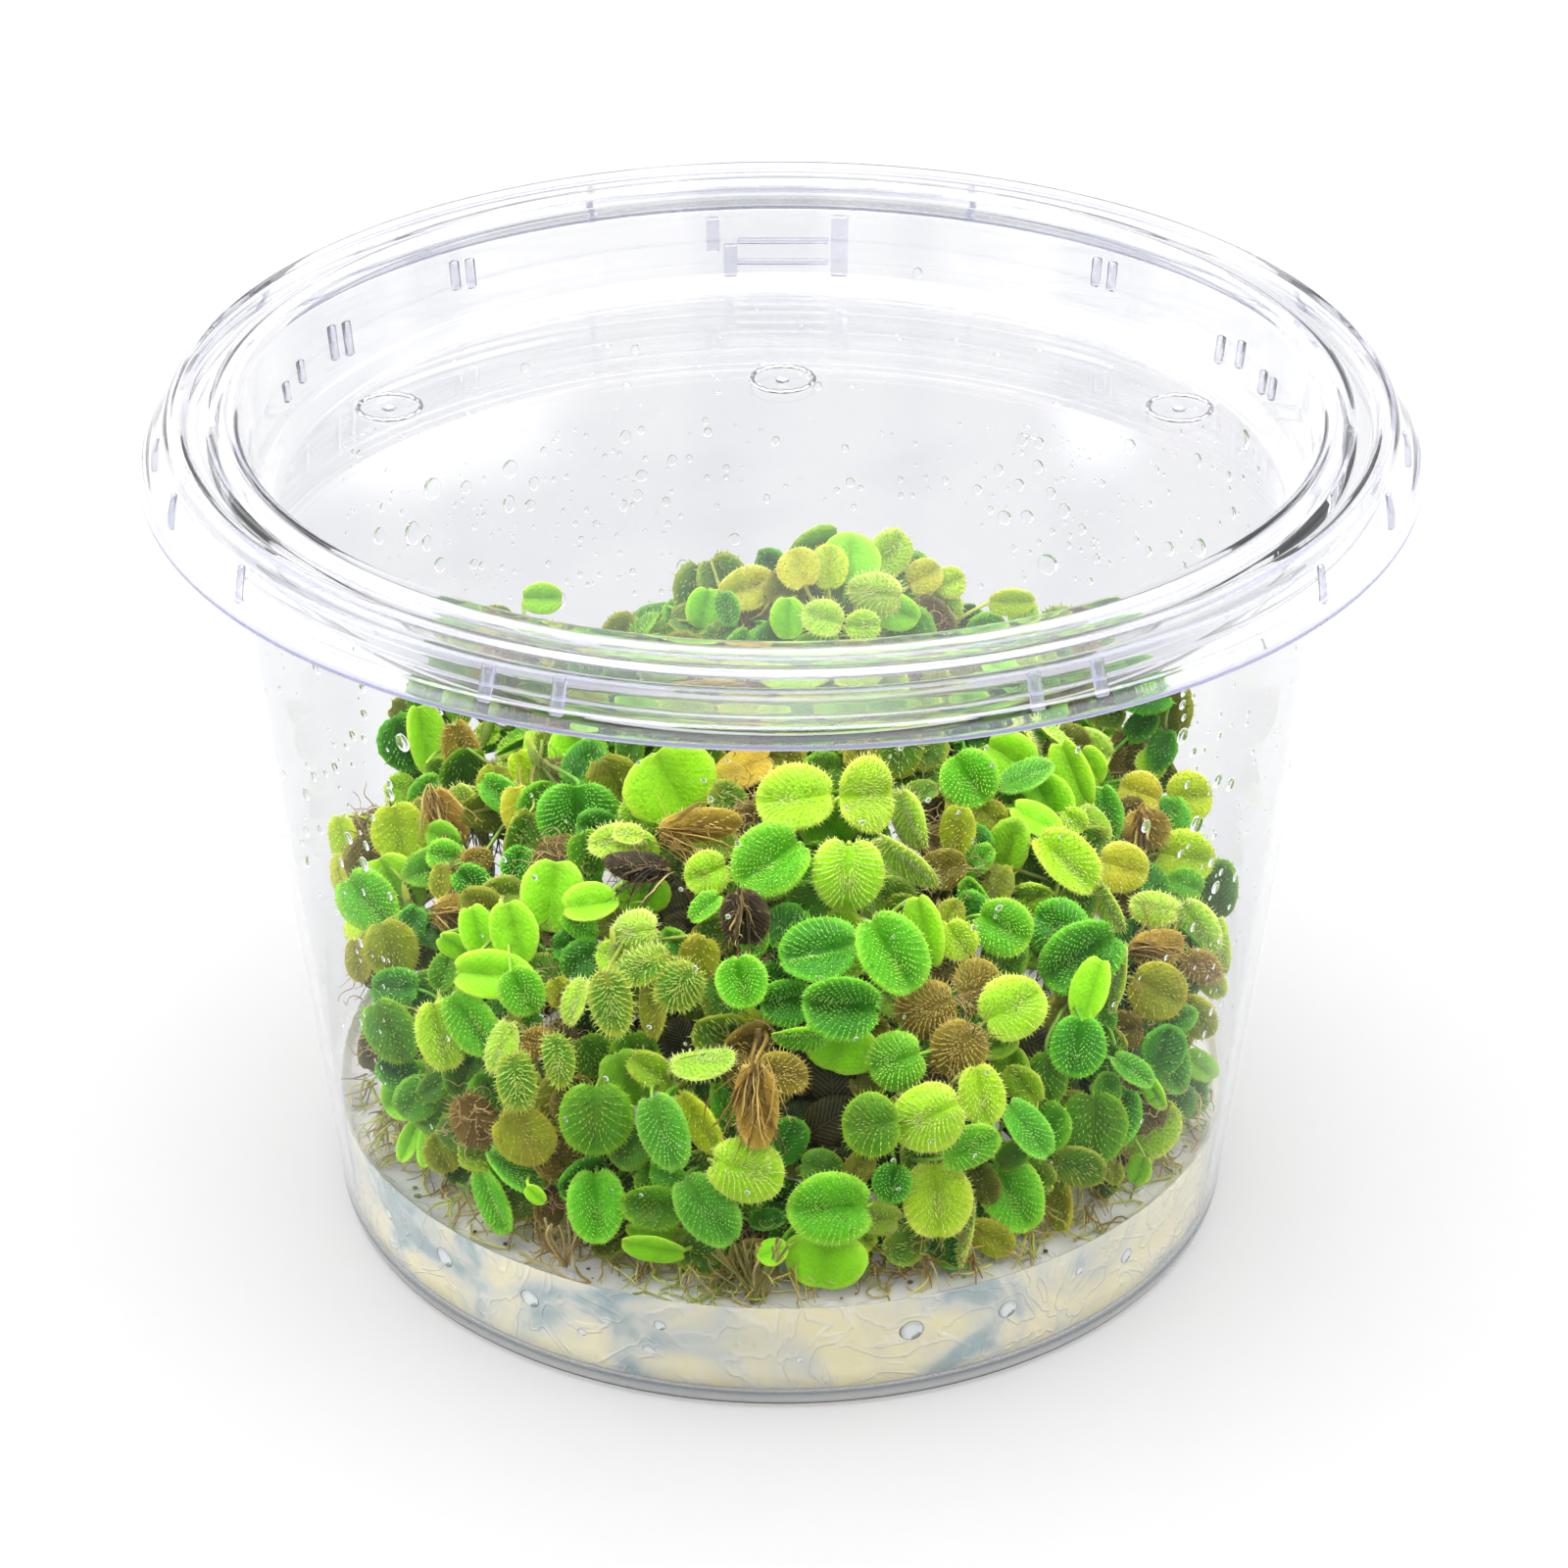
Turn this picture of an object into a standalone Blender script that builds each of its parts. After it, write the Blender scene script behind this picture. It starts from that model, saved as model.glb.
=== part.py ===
"""Salvinia plantlets on a layer of clear gel, in a round clear cup with a press-on lid.

Blender script. Lengths below are millimetres; the meshes are made in metres, +Z up,
with the origin at the centre of the cup's base.

Each plantlet is one solid: round folded leaf blades on thin stalks that meet at a
node, and a short stem that ends in a thicker root tuft. Where a plantlet's leaves
sit is read from the front view: a leaf's row gives the point of the picture plane it
covers, and it is set where that line of sight meets the skin of the heap.
"""

import math

import bpy
import bmesh
from mathutils import Vector
from mathutils.bvhtree import BVHTree

# ---------------------------------------------------------------- driving dimensions (mm)
SIDES = 32               # facets round the cup, the lid and the gel
BASE_R = 38.9            # cup's outer radius at its foot
WALL_R = 46.47           # cup's outer radius at WALL_H
WALL_H = 69.0
WALL_T = 1.0             # wall of the cup
FLOOR_Z = 1.8            # top of the cup's floor
RIM_R = 49.3             # flange of the cup, under the lid's skirt
RIM_Z = 72.0
LID_R = 52.5             # lid's skirt
LID_TOP = 74.2
PANEL_Z = 64.8           # sunken middle of the lid
PANEL_R = 42.0
LID_T = 0.8
GEL_TOP = 9.5
GAP = 0.3                # between pieces that touch
BLADE_T = 0.7            # leaf blade
STALK_R = 0.40
HUB_R = 1.0              # stem and root tuft
SMALL_LEAF = 50.0        # leaves shorter than this (picture units) are left to the fine model
MOST_LEAVES = 3          # in one plantlet's solid

# ---------------------------------------------------------------- front view
# The picture plane the rows below are given in: 1600 units square, seen from 29 degrees
# above the horizon and 395 mm away, looking along +Y.
VIEW_TILT = math.radians(29.24)
VIEW_DIST = 394.6
VIEW_SCALE = 4707.0
VIEW_AIM_Z = 36.99
VIEW_X0, VIEW_Y0 = 797.2, 800.0
EYE = Vector((0.0, -VIEW_DIST * math.cos(VIEW_TILT), VIEW_AIM_Z + VIEW_DIST * math.sin(VIEW_TILT)))
AHEAD = Vector((0.0, math.cos(VIEW_TILT), -math.sin(VIEW_TILT)))
ABOVE = Vector((0.0, math.sin(VIEW_TILT), math.cos(VIEW_TILT)))
ACROSS = Vector((1.0, 0.0, 0.0))

# A row is one leaf: x, y in the picture plane; direction from its base to its tip
# (degrees anticlockwise from the right); length; width; pitch (tip away); roll (right side
# away); fold of each half about the midrib; curl of the midrib; look; millimetres nearer.
PLANTS = [
    [(684, 798, -62, 80, 104, 8, 0, 14, 0, 's', 0), (652, 832, -120, 44, 44, 25, 0, 8, 0, 'y', -2), (590, 765, -60, 64, 62, 10, 0, 8, 0, 's', -3)],
    [(812, 813, 186, 84, 76, 4, 22, 8, 0, 'y', 1), (884, 810, 5, 72, 84, 36, 0, 18, 0, 'y', 1), (927, 834, -70, 68, 60, 0, 56, 5, 0, 'l', -1)],
    [(786, 877, 215, 86, 80, 4, 15, 18, 0, 'g', 2.5), (722, 890, 200, 48, 48, 0, 0, 5, 0, 'y', 0), (765, 907, -8, 68, 44, 0, 66, 0, 0, 'l', 0)],
    [(865, 892, -92, 84, 78, 10, 0, -14, -25, 'y', 3), (925, 878, -38, 80, 54, 0, 60, 10, 0, 'l', 1.5)],
    [(836, 968, 192, 86, 76, 4, 30, 10, 0, 'd', 2), (910, 971, -58, 94, 76, 0, -14, 22, 0, 'g', 3), (941, 949, -78, 80, 60, 0, 46, 0, 0, 's', 0.5)],
    [(860, 1026, 176, 84, 78, 0, -12, 34, 0, 'd', 3), (803, 1021, 188, 58, 58, 0, -10, 34, 0, 'd', 1), (857, 1066, -110, 60, 84, 20, 0, 0, 0, 's', -0.5), (818, 1057, 182, 58, 46, 0, -58, 20, 0, 'g', 0.5)],
    [(757, 1000, -75, 58, 64, 0, 0, 36, 15, 'g', 1.5), (720, 924, -140, 42, 32, 0, 35, 20, 0, 'g', 0.5), (770, 957, -100, 38, 34, 10, 0, 30, 0, 'g', 0), (755, 1052, -25, 72, 60, 10, 15, 10, 0, 'Y', 0)],
    [(647, 950, 186, 58, 50, 30, 0, -20, -20, 'l', 1), (655, 982, 202, 64, 50, 5, 35, -25, 0, 'h', 2), (626, 975, 160, 40, 36, 20, 0, 10, 0, 'y', -0.5), (624, 1021, -80, 72, 48, 0, 0, -22, 0, 'h', 2), (693, 1005, -132, 54, 52, 5, 0, -15, 0, 'h', 1.5), (712, 978, -110, 58, 44, 20, 10, -10, 0, 'o', -0.5), (666, 1030, -88, 60, 40, 10, 45, 10, 0, 'o', 0.5)],
    [(588, 1020, -110, 54, 36, 0, 45, 20, 0, 'l', 0.5), (572, 1012, -70, 36, 32, 10, 0, 25, 0, 'o', 0), (605, 1076, -60, 50, 46, 20, 0, 0, 0, 'm', -3), (648, 1078, -80, 62, 52, 25, 0, 0, 0, 'm', -4), (609, 1140, -90, 80, 78, 6, 0, -6, -10, 'm', 0.5), (665, 1205, -90, 40, 36, 10, 0, 0, 0, 'm', -3)],
    [(525, 950, -75, 70, 52, 5, 10, 14, 0, 's', 1.5), (488, 948, -72, 58, 40, 5, -15, 10, 0, 's', 1), (465, 964, -30, 42, 30, 10, 30, 15, 0, 's', 0.5), (503, 993, -4, 86, 54, 5, -12, 14, 0, 's', 1), (533, 1010, -60, 56, 48, 15, 0, 5, 0, 'g', -0.5), (454, 990, -110, 44, 36, 10, 30, 20, 0, 'm', -0.5)],
    [(452, 1054, -78, 76, 56, 0, -10, 14, 0, 'y', 1.5), (482, 1042, -55, 80, 54, 0, 20, 14, 0, 'g', 1), (400, 1050, -60, 74, 54, 0, 0, 25, 0, 'm', 0)],
    [(423, 1112, 212, 74, 72, 0, 0, 24, 0, 's', 1.5), (420, 1162, -112, 48, 24, 0, 20, 20, 0, 's', 0.5), (438, 1164, -100, 52, 26, 0, 40, 20, 0, 's', 0.5), (452, 1175, -70, 46, 36, 10, 0, 5, 0, 'o', -1)],
    [(375, 918, -48, 74, 60, 0, -10, 12, 0, 'g', 1.5), (402, 903, -60, 76, 62, 10, 10, 8, 0, 's', 0), (400, 967, -70, 66, 56, 10, 0, 10, 0, 'o', -1), (366, 978, -80, 46, 36, 0, 40, 5, 0, 'o', -1)],
    [(407, 847, -75, 64, 60, 8, 0, 6, 0, 'Y', 0), (349, 856, -80, 58, 36, 0, 30, 5, 0, 'Y', 0), (408, 804, -30, 36, 34, 10, 0, 10, 0, 'y', -1), (345, 890, -80, 44, 26, 0, 40, 5, 0, 'p', 0)],
    [(434, 752, -80, 80, 50, 0, -20, 34, 0, 's', 0), (474, 772, -72, 84, 46, 5, 20, 25, 0, 'b', -1), (497, 747, 0, 26, 24, 0, 0, 10, 0, 'y', -2)],
    [(564, 911, -98, 78, 68, 0, 0, 14, 0, 's', 0.5), (602, 920, 8, 60, 50, 0, -30, 24, 0, 's', 0.5), (592, 942, -40, 44, 32, 0, 20, 10, 0, 'g', -0.5), (627, 857, 190, 56, 38, 10, 20, 15, 0, 'l', 1), (656, 912, -90, 46, 60, 20, 0, 0, 0, 's', -0.5), (642, 850, 170, 34, 26, 10, 30, 10, 0, 'l', 1.5)],
    [(590, 832, -90, 78, 88, 12, 0, -6, 0, 'd', -2), (600, 868, -70, 48, 42, 10, 0, 8, 0, 'm', -1), (548, 766, -80, 50, 36, 0, 40, 15, 0, 's', -3)],
    [(505, 800, -90, 46, 40, 5, 0, 8, 0, 'o', -3), (535, 781, -60, 38, 34, 10, 0, 8, 0, 'Y', -3), (530, 826, -80, 56, 40, 10, 10, 8, 0, 'p', -3), (475, 817, -60, 44, 32, 10, 30, 10, 0, 'l', -3), (454, 872, 170, 40, 36, 10, 0, 10, 0, 'g', -2), (450, 897, -95, 38, 26, 0, 20, 10, 0, 'o', -2), (482, 900, -40, 46, 38, 10, 0, 5, 0, 'd', -3), (528, 880, -110, 40, 34, 10, 0, 10, 0, 'd', -2)],
    [(528, 1102, -85, 64, 46, 0, 0, -28, 0, 'h', 2.5), (512, 1066, -108, 58, 38, 0, 30, -15, 0, 'l', 1), (523, 1054, -90, 42, 28, 0, 0, 20, 0, 'o', 0.5), (570, 1080, -78, 58, 36, 0, 10, -25, 0, 'h', 1.5), (536, 1158, -35, 70, 60, 5, 0, -12, 0, 'o', -0.5), (566, 1128, -100, 76, 44, 15, 0, -5, 0, 'o', -2)],
    [(609, 1228, -88, 80, 62, 0, 5, 12, 0, 'g', 2), (568, 1212, -90, 78, 58, 0, -56, -5, 0, 'l', 1.5)],
    [(526, 1192, -42, 72, 44, 0, -45, 5, 0, 't', 2), (503, 1224, -66, 84, 50, 0, 45, 5, 0, 'g', 1.5), (516, 1212, -56, 84, 44, 0, 10, 40, 0, 's', 1), (547, 1218, -40, 26, 20, 0, 30, 10, 0, 's', 1)],
    [(668, 1230, 176, 68, 56, 0, -15, 38, 0, 'm', 1), (672, 1258, 172, 70, 40, 0, -56, 10, 0, 's', 0.5), (668, 1274, 170, 70, 40, 0, -50, 5, 0, 's', 0)],
    [(722, 1233, -52, 88, 60, 0, 10, 4, 0, 't', 1.5), (762, 1193, -15, 86, 70, 5, 0, -16, -20, 'Y', 2), (750, 1224, -20, 56, 40, 20, 50, 0, 0, 'm', 0)],
    [(677, 1153, -70, 86, 54, 0, 12, -14, 0, 't', 1), (713, 1144, -55, 78, 46, 0, 42, 14, 0, 'Y', 0.5), (717, 1082, 8, 70, 48, 0, -46, -20, 0, 'l', 0.5)],
    [(848, 1232, 182, 90, 78, 0, -8, 12, 0, 'g', 2.5), (842, 1284, -98, 66, 88, 20, 0, 0, 0, 's', 0.5), (788, 1276, 200, 34, 30, 0, 20, 0, 0, 's', 0.5)],
    [(926, 1272, -70, 84, 86, 8, 0, 0, 0, 's', 0.5), (956, 1222, -88, 84, 74, 4, 0, 10, 0, 'y', 2.5), (985, 1257, -100, 84, 44, 0, 68, 5, 0, 'l', 1.5)],
    [(1031, 1216, -62, 86, 66, 4, 0, 8, 0, 'g', 2), (989, 1170, 24, 68, 48, 5, 25, -8, 0, 'g', 1.5), (1048, 1150, -52, 74, 44, 0, -25, 14, 0, 't', 1.5), (1059, 1234, -82, 78, 44, 0, 34, 5, 0, 's', 0.5), (1079, 1222, -84, 76, 44, 0, 44, 5, 0, 'o', -0.5), (1010, 1262, -28, 62, 44, 10, 20, 0, 0, 'o', -0.5)],
    [(946, 1140, 205, 82, 74, 8, 0, -14, -20, 'y', 2.5), (1001, 1116, -78, 66, 50, 5, -10, 8, 0, 'y', 1.5), (889, 1147, 188, 62, 68, 10, 0, -8, 0, 'm', 1)],
    [(914, 1082, 198, 64, 66, 8, 0, -16, -15, 'g', 1.5), (977, 1070, -125, 64, 62, 8, 0, -14, -15, 'b', 1.5), (910, 1206, -100, 44, 42, 10, 0, 15, 0, 'd', -1), (945, 1029, 200, 68, 64, 8, 0, -14, -15, 'b', 1), (999, 1006, 22, 52, 62, 10, 0, -8, 0, 'b', 1), (1032, 1027, 28, 74, 68, 8, 0, -6, 0, 'y', 1.5)],
    [(1023, 945, -28, 64, 62, 4, 0, 12, 0, 'g', 1), (977, 958, -55, 44, 42, 8, 0, 10, 0, 'y', 1), (970, 931, 60, 32, 30, 10, 0, 10, 0, 'o', 0)],
    [(989, 793, -55, 62, 64, 5, 0, 16, 0, 'g', 0.5), (977, 846, -98, 54, 44, 5, 30, 10, 0, 'o', -1), (1010, 832, -40, 40, 36, 10, 0, 5, 0, 'o', -2)],
    [(1030, 772, -30, 62, 56, 10, 0, 5, 0, 's', -1.5), (1046, 790, 24, 64, 44, 0, -45, 5, 0, 't', 0), (1068, 818, -60, 68, 58, 8, 0, 14, 0, 's', -0.5), (1057, 834, -30, 60, 40, 0, -35, 10, 0, 's', 0)],
    [(1094, 790, -68, 82, 46, 0, 24, 14, 0, 's', -1), (1128, 828, -80, 62, 42, 0, 25, 10, 0, 't', -1), (1112, 780, -60, 44, 36, 10, 0, 5, 0, 's', -2), (1096, 836, -40, 30, 28, 10, 0, 10, 0, 'y', 0.5)],
    [(1088, 877, -44, 84, 64, 0, -22, 34, 0, 'y', 1.5), (1145, 884, -15, 56, 54, 10, 0, 4, 0, 'p', 0.5), (1131, 924, -62, 58, 34, 0, 50, 15, 0, 'l', 1)],
    [(1080, 946, 150, 62, 64, 10, 0, -5, 0, 'd', 0), (1103, 975, 212, 94, 78, 0, -8, 26, 0, 'd', 1.5), (1112, 1008, -108, 72, 48, 0, 28, 25, 0, 's', 1.5), (1140, 996, -100, 74, 34, 0, 66, 0, 0, 'l', 0.5), (1099, 1066, -98, 66, 60, 0, 0, 16, 0, 'd', 1.5), (1068, 1098, -90, 60, 44, 20, 0, 0, 0, 'm', -2)],
    [(1137, 1138, -112, 68, 54, 0, 10, 8, 0, 'd', 0.5), (1186, 1076, -66, 82, 56, 0, -16, 34, 0, 't', 1), (1154, 1090, -36, 52, 34, 0, -35, 20, 0, 't', 1), (1174, 1112, -60, 44, 24, 0, 30, 10, 0, 's', 0.5), (1171, 1152, 42, 74, 60, 0, 0, 22, 0, 'y', 1.5), (1160, 1192, -110, 34, 28, 10, 20, 0, 0, 's', 0), (1136, 1196, -90, 24, 20, 0, 0, 0, 0, 'o', -0.5), (1115, 1148, -90, 80, 70, 14, 0, 0, 0, 'm', -1)],
    [(1178, 925, 170, 54, 42, 10, 20, -20, 0, 'l', 1), (1222, 944, -55, 66, 44, 0, 25, -15, 0, 'l', 0.5), (1246, 962, -85, 76, 30, 0, 40, 0, 0, 'Y', -0.5), (1180, 1010, -30, 62, 62, 10, 0, -5, 0, 'o', -0.5), (1219, 1036, -60, 50, 40, 5, 20, 0, 0, 'o', -0.5), (1235, 1000, -60, 40, 30, 5, 20, 0, 0, 'Y', -0.5)],
    [(1209, 874, -10, 64, 60, 8, 0, 5, 0, 'Y', -1), (1214, 812, 0, 52, 54, 8, 0, 5, 0, 'Y', -1), (1176, 778, 80, 34, 34, 5, 0, 10, 0, 'y', -1), (1164, 808, 160, 48, 46, 10, 0, 8, 0, 'p', -1)],
    [(868, 574, 80, 62, 64, 15, 0, 8, 0, 's', 0), (908, 566, 50, 54, 46, 15, 10, 10, 0, 'y', 0), (815, 582, 110, 46, 46, 15, 0, 8, 0, 'p', 0), (846, 580, 90, 50, 40, 15, 0, 8, 0, 'Y', -1), (893, 607, 170, 68, 46, 30, 0, -15, 0, 'l', 1), (912, 625, -20, 60, 40, 20, 0, 10, 0, 's', 0.5), (943, 590, 30, 40, 38, 10, 0, 8, 0, 'p', 0), (969, 596, 20, 34, 34, 10, 0, 8, 0, 'Y', 0)],
    [(720, 622, -100, 46, 42, 10, 0, 14, 0, 's', 0), (742, 622, -80, 40, 30, 10, 30, 10, 0, 't', 0), (763, 602, 20, 66, 46, 20, 0, 10, 0, 'p', -0.5), (964, 620, -40, 40, 36, 10, 0, 8, 0, 'y', 0), (804, 632, -90, 46, 40, 10, 0, 25, 0, 's', 1), (840, 632, 160, 46, 40, 10, 10, 10, 0, 'l', 1), (880, 640, 0, 40, 34, 20, 0, 10, 0, 'y', 1)],
    [(455, 680, -60, 46, 40, 10, 0, 8, 0, 'g', 0), (482, 692, -30, 36, 34, 10, 0, 8, 0, 'p', 0), (552, 700, -60, 46, 40, 10, 0, 10, 0, 'g', 0), (600, 712, -60, 46, 40, 10, 0, 8, 0, 'p', 0), (553, 612, 0, 46, 34, 20, 0, 14, 0, 's', 0)],
    [(650, 722, -80, 56, 50, 10, 0, 8, 0, 's', 0), (700, 716, -60, 60, 56, 10, 0, 8, 0, 'y', 0), (790, 728, -90, 40, 36, 10, 0, 8, 0, 'Y', 1.5), (760, 716, -20, 60, 44, 20, 0, 5, 0, 'Y', 1)],
    [(858, 716, -60, 62, 56, 15, 0, 5, 0, 's', 1), (905, 712, -80, 50, 46, 10, 0, 8, 0, 'g', 1.5), (943, 718, -60, 40, 40, 10, 0, 14, 0, 'y', 1), (990, 716, -40, 46, 40, 10, 0, 8, 0, 's', 0)],
    [(1062, 700, -40, 46, 44, 10, 0, 8, 0, 'g', 0), (1110, 692, -60, 50, 44, 10, 0, 8, 0, 's', -0.5), (1165, 684, -30, 46, 40, 10, 0, 8, 0, 'g', -0.5), (1032, 616, 0, 52, 30, 20, 20, 10, 0, 'Y', 0)],
]
DEAD = [
    [(772, 1126, -86, 92, 52, 0, 0, -30, 0, 'B', 2.5), (797, 1094, -12, 58, 44, 5, 0, 0, 0, 'b', 1)],
    [(714, 842, 8, 88, 40, 0, 20, -20, 0, 'B', 1.5), (758, 782, 200, 72, 46, 20, 20, -10, 0, 'w', -2)],
    [(650, 882, 172, 68, 36, 0, 10, -25, 0, 'K', 1.5), (760, 935, -80, 60, 50, 10, 0, 0, 0, 'K', -1)],
    [(455, 832, -60, 66, 40, 0, 10, 10, 0, 'B', -2), (486, 876, 10, 34, 26, 0, 0, 0, 0, 'b', -2), (466, 930, 0, 50, 40, 20, 0, 0, 0, 'B', -2)],
    [(485, 1142, -60, 60, 48, 0, 0, -10, 0, 'F', -0.5), (549, 1062, -10, 34, 32, 0, 0, 0, 0, 'b', 0)],
    [(1170, 845, -80, 46, 50, 10, 0, 0, 0, 'B', -1.5), (1180, 966, 10, 60, 40, 10, 0, -10, 0, 'B', -0.5), (1225, 985, -30, 46, 34, 10, 0, 0, 0, 'b', -0.5)],
]
BACK_PLANTS = 7          # plantlets on the far side of the heap, which the front view doesn't show


# ---------------------------------------------------------------- the heap
def wall_radius(z):
    """Inner radius of the cup's wall at height z."""
    return BASE_R + (WALL_R - BASE_R) * z / WALL_H - WALL_T


def heap_height(x, y):
    """Height of the heap's skin: a broad dome with a peak behind its middle."""
    a = x / 45.0
    b = (y - 4.0) / (41.5 if y < 4.0 else 36.0)
    dome = GEL_TOP + 32.0 * math.sqrt(max(0.0, 1.0 - a * a - b * b))
    return dome + 13.0 * math.exp(-(((x - 4.0) / 15.0) ** 2 + ((y - 9.0) / 13.0) ** 2))


def heap_normal(x, y):
    e = 0.5
    dx = (heap_height(x + e, y) - heap_height(x - e, y)) / (2 * e)
    dy = (heap_height(x, y + e) - heap_height(x, y - e)) / (2 * e)
    return Vector((-dx, -dy, 1.0)).normalized()


def sight(px, py):
    return (AHEAD + ACROSS * ((px - VIEW_X0) / VIEW_SCALE) + ABOVE * ((VIEW_Y0 - py) / VIEW_SCALE)).normalized()


def on_heap(px, py):
    """Distance along the line of sight at which it meets the heap, or passes nearest to it."""
    d = sight(px, py)
    best = None
    for i in range(600):
        t = 320.0 + i * 0.2
        p = EYE + d * t
        if math.hypot(p.x, p.y) > wall_radius(max(p.z, 0.0)) - 2.0:
            continue
        over = p.z - heap_height(p.x, p.y)
        if over < 0.0:
            return t
        if best is None or over < best[0]:
            best = (over, t)
    return best[1] if best else VIEW_DIST


class Leaf:
    """One blade: centre, midrib direction, side direction, upper normal and size, in mm."""

    def __init__(self, c, m, s, n, length, width, fold, curl, look):
        self.c, self.m, self.s, self.n = c, m, s, n
        self.length, self.width = length, width
        self.fold, self.curl, self.look = fold, curl, look

    def base(self):
        low = -self.width / 8 * math.sin(math.radians(self.fold))
        return self.c - self.m * (0.45 * self.length) + self.n * low

    def rim(self, grow=0.0):
        """Half of the outline, as (across, along, rise) for the base, the side and the tip."""
        f = math.radians(self.fold)
        half = self.width / 2 + grow
        rise = half * math.sin(f) * 0.8
        low = -self.width / 8 * math.sin(f)
        return [(0.5 + grow, -self.length / 2 - grow, low),
                (half * max(math.cos(f), 0.35), 0.04 * self.length, low + rise),
                (0.26 * self.width + grow, self.length / 2 + grow, low + 0.35 * rise)]

    def plate(self, grow=0.0):
        """The blade as a six-sided plate whose sides fold up about the midrib; grow swells it."""
        t = BLADE_T / 2 + grow
        ring = self.rim(grow)
        ring = ring + [(-x, y, z) for x, y, z in reversed(ring)]
        verts = []
        for side in (1.0, -1.0):
            for x, y, z in ring:
                verts.append(self.c + self.m * y + self.s * x + self.n * (z + side * t))
        # base right, side right, tip right, tip left, side left, base left
        top = [[0, 1, 2], [0, 2, 3, 5], [3, 4, 5]]
        faces = [list(f) for f in top] + [[v + 6 for v in reversed(f)] for f in top]
        for i in range(6):
            j = (i + 1) % 6
            faces.append([i, i + 6, j + 6, j])
        return verts, faces

    def solid(self, node):
        """The plate with its stalk drawn out to the node, or None where the stalk would fold back."""
        run = self.base() - node
        if run.length < 1.2 or run.normalized().dot(self.m) < 0.05:
            return None
        d = run.normalized()
        side = self.s - d * self.s.dot(d)
        if side.length < 0.3:
            return None
        side.normalize()
        up = side.cross(d) if side.cross(d).dot(self.n) > 0 else d.cross(side)
        verts, faces = self.plate()
        start = node
        k = len(verts)
        verts += [start + side * STALK_R + up * (BLADE_T / 2), start - side * STALK_R + up * (BLADE_T / 2),
                  start + side * STALK_R - up * (BLADE_T / 2), start - side * STALK_R - up * (BLADE_T / 2)]
        faces.remove([5, 11, 6, 0])
        faces += [[5, 1 + k, k, 0], [6, 2 + k, 3 + k, 11], [0, k, 2 + k, 6], [5, 11, 3 + k, 1 + k], [k, 1 + k, 3 + k, 2 + k]]
        return verts, faces


def rod(a, b, ra, rb, sides, overshoot=0.0):
    """A tapered rod from a to b."""
    axis = (b - a).normalized()
    a, b = a - axis * overshoot, b + axis * overshoot
    side = axis.cross(Vector((0.31, 0.52, 0.79))).normalized()
    other = axis.cross(side)
    verts = []
    for p, r in ((a, ra), (b, rb)):
        for i in range(sides):
            th = 2 * math.pi * i / sides
            verts.append(p + side * (math.cos(th) * r) + other * (math.sin(th) * r))
    faces = [list(reversed(range(sides))), [v + sides for v in range(sides)]]
    for i in range(sides):
        j = (i + 1) % sides
        faces.append([i, j, j + sides, i + sides])
    return verts, faces


class Shape:
    """A closed shape with its search tree and its box."""

    def __init__(self, shape):
        verts, faces = shape
        self.tree = BVHTree.FromPolygons(verts, faces, all_triangles=False)
        self.lo = Vector((min(v[i] for v in verts) for i in range(3)))
        self.hi = Vector((max(v[i] for v in verts) for i in range(3)))

    def hits(self, other):
        for i in range(3):
            if self.lo[i] > other.hi[i] or other.lo[i] > self.hi[i]:
                return False
        return bool(self.tree.overlap(other.tree))


def inside_cup(verts):
    for v in verts:
        if v.z < GEL_TOP + GAP or v.z > PANEL_Z - LID_T - 1.0:
            return False
        if math.hypot(v.x, v.y) > wall_radius(v.z) - 0.5:
            return False
    return True


def seen_leaf(row, t, scale=1.0):
    """The leaf of a row, set at distance t along its line of sight."""
    px, py, angle, length, width, pitch, roll, fold, curl, look, near = row
    c = EYE + sight(px, py) * t
    size = (c - EYE).dot(AHEAD) / VIEW_SCALE * scale
    back = (EYE - c).normalized()
    u = ABOVE.cross(back).normalized()
    v = back.cross(u)
    a, p, r = math.radians(angle), math.radians(pitch), math.radians(roll)
    m = u * math.cos(a) + v * math.sin(a)
    s = u * math.sin(a) - v * math.cos(a)
    m, n = m * math.cos(p) - back * math.sin(p), back * math.cos(p) + m * math.sin(p)
    s, n = s * math.cos(r) - n * math.sin(r), n * math.cos(r) + s * math.sin(r)
    return Leaf(c, m, s, n, length * size, width * size, fold, curl, look)


def shifts():
    """Steps along the line of sight that are tried in turn, in mm."""
    yield 0.0
    for k in range(1, 15):
        yield -0.5 * k
        yield 0.5 * k


def place_leaves(groups):
    """Every row of every group as a leaf that clears the leaves of all other groups."""
    order = sorted(((row[10], gi, ri) for gi, g in enumerate(groups) for ri, row in enumerate(g)),
                   key=lambda e: (-e[0], e[1], e[2]))
    placed = {}
    shapes = []
    for near, gi, ri in order:
        row = groups[gi][ri]
        t0 = on_heap(row[0], row[1]) - near
        done = None
        for scale in (1.0, 0.9, 0.8):
            for step in shifts():
                leaf = seen_leaf(row, t0 - step, scale)
                grown = leaf.plate(GAP + 0.05)
                if not inside_cup(grown[0]):
                    continue
                probe = Shape(grown)
                if any(probe.hits(s) for g, s in shapes):
                    continue
                done = leaf
                break
            if done:
                break
        if done:
            placed[(gi, ri)] = done
            shapes.append((gi, Shape(done.plate())))
    return placed, shapes


def main_leaves(group):
    """The rows of a plantlet that are big enough for its solid, at least one and at most MOST_LEAVES."""
    by_size = sorted(range(len(group)), key=lambda i: (-group[i][3] * group[i][4], i))
    kept = [i for k, i in enumerate(by_size) if k < 2 or (k < MOST_LEAVES and group[i][3] >= SMALL_LEAF)]
    return [group[i] for i in sorted(kept)]


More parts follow.
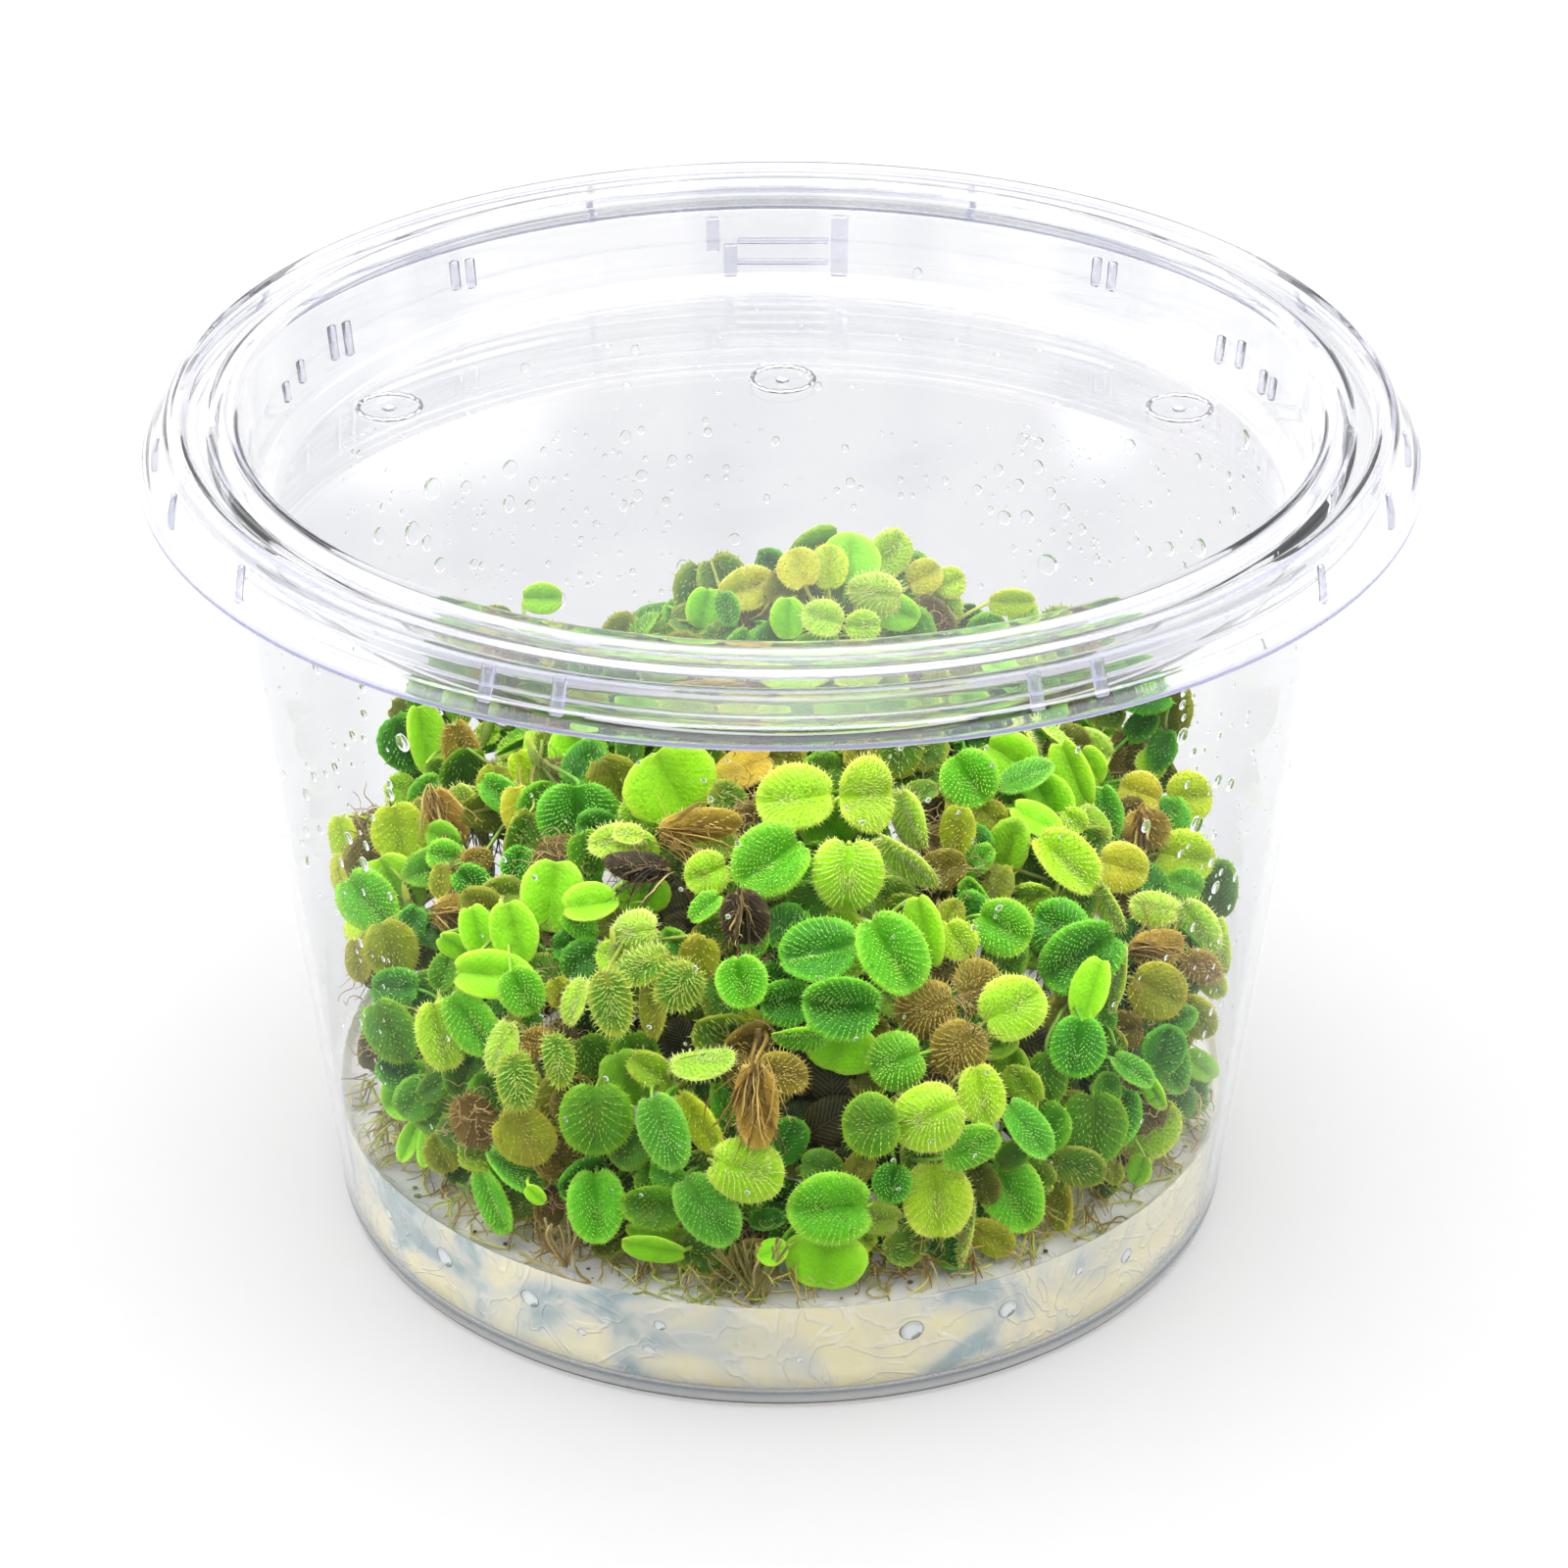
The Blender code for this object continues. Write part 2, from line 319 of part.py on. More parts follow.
def golden(k):
    """An even spread of numbers in 0..1, always the same."""
    return (k * 0.6180339887498949) % 1.0


def turned(v, axis, angle):
    """v turned about a unit axis."""
    c, s = math.cos(angle), math.sin(angle)
    return v * c + axis.cross(v) * s + axis * (axis.dot(v) * (1 - c))


def back_groups(first, shapes):
    """Plantlets over the far side of the heap, each of leaves round a point of its skin."""
    groups = []
    for k in range(400):
        if len(groups) == BACK_PLANTS:
            break
        along = golden(k * 7 + 1)
        bearing = math.radians(12.0 + 156.0 * golden(k * 3 + 2))
        reach = 0.30 + 0.62 * along
        x = math.cos(bearing) * 40.0 * reach
        y = 6.0 + math.sin(bearing) * 31.0 * reach
        z = heap_height(x, y) - 1.0
        n0 = heap_normal(x, y)
        centre = Vector((x, y, z))
        if any((centre - g[0]).length < 12.5 for g in groups):
            continue
        u = n0.cross(Vector((0.0, 0.0, 1.0)))
        u = u.normalized() if u.length > 0.05 else Vector((1.0, 0.0, 0.0))
        leaves = []
        mine = []
        for i in range(14):
            turn = 2 * math.pi * golden(i * 5 + k)
            m = turned(u, n0, turn)
            s = m.cross(n0)
            lean = math.radians(-20 + 55 * golden(i * 11 + k * 2))
            m, n = m * math.cos(lean) - n0 * math.sin(lean), n0 * math.cos(lean) + m * math.sin(lean)
            length = 5.4 + 1.8 * golden(i * 3 + k * 5)
            out = 3.6 + 4.6 * golden(i * 9 + k * 4)
            leaf = Leaf(centre + m * out + n0 * (1.6 * golden(i * 13 + k) - 0.8), m, s, n,
                        length, length * (0.86 + 0.2 * golden(i * 17 + k)),
                        4 + 20 * golden(i * 19 + k), 0.0, 'sgymld'[(i + k) % 6])
            grown = leaf.plate(GAP + 0.05)
            if not inside_cup(grown[0]):
                continue
            probe = Shape(grown)
            if any(probe.hits(sh) for _, sh in shapes) or any(probe.hits(sh) for sh in mine):
                continue
            leaves.append(leaf)
            mine.append(Shape(leaf.plate()))
            if len(leaves) == 4:
                break
        if len(leaves) >= 3:
            groups.append((centre, leaves))
            shapes.extend((first + len(groups) - 1, sh) for sh in mine)
    return [g[1] for g in groups]


def joints_of(leaves, own, shapes, limbs):
    """Node, stalks and stem of one plantlet, clear of all others; leaves it can't reach are left out."""
    mean = Vector((0.0, 0.0, 0.0))
    for leaf in leaves:
        mean += leaf.base()
    mean /= len(leaves)
    inward = -heap_normal(mean.x, mean.y)
    others = [s for g, s in shapes if g != own] + limbs
    kin = [Shape(leaf.plate()) for leaf in leaves]

    def free(shape):
        if not inside_cup(shape[0]):
            return False
        probe = Shape(shape)
        return not any(probe.hits(s) for s in others)

    def crossings(leaf, node):
        """How many of the plantlet's other blades a stalk would pass through."""
        probe = Shape(rod(node, leaf.base(), STALK_R, STALK_R, 3))
        return sum(probe.hits(s) for other, s in zip(leaves, kin) if other is not leaf)

    best = None
    for depth in (2.5, 1.5, 3.5, 5.0, 0.5, 6.5, 8.0):
        for du in (0.0, 1.5, -1.5, 3.0, -3.0):
            for dv in (0.0, 1.5, -1.5, 3.0, -3.0):
                node = mean + inward * depth + ACROSS * du + ABOVE * dv
                if not free(rod(node - ABOVE * 0.9, node + ABOVE * 0.9, HUB_R + GAP, HUB_R + GAP, 4, GAP)):
                    continue
                reach = [leaf for leaf in leaves
                         if (leaf.base() - node).length < 0.8
                         or free(rod(node, leaf.base(), 0.6 + GAP, 0.75 + GAP, 4, 0.2))]
                crossed = sum(crossings(leaf, node) for leaf in reach)
                score = (sum(leaf.length * leaf.width for leaf in reach)
                         - 2.0 * depth - abs(du) - abs(dv) - 12.0 * crossed)
                if best is None or score > best[0] + 1e-9:
                    best = (score, node, reach, crossed)
        if best and len(best[2]) == len(leaves) and best[3] == 0:
            break
    if best is None or not best[2]:
        return None
    _, node, reach, _ = best
    stem = None
    low = node.z < 24.0
    for length in (9.0, 7.0, 5.0, 3.5, 2.2):
        for lean in ((0.25, 0.0), (0.6, 0.0), (0.0, 0.0), (1.0, 0.0), (0.4, 0.5), (0.4, -0.5)):
            way = Vector((0.0, 0.0, -1.0)) * (1.0 if low else 0.7) + inward * lean[0] + ACROSS * lean[1]
            way.normalize()
            end = node + way * length
            if end.z < GEL_TOP + 0.8:
                end = node + way * (length * max(0.05, (node.z - GEL_TOP - 0.9) / max(0.01, node.z - end.z)))
            if (end - node).length < 1.6:
                continue
            if free(rod(node, end, HUB_R + GAP, HUB_R + GAP, 4, 0.7)):
                stem = (node, end)
                break
        if stem:
            break
    return node, reach, stem


# ---------------------------------------------------------------- Blender objects
def material(name, color, rough, metallic=0.0, alpha=1.0, transmission=0.0):
    mat = bpy.data.materials.new(name)
    mat.use_nodes = True
    bsdf = mat.node_tree.nodes["Principled BSDF"]
    bsdf.inputs["Base Color"].default_value = (*color, 1.0)
    bsdf.inputs["Roughness"].default_value = rough
    bsdf.inputs["Metallic"].default_value = metallic
    bsdf.inputs["Alpha"].default_value = alpha
    bsdf.inputs["Transmission Weight"].default_value = transmission
    mat.diffuse_color = (*color, alpha)
    return mat


def mesh_object(name, verts, faces, mat, smooth=None):
    mesh = bpy.data.meshes.new(name)
    mesh.from_pydata([tuple(0.001 * c for c in v) for v in verts], [], faces)
    mesh.update()
    mesh.materials.append(mat)
    if smooth is not None:
        mesh.shade_smooth()
        mesh.set_sharp_from_angle(angle=math.radians(smooth))
    obj = bpy.data.objects.new(name, mesh)
    bpy.context.scene.collection.objects.link(obj)
    return obj


def turned_object(name, profile, mat):
    """A closed profile of (radius, height) turned about Z; points on the axis become poles."""
    verts, rings = [], []
    for r, z in profile:
        if r < 1e-6:
            rings.append([len(verts)])
            verts.append((0.0, 0.0, z))
        else:
            rings.append(list(range(len(verts), len(verts) + SIDES)))
            for i in range(SIDES):
                th = 2 * math.pi * i / SIDES
                verts.append((r * math.cos(th), r * math.sin(th), z))
    faces = []
    for k in range(len(rings) - 1):
        a, b = rings[k], rings[k + 1]
        for i in range(SIDES):
            j = (i + 1) % SIDES
            if len(a) == 1 and len(b) > 1:
                faces.append([a[0], b[j], b[i]])
            elif len(b) == 1 and len(a) > 1:
                faces.append([a[i], a[j], b[0]])
            elif len(a) > 1:
                faces.append([a[i], a[j], b[j], b[i]])
    return mesh_object(name, verts, faces, mat, smooth=40)


def cup_profile():
    """From the middle of the underside, out, up the outer wall, over the rim and down inside."""
    t = WALL_T
    outer = lambda z: BASE_R + (WALL_R - BASE_R) * z / WALL_H
    return [
        (0.0, FLOOR_Z - t), (35.4, FLOOR_Z - t), (36.2, 0.0), (38.2, 0.0), (38.9, 0.6),
        (outer(WALL_H), WALL_H), (46.7, 71.0), (RIM_R - 0.8, 71.0), (RIM_R - 0.8, 69.9), (RIM_R, 69.9),
        (RIM_R, RIM_Z - 0.3), (RIM_R - 0.4, RIM_Z), (45.9, RIM_Z), (45.6, 71.4),
        (outer(WALL_H) - t, WALL_H), (outer(4.2) - t, 4.2), (36.4, FLOOR_Z), (0.0, FLOOR_Z),
    ]


def lid_profile():
    """From the middle of the panel's underside, out under the rim to the skirt, then back over the top."""
    t = LID_T
    return [
        (0.0, PANEL_Z - t), (PANEL_R + 0.3, PANEL_Z - t), (43.6, PANEL_Z + 0.6), (44.2, 69.0), (44.7, 72.4),
        (49.45, 72.4), (49.65, 71.6), (50.9, 70.3), (51.7, 69.0), (LID_R, 69.0), (LID_R - 0.1, 69.6),
        (51.7, 70.9), (50.4, 72.8), (50.1, 73.7), (49.6, LID_TOP), (48.8, LID_TOP), (48.3, 73.3),
        (46.9, 73.3), (46.3, LID_TOP), (45.0, LID_TOP), (44.2, 73.6), (43.5, 69.1),
        (42.9, 66.2), (PANEL_R - 0.3, PANEL_Z), (0.0, PANEL_Z),
    ]


def gel_profile():
    wall = lambda z: wall_radius(z) - GAP
    return [
        (0.0, FLOOR_Z + GAP), (36.0, FLOOR_Z + GAP), (wall(4.6) - 0.1, 4.6), (wall(GEL_TOP), GEL_TOP), (0.0, GEL_TOP),
    ]


def plantlet(name, leaves, node, reach, stem, mat):
    """Blades, stalks and stem as one solid."""
    shapes = []
    for leaf in reach:
        whole = leaf.solid(node)
        if whole:
            shapes.append(whole)
            continue
        shapes.append(leaf.plate())
        if (leaf.base() - node).length > 0.2:
            shapes.append(rod(node, leaf.base() + (leaf.base() - node).normalized() * 0.1, STALK_R, STALK_R, 3))
    if stem:
        shapes.append(rod(stem[0], stem[1], HUB_R, HUB_R, 4, 0.7))
    else:
        shapes.append(rod(node - ABOVE * 0.9, node + ABOVE * 0.9, HUB_R, HUB_R, 4))
    main = shapes.pop()
    obj = mesh_object(name, main[0], main[1], mat)
    helpers = []
    for i, (verts, faces) in enumerate(shapes):
        helper = mesh_object("%s_piece_%d" % (name, i), verts, faces, mat)
        helper.hide_render = True
        helper.display_type = 'WIRE'
        helpers.append(helper)
        mod = obj.modifiers.new("join_%d" % i, 'BOOLEAN')
        mod.operation = 'UNION'
        mod.solver = 'EXACT'
        mod.object = helper
    return obj, helpers


def drop_slivers(mesh):
    """Keeps the largest body of a joined mesh; what is left beside it are slivers of the cuts."""
    bm = bmesh.new()
    bm.from_mesh(mesh)
    left = set(bm.verts)
    bodies = []
    while left:
        seed = min(left, key=lambda v: v.index)
        body, edge = {seed}, [seed]
        while edge:
            v = edge.pop()
            for e in v.link_edges:
                w = e.other_vert(v)
                if w not in body:
                    body.add(w)
                    edge.append(w)
        left -= body
        bodies.append(sorted(body, key=lambda v: v.index))
    bodies.sort(key=len)
    for body in bodies[:-1]:
        bmesh.ops.delete(bm, geom=body, context='VERTS')
    bm.to_mesh(mesh)
    bm.free()


def main():
    for obj in list(bpy.data.objects):
        bpy.data.objects.remove(obj, do_unlink=True)
    for mesh in list(bpy.data.meshes):
        if mesh.users == 0:
            bpy.data.meshes.remove(mesh)

    turned_object("cup", cup_profile(), material("cup_plastic", (0.90, 0.92, 0.95), 0.05, alpha=0.35, transmission=1.0))
    turned_object("lid", lid_profile(), material("lid_plastic", (0.88, 0.90, 0.95), 0.05, alpha=0.35, transmission=1.0))
    turned_object("agar_gel", gel_profile(), material("gel", (0.86, 0.84, 0.74), 0.10, alpha=0.6, transmission=0.8))

    rows = [main_leaves(g) for g in PLANTS + DEAD]
    placed, shapes = place_leaves(rows)
    groups = [[placed[(gi, ri)] for ri in range(len(g)) if (gi, ri) in placed] for gi, g in enumerate(rows)]
    groups += back_groups(len(groups), shapes)

    limbs = []
    made = []
    counts = [0, 0]
    tones = {'y': (0.42, 0.66, 0.10), 's': (0.22, 0.56, 0.08), 'g': (0.16, 0.45, 0.10), 'd': (0.05, 0.28, 0.05),
             'h': (0.20, 0.42, 0.14), 'l': (0.56, 0.70, 0.38), 't': (0.16, 0.46, 0.24), 'm': (0.12, 0.34, 0.05),
             'o': (0.38, 0.40, 0.08), 'Y': (0.56, 0.66, 0.12), 'p': (0.62, 0.62, 0.20), 'b': (0.42, 0.26, 0.08),
             'B': (0.40, 0.22, 0.08), 'K': (0.06, 0.04, 0.02), 'F': (0.40, 0.32, 0.16), 'w': (0.60, 0.48, 0.18)}
    for gi, leaves in enumerate(groups):
        dead = len(PLANTS) <= gi < len(PLANTS) + len(DEAD)
        counts[dead] += 1
        name = ("dead_frond_%02d" if dead else "plantlet_%02d") % counts[dead]
        if not leaves:
            continue
        found = joints_of(leaves, gi, shapes, limbs)
        if not found:
            continue
        node, reach, stem = found
        for leaf in reach:
            whole = leaf.solid(node)
            if whole:
                limbs.append(Shape(whole))
            elif (leaf.base() - node).length > 0.2:
                limbs.append(Shape(rod(node, leaf.base(), STALK_R, STALK_R, 3, 0.1)))
        if stem:
            limbs.append(Shape(rod(stem[0], stem[1], HUB_R, HUB_R, 4, 0.7)))
        else:
            limbs.append(Shape(rod(node - ABOVE * 0.9, node + ABOVE * 0.9, HUB_R, HUB_R, 4)))
        look = max(reach, key=lambda leaf: leaf.length).look
        mat = material(name + "_mat", tones[look], 0.55)
        made.append(plantlet(name, leaves, node, reach, stem, mat))

    # the joined solids take the place of their pieces
    bpy.context.view_layer.update()
    graph = bpy.context.evaluated_depsgraph_get()
    for obj, helpers in made:
        joined = bpy.data.meshes.new_from_object(obj.evaluated_get(graph))
        drop_slivers(joined)
        obj.modifiers.clear()
        old = obj.data
        obj.data = joined
        bpy.data.meshes.remove(old)
        joined.name = obj.name
    for obj, helpers in made:
        for helper in helpers:
            mesh = helper.data
            bpy.data.objects.remove(helper, do_unlink=True)
            bpy.data.meshes.remove(mesh)
    print("plantlets", len(made), "leaves", sum(len(g) for g in groups))


main()
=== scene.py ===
"""Looks of a lidded culture cup of salvinia plantlets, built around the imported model.

Lengths in the functions below are millimetres, in the frame of the model: +Z up, the cup
standing on Z = 0, -Y towards the viewer. The clear cup and lid are turned profiles with
rounded corners. Every plantlet is one mesh: round leaves folded about a midrib, with rows
of fine hairs along their side veins and a fringe round the rim, on curved stalks, over a
tuft of root-like hanging leaves.
"""

import math

import bpy
import numpy as np
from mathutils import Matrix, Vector
from mathutils.bvhtree import BVHTree


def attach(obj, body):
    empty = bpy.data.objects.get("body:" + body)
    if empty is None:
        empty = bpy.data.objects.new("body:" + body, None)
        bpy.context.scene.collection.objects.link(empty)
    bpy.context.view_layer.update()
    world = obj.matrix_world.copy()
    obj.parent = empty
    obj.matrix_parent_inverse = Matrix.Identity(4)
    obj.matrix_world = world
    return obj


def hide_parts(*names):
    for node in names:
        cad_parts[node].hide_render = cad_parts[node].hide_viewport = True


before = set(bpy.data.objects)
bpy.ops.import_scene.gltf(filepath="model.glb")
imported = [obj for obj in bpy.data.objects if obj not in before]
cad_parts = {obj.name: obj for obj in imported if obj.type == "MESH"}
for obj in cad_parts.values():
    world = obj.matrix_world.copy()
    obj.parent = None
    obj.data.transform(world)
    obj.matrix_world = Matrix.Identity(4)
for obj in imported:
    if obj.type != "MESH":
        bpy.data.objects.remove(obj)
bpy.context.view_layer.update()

# ---------------------------------------------------------------- sizes (mm)
BASE_R = 38.9            # cup's outer radius at its foot
WALL_R = 46.47           # cup's outer radius at WALL_H
WALL_H = 69.0
WALL_T = 1.0
FLOOR_Z = 1.8
RIM_R = 49.3
RIM_Z = 72.0
LID_R = 52.5
LID_TOP = 74.2
PANEL_Z = 64.8
PANEL_R = 42.0
LID_T = 0.8
GEL_TOP = 9.5
GAP = 0.3
BLADE_T = 0.7
STALK_R = 0.40
HUB_R = 1.0
SMALL_LEAF = 50.0
MOST_LEAVES = 3

# ---------------------------------------------------------------- front view
# The picture plane the rows below are given in: 1600 units square, seen from 29 degrees
# above the horizon and 395 mm away, looking along +Y.
VIEW_TILT = math.radians(29.24)
VIEW_DIST = 394.6
VIEW_SCALE = 4707.0
VIEW_AIM_Z = 36.99
VIEW_X0, VIEW_Y0 = 797.2, 800.0
EYE = Vector((0.0, -VIEW_DIST * math.cos(VIEW_TILT), VIEW_AIM_Z + VIEW_DIST * math.sin(VIEW_TILT)))
AHEAD = Vector((0.0, math.cos(VIEW_TILT), -math.sin(VIEW_TILT)))
ABOVE = Vector((0.0, math.sin(VIEW_TILT), math.cos(VIEW_TILT)))
ACROSS = Vector((1.0, 0.0, 0.0))

# A row is one leaf: x, y in the picture plane; direction from its base to its tip
# (degrees anticlockwise from the right); length; width; pitch (tip away); roll (right side
# away); fold of each half about the midrib; curl of the midrib; look; millimetres nearer.
PLANTS = [
    [(684, 798, -62, 80, 104, 8, 0, 14, 0, 's', 0), (652, 832, -120, 44, 44, 25, 0, 8, 0, 'y', -2), (590, 765, -60, 64, 62, 10, 0, 8, 0, 's', -3)],
    [(812, 813, 186, 84, 76, 4, 22, 8, 0, 'y', 1), (884, 810, 5, 72, 84, 36, 0, 18, 0, 'y', 1), (927, 834, -70, 68, 60, 0, 56, 5, 0, 'l', -1)],
    [(786, 877, 215, 86, 80, 4, 15, 18, 0, 'g', 2.5), (722, 890, 200, 48, 48, 0, 0, 5, 0, 'y', 0), (765, 907, -8, 68, 44, 0, 66, 0, 0, 'l', 0)],
    [(865, 892, -92, 84, 78, 10, 0, -14, -25, 'y', 3), (925, 878, -38, 80, 54, 0, 60, 10, 0, 'l', 1.5)],
    [(836, 968, 192, 86, 76, 4, 30, 10, 0, 'd', 2), (910, 971, -58, 94, 76, 0, -14, 22, 0, 'g', 3), (941, 949, -78, 80, 60, 0, 46, 0, 0, 's', 0.5)],
    [(860, 1026, 176, 84, 78, 0, -12, 34, 0, 'd', 3), (803, 1021, 188, 58, 58, 0, -10, 34, 0, 'd', 1), (857, 1066, -110, 60, 84, 20, 0, 0, 0, 's', -0.5), (818, 1057, 182, 58, 46, 0, -58, 20, 0, 'g', 0.5)],
    [(757, 1000, -75, 58, 64, 0, 0, 36, 15, 'g', 1.5), (720, 924, -140, 42, 32, 0, 35, 20, 0, 'g', 0.5), (770, 957, -100, 38, 34, 10, 0, 30, 0, 'g', 0), (755, 1052, -25, 72, 60, 10, 15, 10, 0, 'Y', 0)],
    [(647, 950, 186, 58, 50, 30, 0, -20, -20, 'l', 1), (655, 982, 202, 64, 50, 5, 35, -25, 0, 'h', 2), (626, 975, 160, 40, 36, 20, 0, 10, 0, 'y', -0.5), (624, 1021, -80, 72, 48, 0, 0, -22, 0, 'h', 2), (693, 1005, -132, 54, 52, 5, 0, -15, 0, 'h', 1.5), (712, 978, -110, 58, 44, 20, 10, -10, 0, 'o', -0.5), (666, 1030, -88, 60, 40, 10, 45, 10, 0, 'o', 0.5)],
    [(588, 1020, -110, 54, 36, 0, 45, 20, 0, 'l', 0.5), (572, 1012, -70, 36, 32, 10, 0, 25, 0, 'o', 0), (605, 1076, -60, 50, 46, 20, 0, 0, 0, 'm', -3), (648, 1078, -80, 62, 52, 25, 0, 0, 0, 'm', -4), (609, 1140, -90, 80, 78, 6, 0, -6, -10, 'm', 0.5), (665, 1205, -90, 40, 36, 10, 0, 0, 0, 'm', -3)],
    [(525, 950, -75, 70, 52, 5, 10, 14, 0, 's', 1.5), (488, 948, -72, 58, 40, 5, -15, 10, 0, 's', 1), (465, 964, -30, 42, 30, 10, 30, 15, 0, 's', 0.5), (503, 993, -4, 86, 54, 5, -12, 14, 0, 's', 1), (533, 1010, -60, 56, 48, 15, 0, 5, 0, 'g', -0.5), (454, 990, -110, 44, 36, 10, 30, 20, 0, 'm', -0.5)],
    [(452, 1054, -78, 76, 56, 0, -10, 14, 0, 'y', 1.5), (482, 1042, -55, 80, 54, 0, 20, 14, 0, 'g', 1), (400, 1050, -60, 74, 54, 0, 0, 25, 0, 'm', 0)],
    [(423, 1112, 212, 74, 72, 0, 0, 24, 0, 's', 1.5), (420, 1162, -112, 48, 24, 0, 20, 20, 0, 's', 0.5), (438, 1164, -100, 52, 26, 0, 40, 20, 0, 's', 0.5), (452, 1175, -70, 46, 36, 10, 0, 5, 0, 'o', -1)],
    [(375, 918, -48, 74, 60, 0, -10, 12, 0, 'g', 1.5), (402, 903, -60, 76, 62, 10, 10, 8, 0, 's', 0), (400, 967, -70, 66, 56, 10, 0, 10, 0, 'o', -1), (366, 978, -80, 46, 36, 0, 40, 5, 0, 'o', -1)],
    [(407, 847, -75, 64, 60, 8, 0, 6, 0, 'Y', 0), (349, 856, -80, 58, 36, 0, 30, 5, 0, 'Y', 0), (408, 804, -30, 36, 34, 10, 0, 10, 0, 'y', -1), (345, 890, -80, 44, 26, 0, 40, 5, 0, 'p', 0)],
    [(434, 752, -80, 80, 50, 0, -20, 34, 0, 's', 0), (474, 772, -72, 84, 46, 5, 20, 25, 0, 'b', -1), (497, 747, 0, 26, 24, 0, 0, 10, 0, 'y', -2)],
    [(564, 911, -98, 78, 68, 0, 0, 14, 0, 's', 0.5), (602, 920, 8, 60, 50, 0, -30, 24, 0, 's', 0.5), (592, 942, -40, 44, 32, 0, 20, 10, 0, 'g', -0.5), (627, 857, 190, 56, 38, 10, 20, 15, 0, 'l', 1), (656, 912, -90, 46, 60, 20, 0, 0, 0, 's', -0.5), (642, 850, 170, 34, 26, 10, 30, 10, 0, 'l', 1.5)],
    [(590, 832, -90, 78, 88, 12, 0, -6, 0, 'd', -2), (600, 868, -70, 48, 42, 10, 0, 8, 0, 'm', -1), (548, 766, -80, 50, 36, 0, 40, 15, 0, 's', -3)],
    [(505, 800, -90, 46, 40, 5, 0, 8, 0, 'o', -3), (535, 781, -60, 38, 34, 10, 0, 8, 0, 'Y', -3), (530, 826, -80, 56, 40, 10, 10, 8, 0, 'p', -3), (475, 817, -60, 44, 32, 10, 30, 10, 0, 'l', -3), (454, 872, 170, 40, 36, 10, 0, 10, 0, 'g', -2), (450, 897, -95, 38, 26, 0, 20, 10, 0, 'o', -2), (482, 900, -40, 46, 38, 10, 0, 5, 0, 'd', -3), (528, 880, -110, 40, 34, 10, 0, 10, 0, 'd', -2)],
    [(528, 1102, -85, 64, 46, 0, 0, -28, 0, 'h', 2.5), (512, 1066, -108, 58, 38, 0, 30, -15, 0, 'l', 1), (523, 1054, -90, 42, 28, 0, 0, 20, 0, 'o', 0.5), (570, 1080, -78, 58, 36, 0, 10, -25, 0, 'h', 1.5), (536, 1158, -35, 70, 60, 5, 0, -12, 0, 'o', -0.5), (566, 1128, -100, 76, 44, 15, 0, -5, 0, 'o', -2)],
    [(609, 1228, -88, 80, 62, 0, 5, 12, 0, 'g', 2), (568, 1212, -90, 78, 58, 0, -56, -5, 0, 'l', 1.5)],
    [(526, 1192, -42, 72, 44, 0, -45, 5, 0, 't', 2), (503, 1224, -66, 84, 50, 0, 45, 5, 0, 'g', 1.5), (516, 1212, -56, 84, 44, 0, 10, 40, 0, 's', 1), (547, 1218, -40, 26, 20, 0, 30, 10, 0, 's', 1)],
    [(668, 1230, 176, 68, 56, 0, -15, 38, 0, 'm', 1), (672, 1258, 172, 70, 40, 0, -56, 10, 0, 's', 0.5), (668, 1274, 170, 70, 40, 0, -50, 5, 0, 's', 0)],
    [(722, 1233, -52, 88, 60, 0, 10, 4, 0, 't', 1.5), (762, 1193, -15, 86, 70, 5, 0, -16, -20, 'y', 2), (750, 1224, -20, 56, 40, 20, 50, 0, 0, 'm', 0)],
    [(677, 1153, -70, 86, 54, 0, 12, -14, 0, 't', 1), (713, 1144, -55, 78, 46, 0, 42, 14, 0, 'Y', 0.5), (717, 1082, 8, 70, 48, 0, -46, -20, 0, 'l', 0.5)],
    [(848, 1232, 182, 90, 78, 0, -8, 12, 0, 'g', 2.5), (842, 1284, -98, 66, 88, 20, 0, 0, 0, 's', 0.5), (788, 1276, 200, 34, 30, 0, 20, 0, 0, 's', 0.5)],
    [(926, 1272, -70, 84, 86, 8, 0, 0, 0, 's', 0.5), (956, 1222, -88, 84, 74, 4, 0, 10, 0, 'y', 2.5), (985, 1257, -100, 84, 44, 0, 68, 5, 0, 'l', 1.5)],
    [(1031, 1216, -62, 86, 66, 4, 0, 8, 0, 'g', 2), (989, 1170, 24, 68, 48, 5, 25, -8, 0, 'g', 1.5), (1048, 1150, -52, 74, 44, 0, -25, 14, 0, 't', 1.5), (1059, 1234, -82, 78, 44, 0, 34, 5, 0, 's', 0.5), (1079, 1222, -84, 76, 44, 0, 44, 5, 0, 'o', -0.5), (1010, 1262, -28, 62, 44, 10, 20, 0, 0, 'o', -0.5)],
    [(946, 1140, 205, 82, 74, 8, 0, -14, -20, 'y', 2.5), (1001, 1116, -78, 66, 50, 5, -10, 8, 0, 'y', 1.5), (889, 1147, 188, 62, 68, 10, 0, -8, 0, 'm', 1)],
    [(914, 1082, 198, 64, 66, 8, 0, -16, -15, 'g', 1.5), (977, 1070, -125, 64, 62, 8, 0, -14, -15, 'b', 1.5), (910, 1206, -100, 44, 42, 10, 0, 15, 0, 'd', -1), (945, 1029, 200, 68, 64, 8, 0, -14, -15, 'b', 1), (999, 1006, 22, 52, 62, 10, 0, -8, 0, 'b', 1), (1032, 1027, 28, 74, 68, 8, 0, -6, 0, 'y', 1.5)],
    [(1023, 945, -28, 64, 62, 4, 0, 12, 0, 'g', 1), (977, 958, -55, 44, 42, 8, 0, 10, 0, 'y', 1), (970, 931, 60, 32, 30, 10, 0, 10, 0, 'o', 0)],
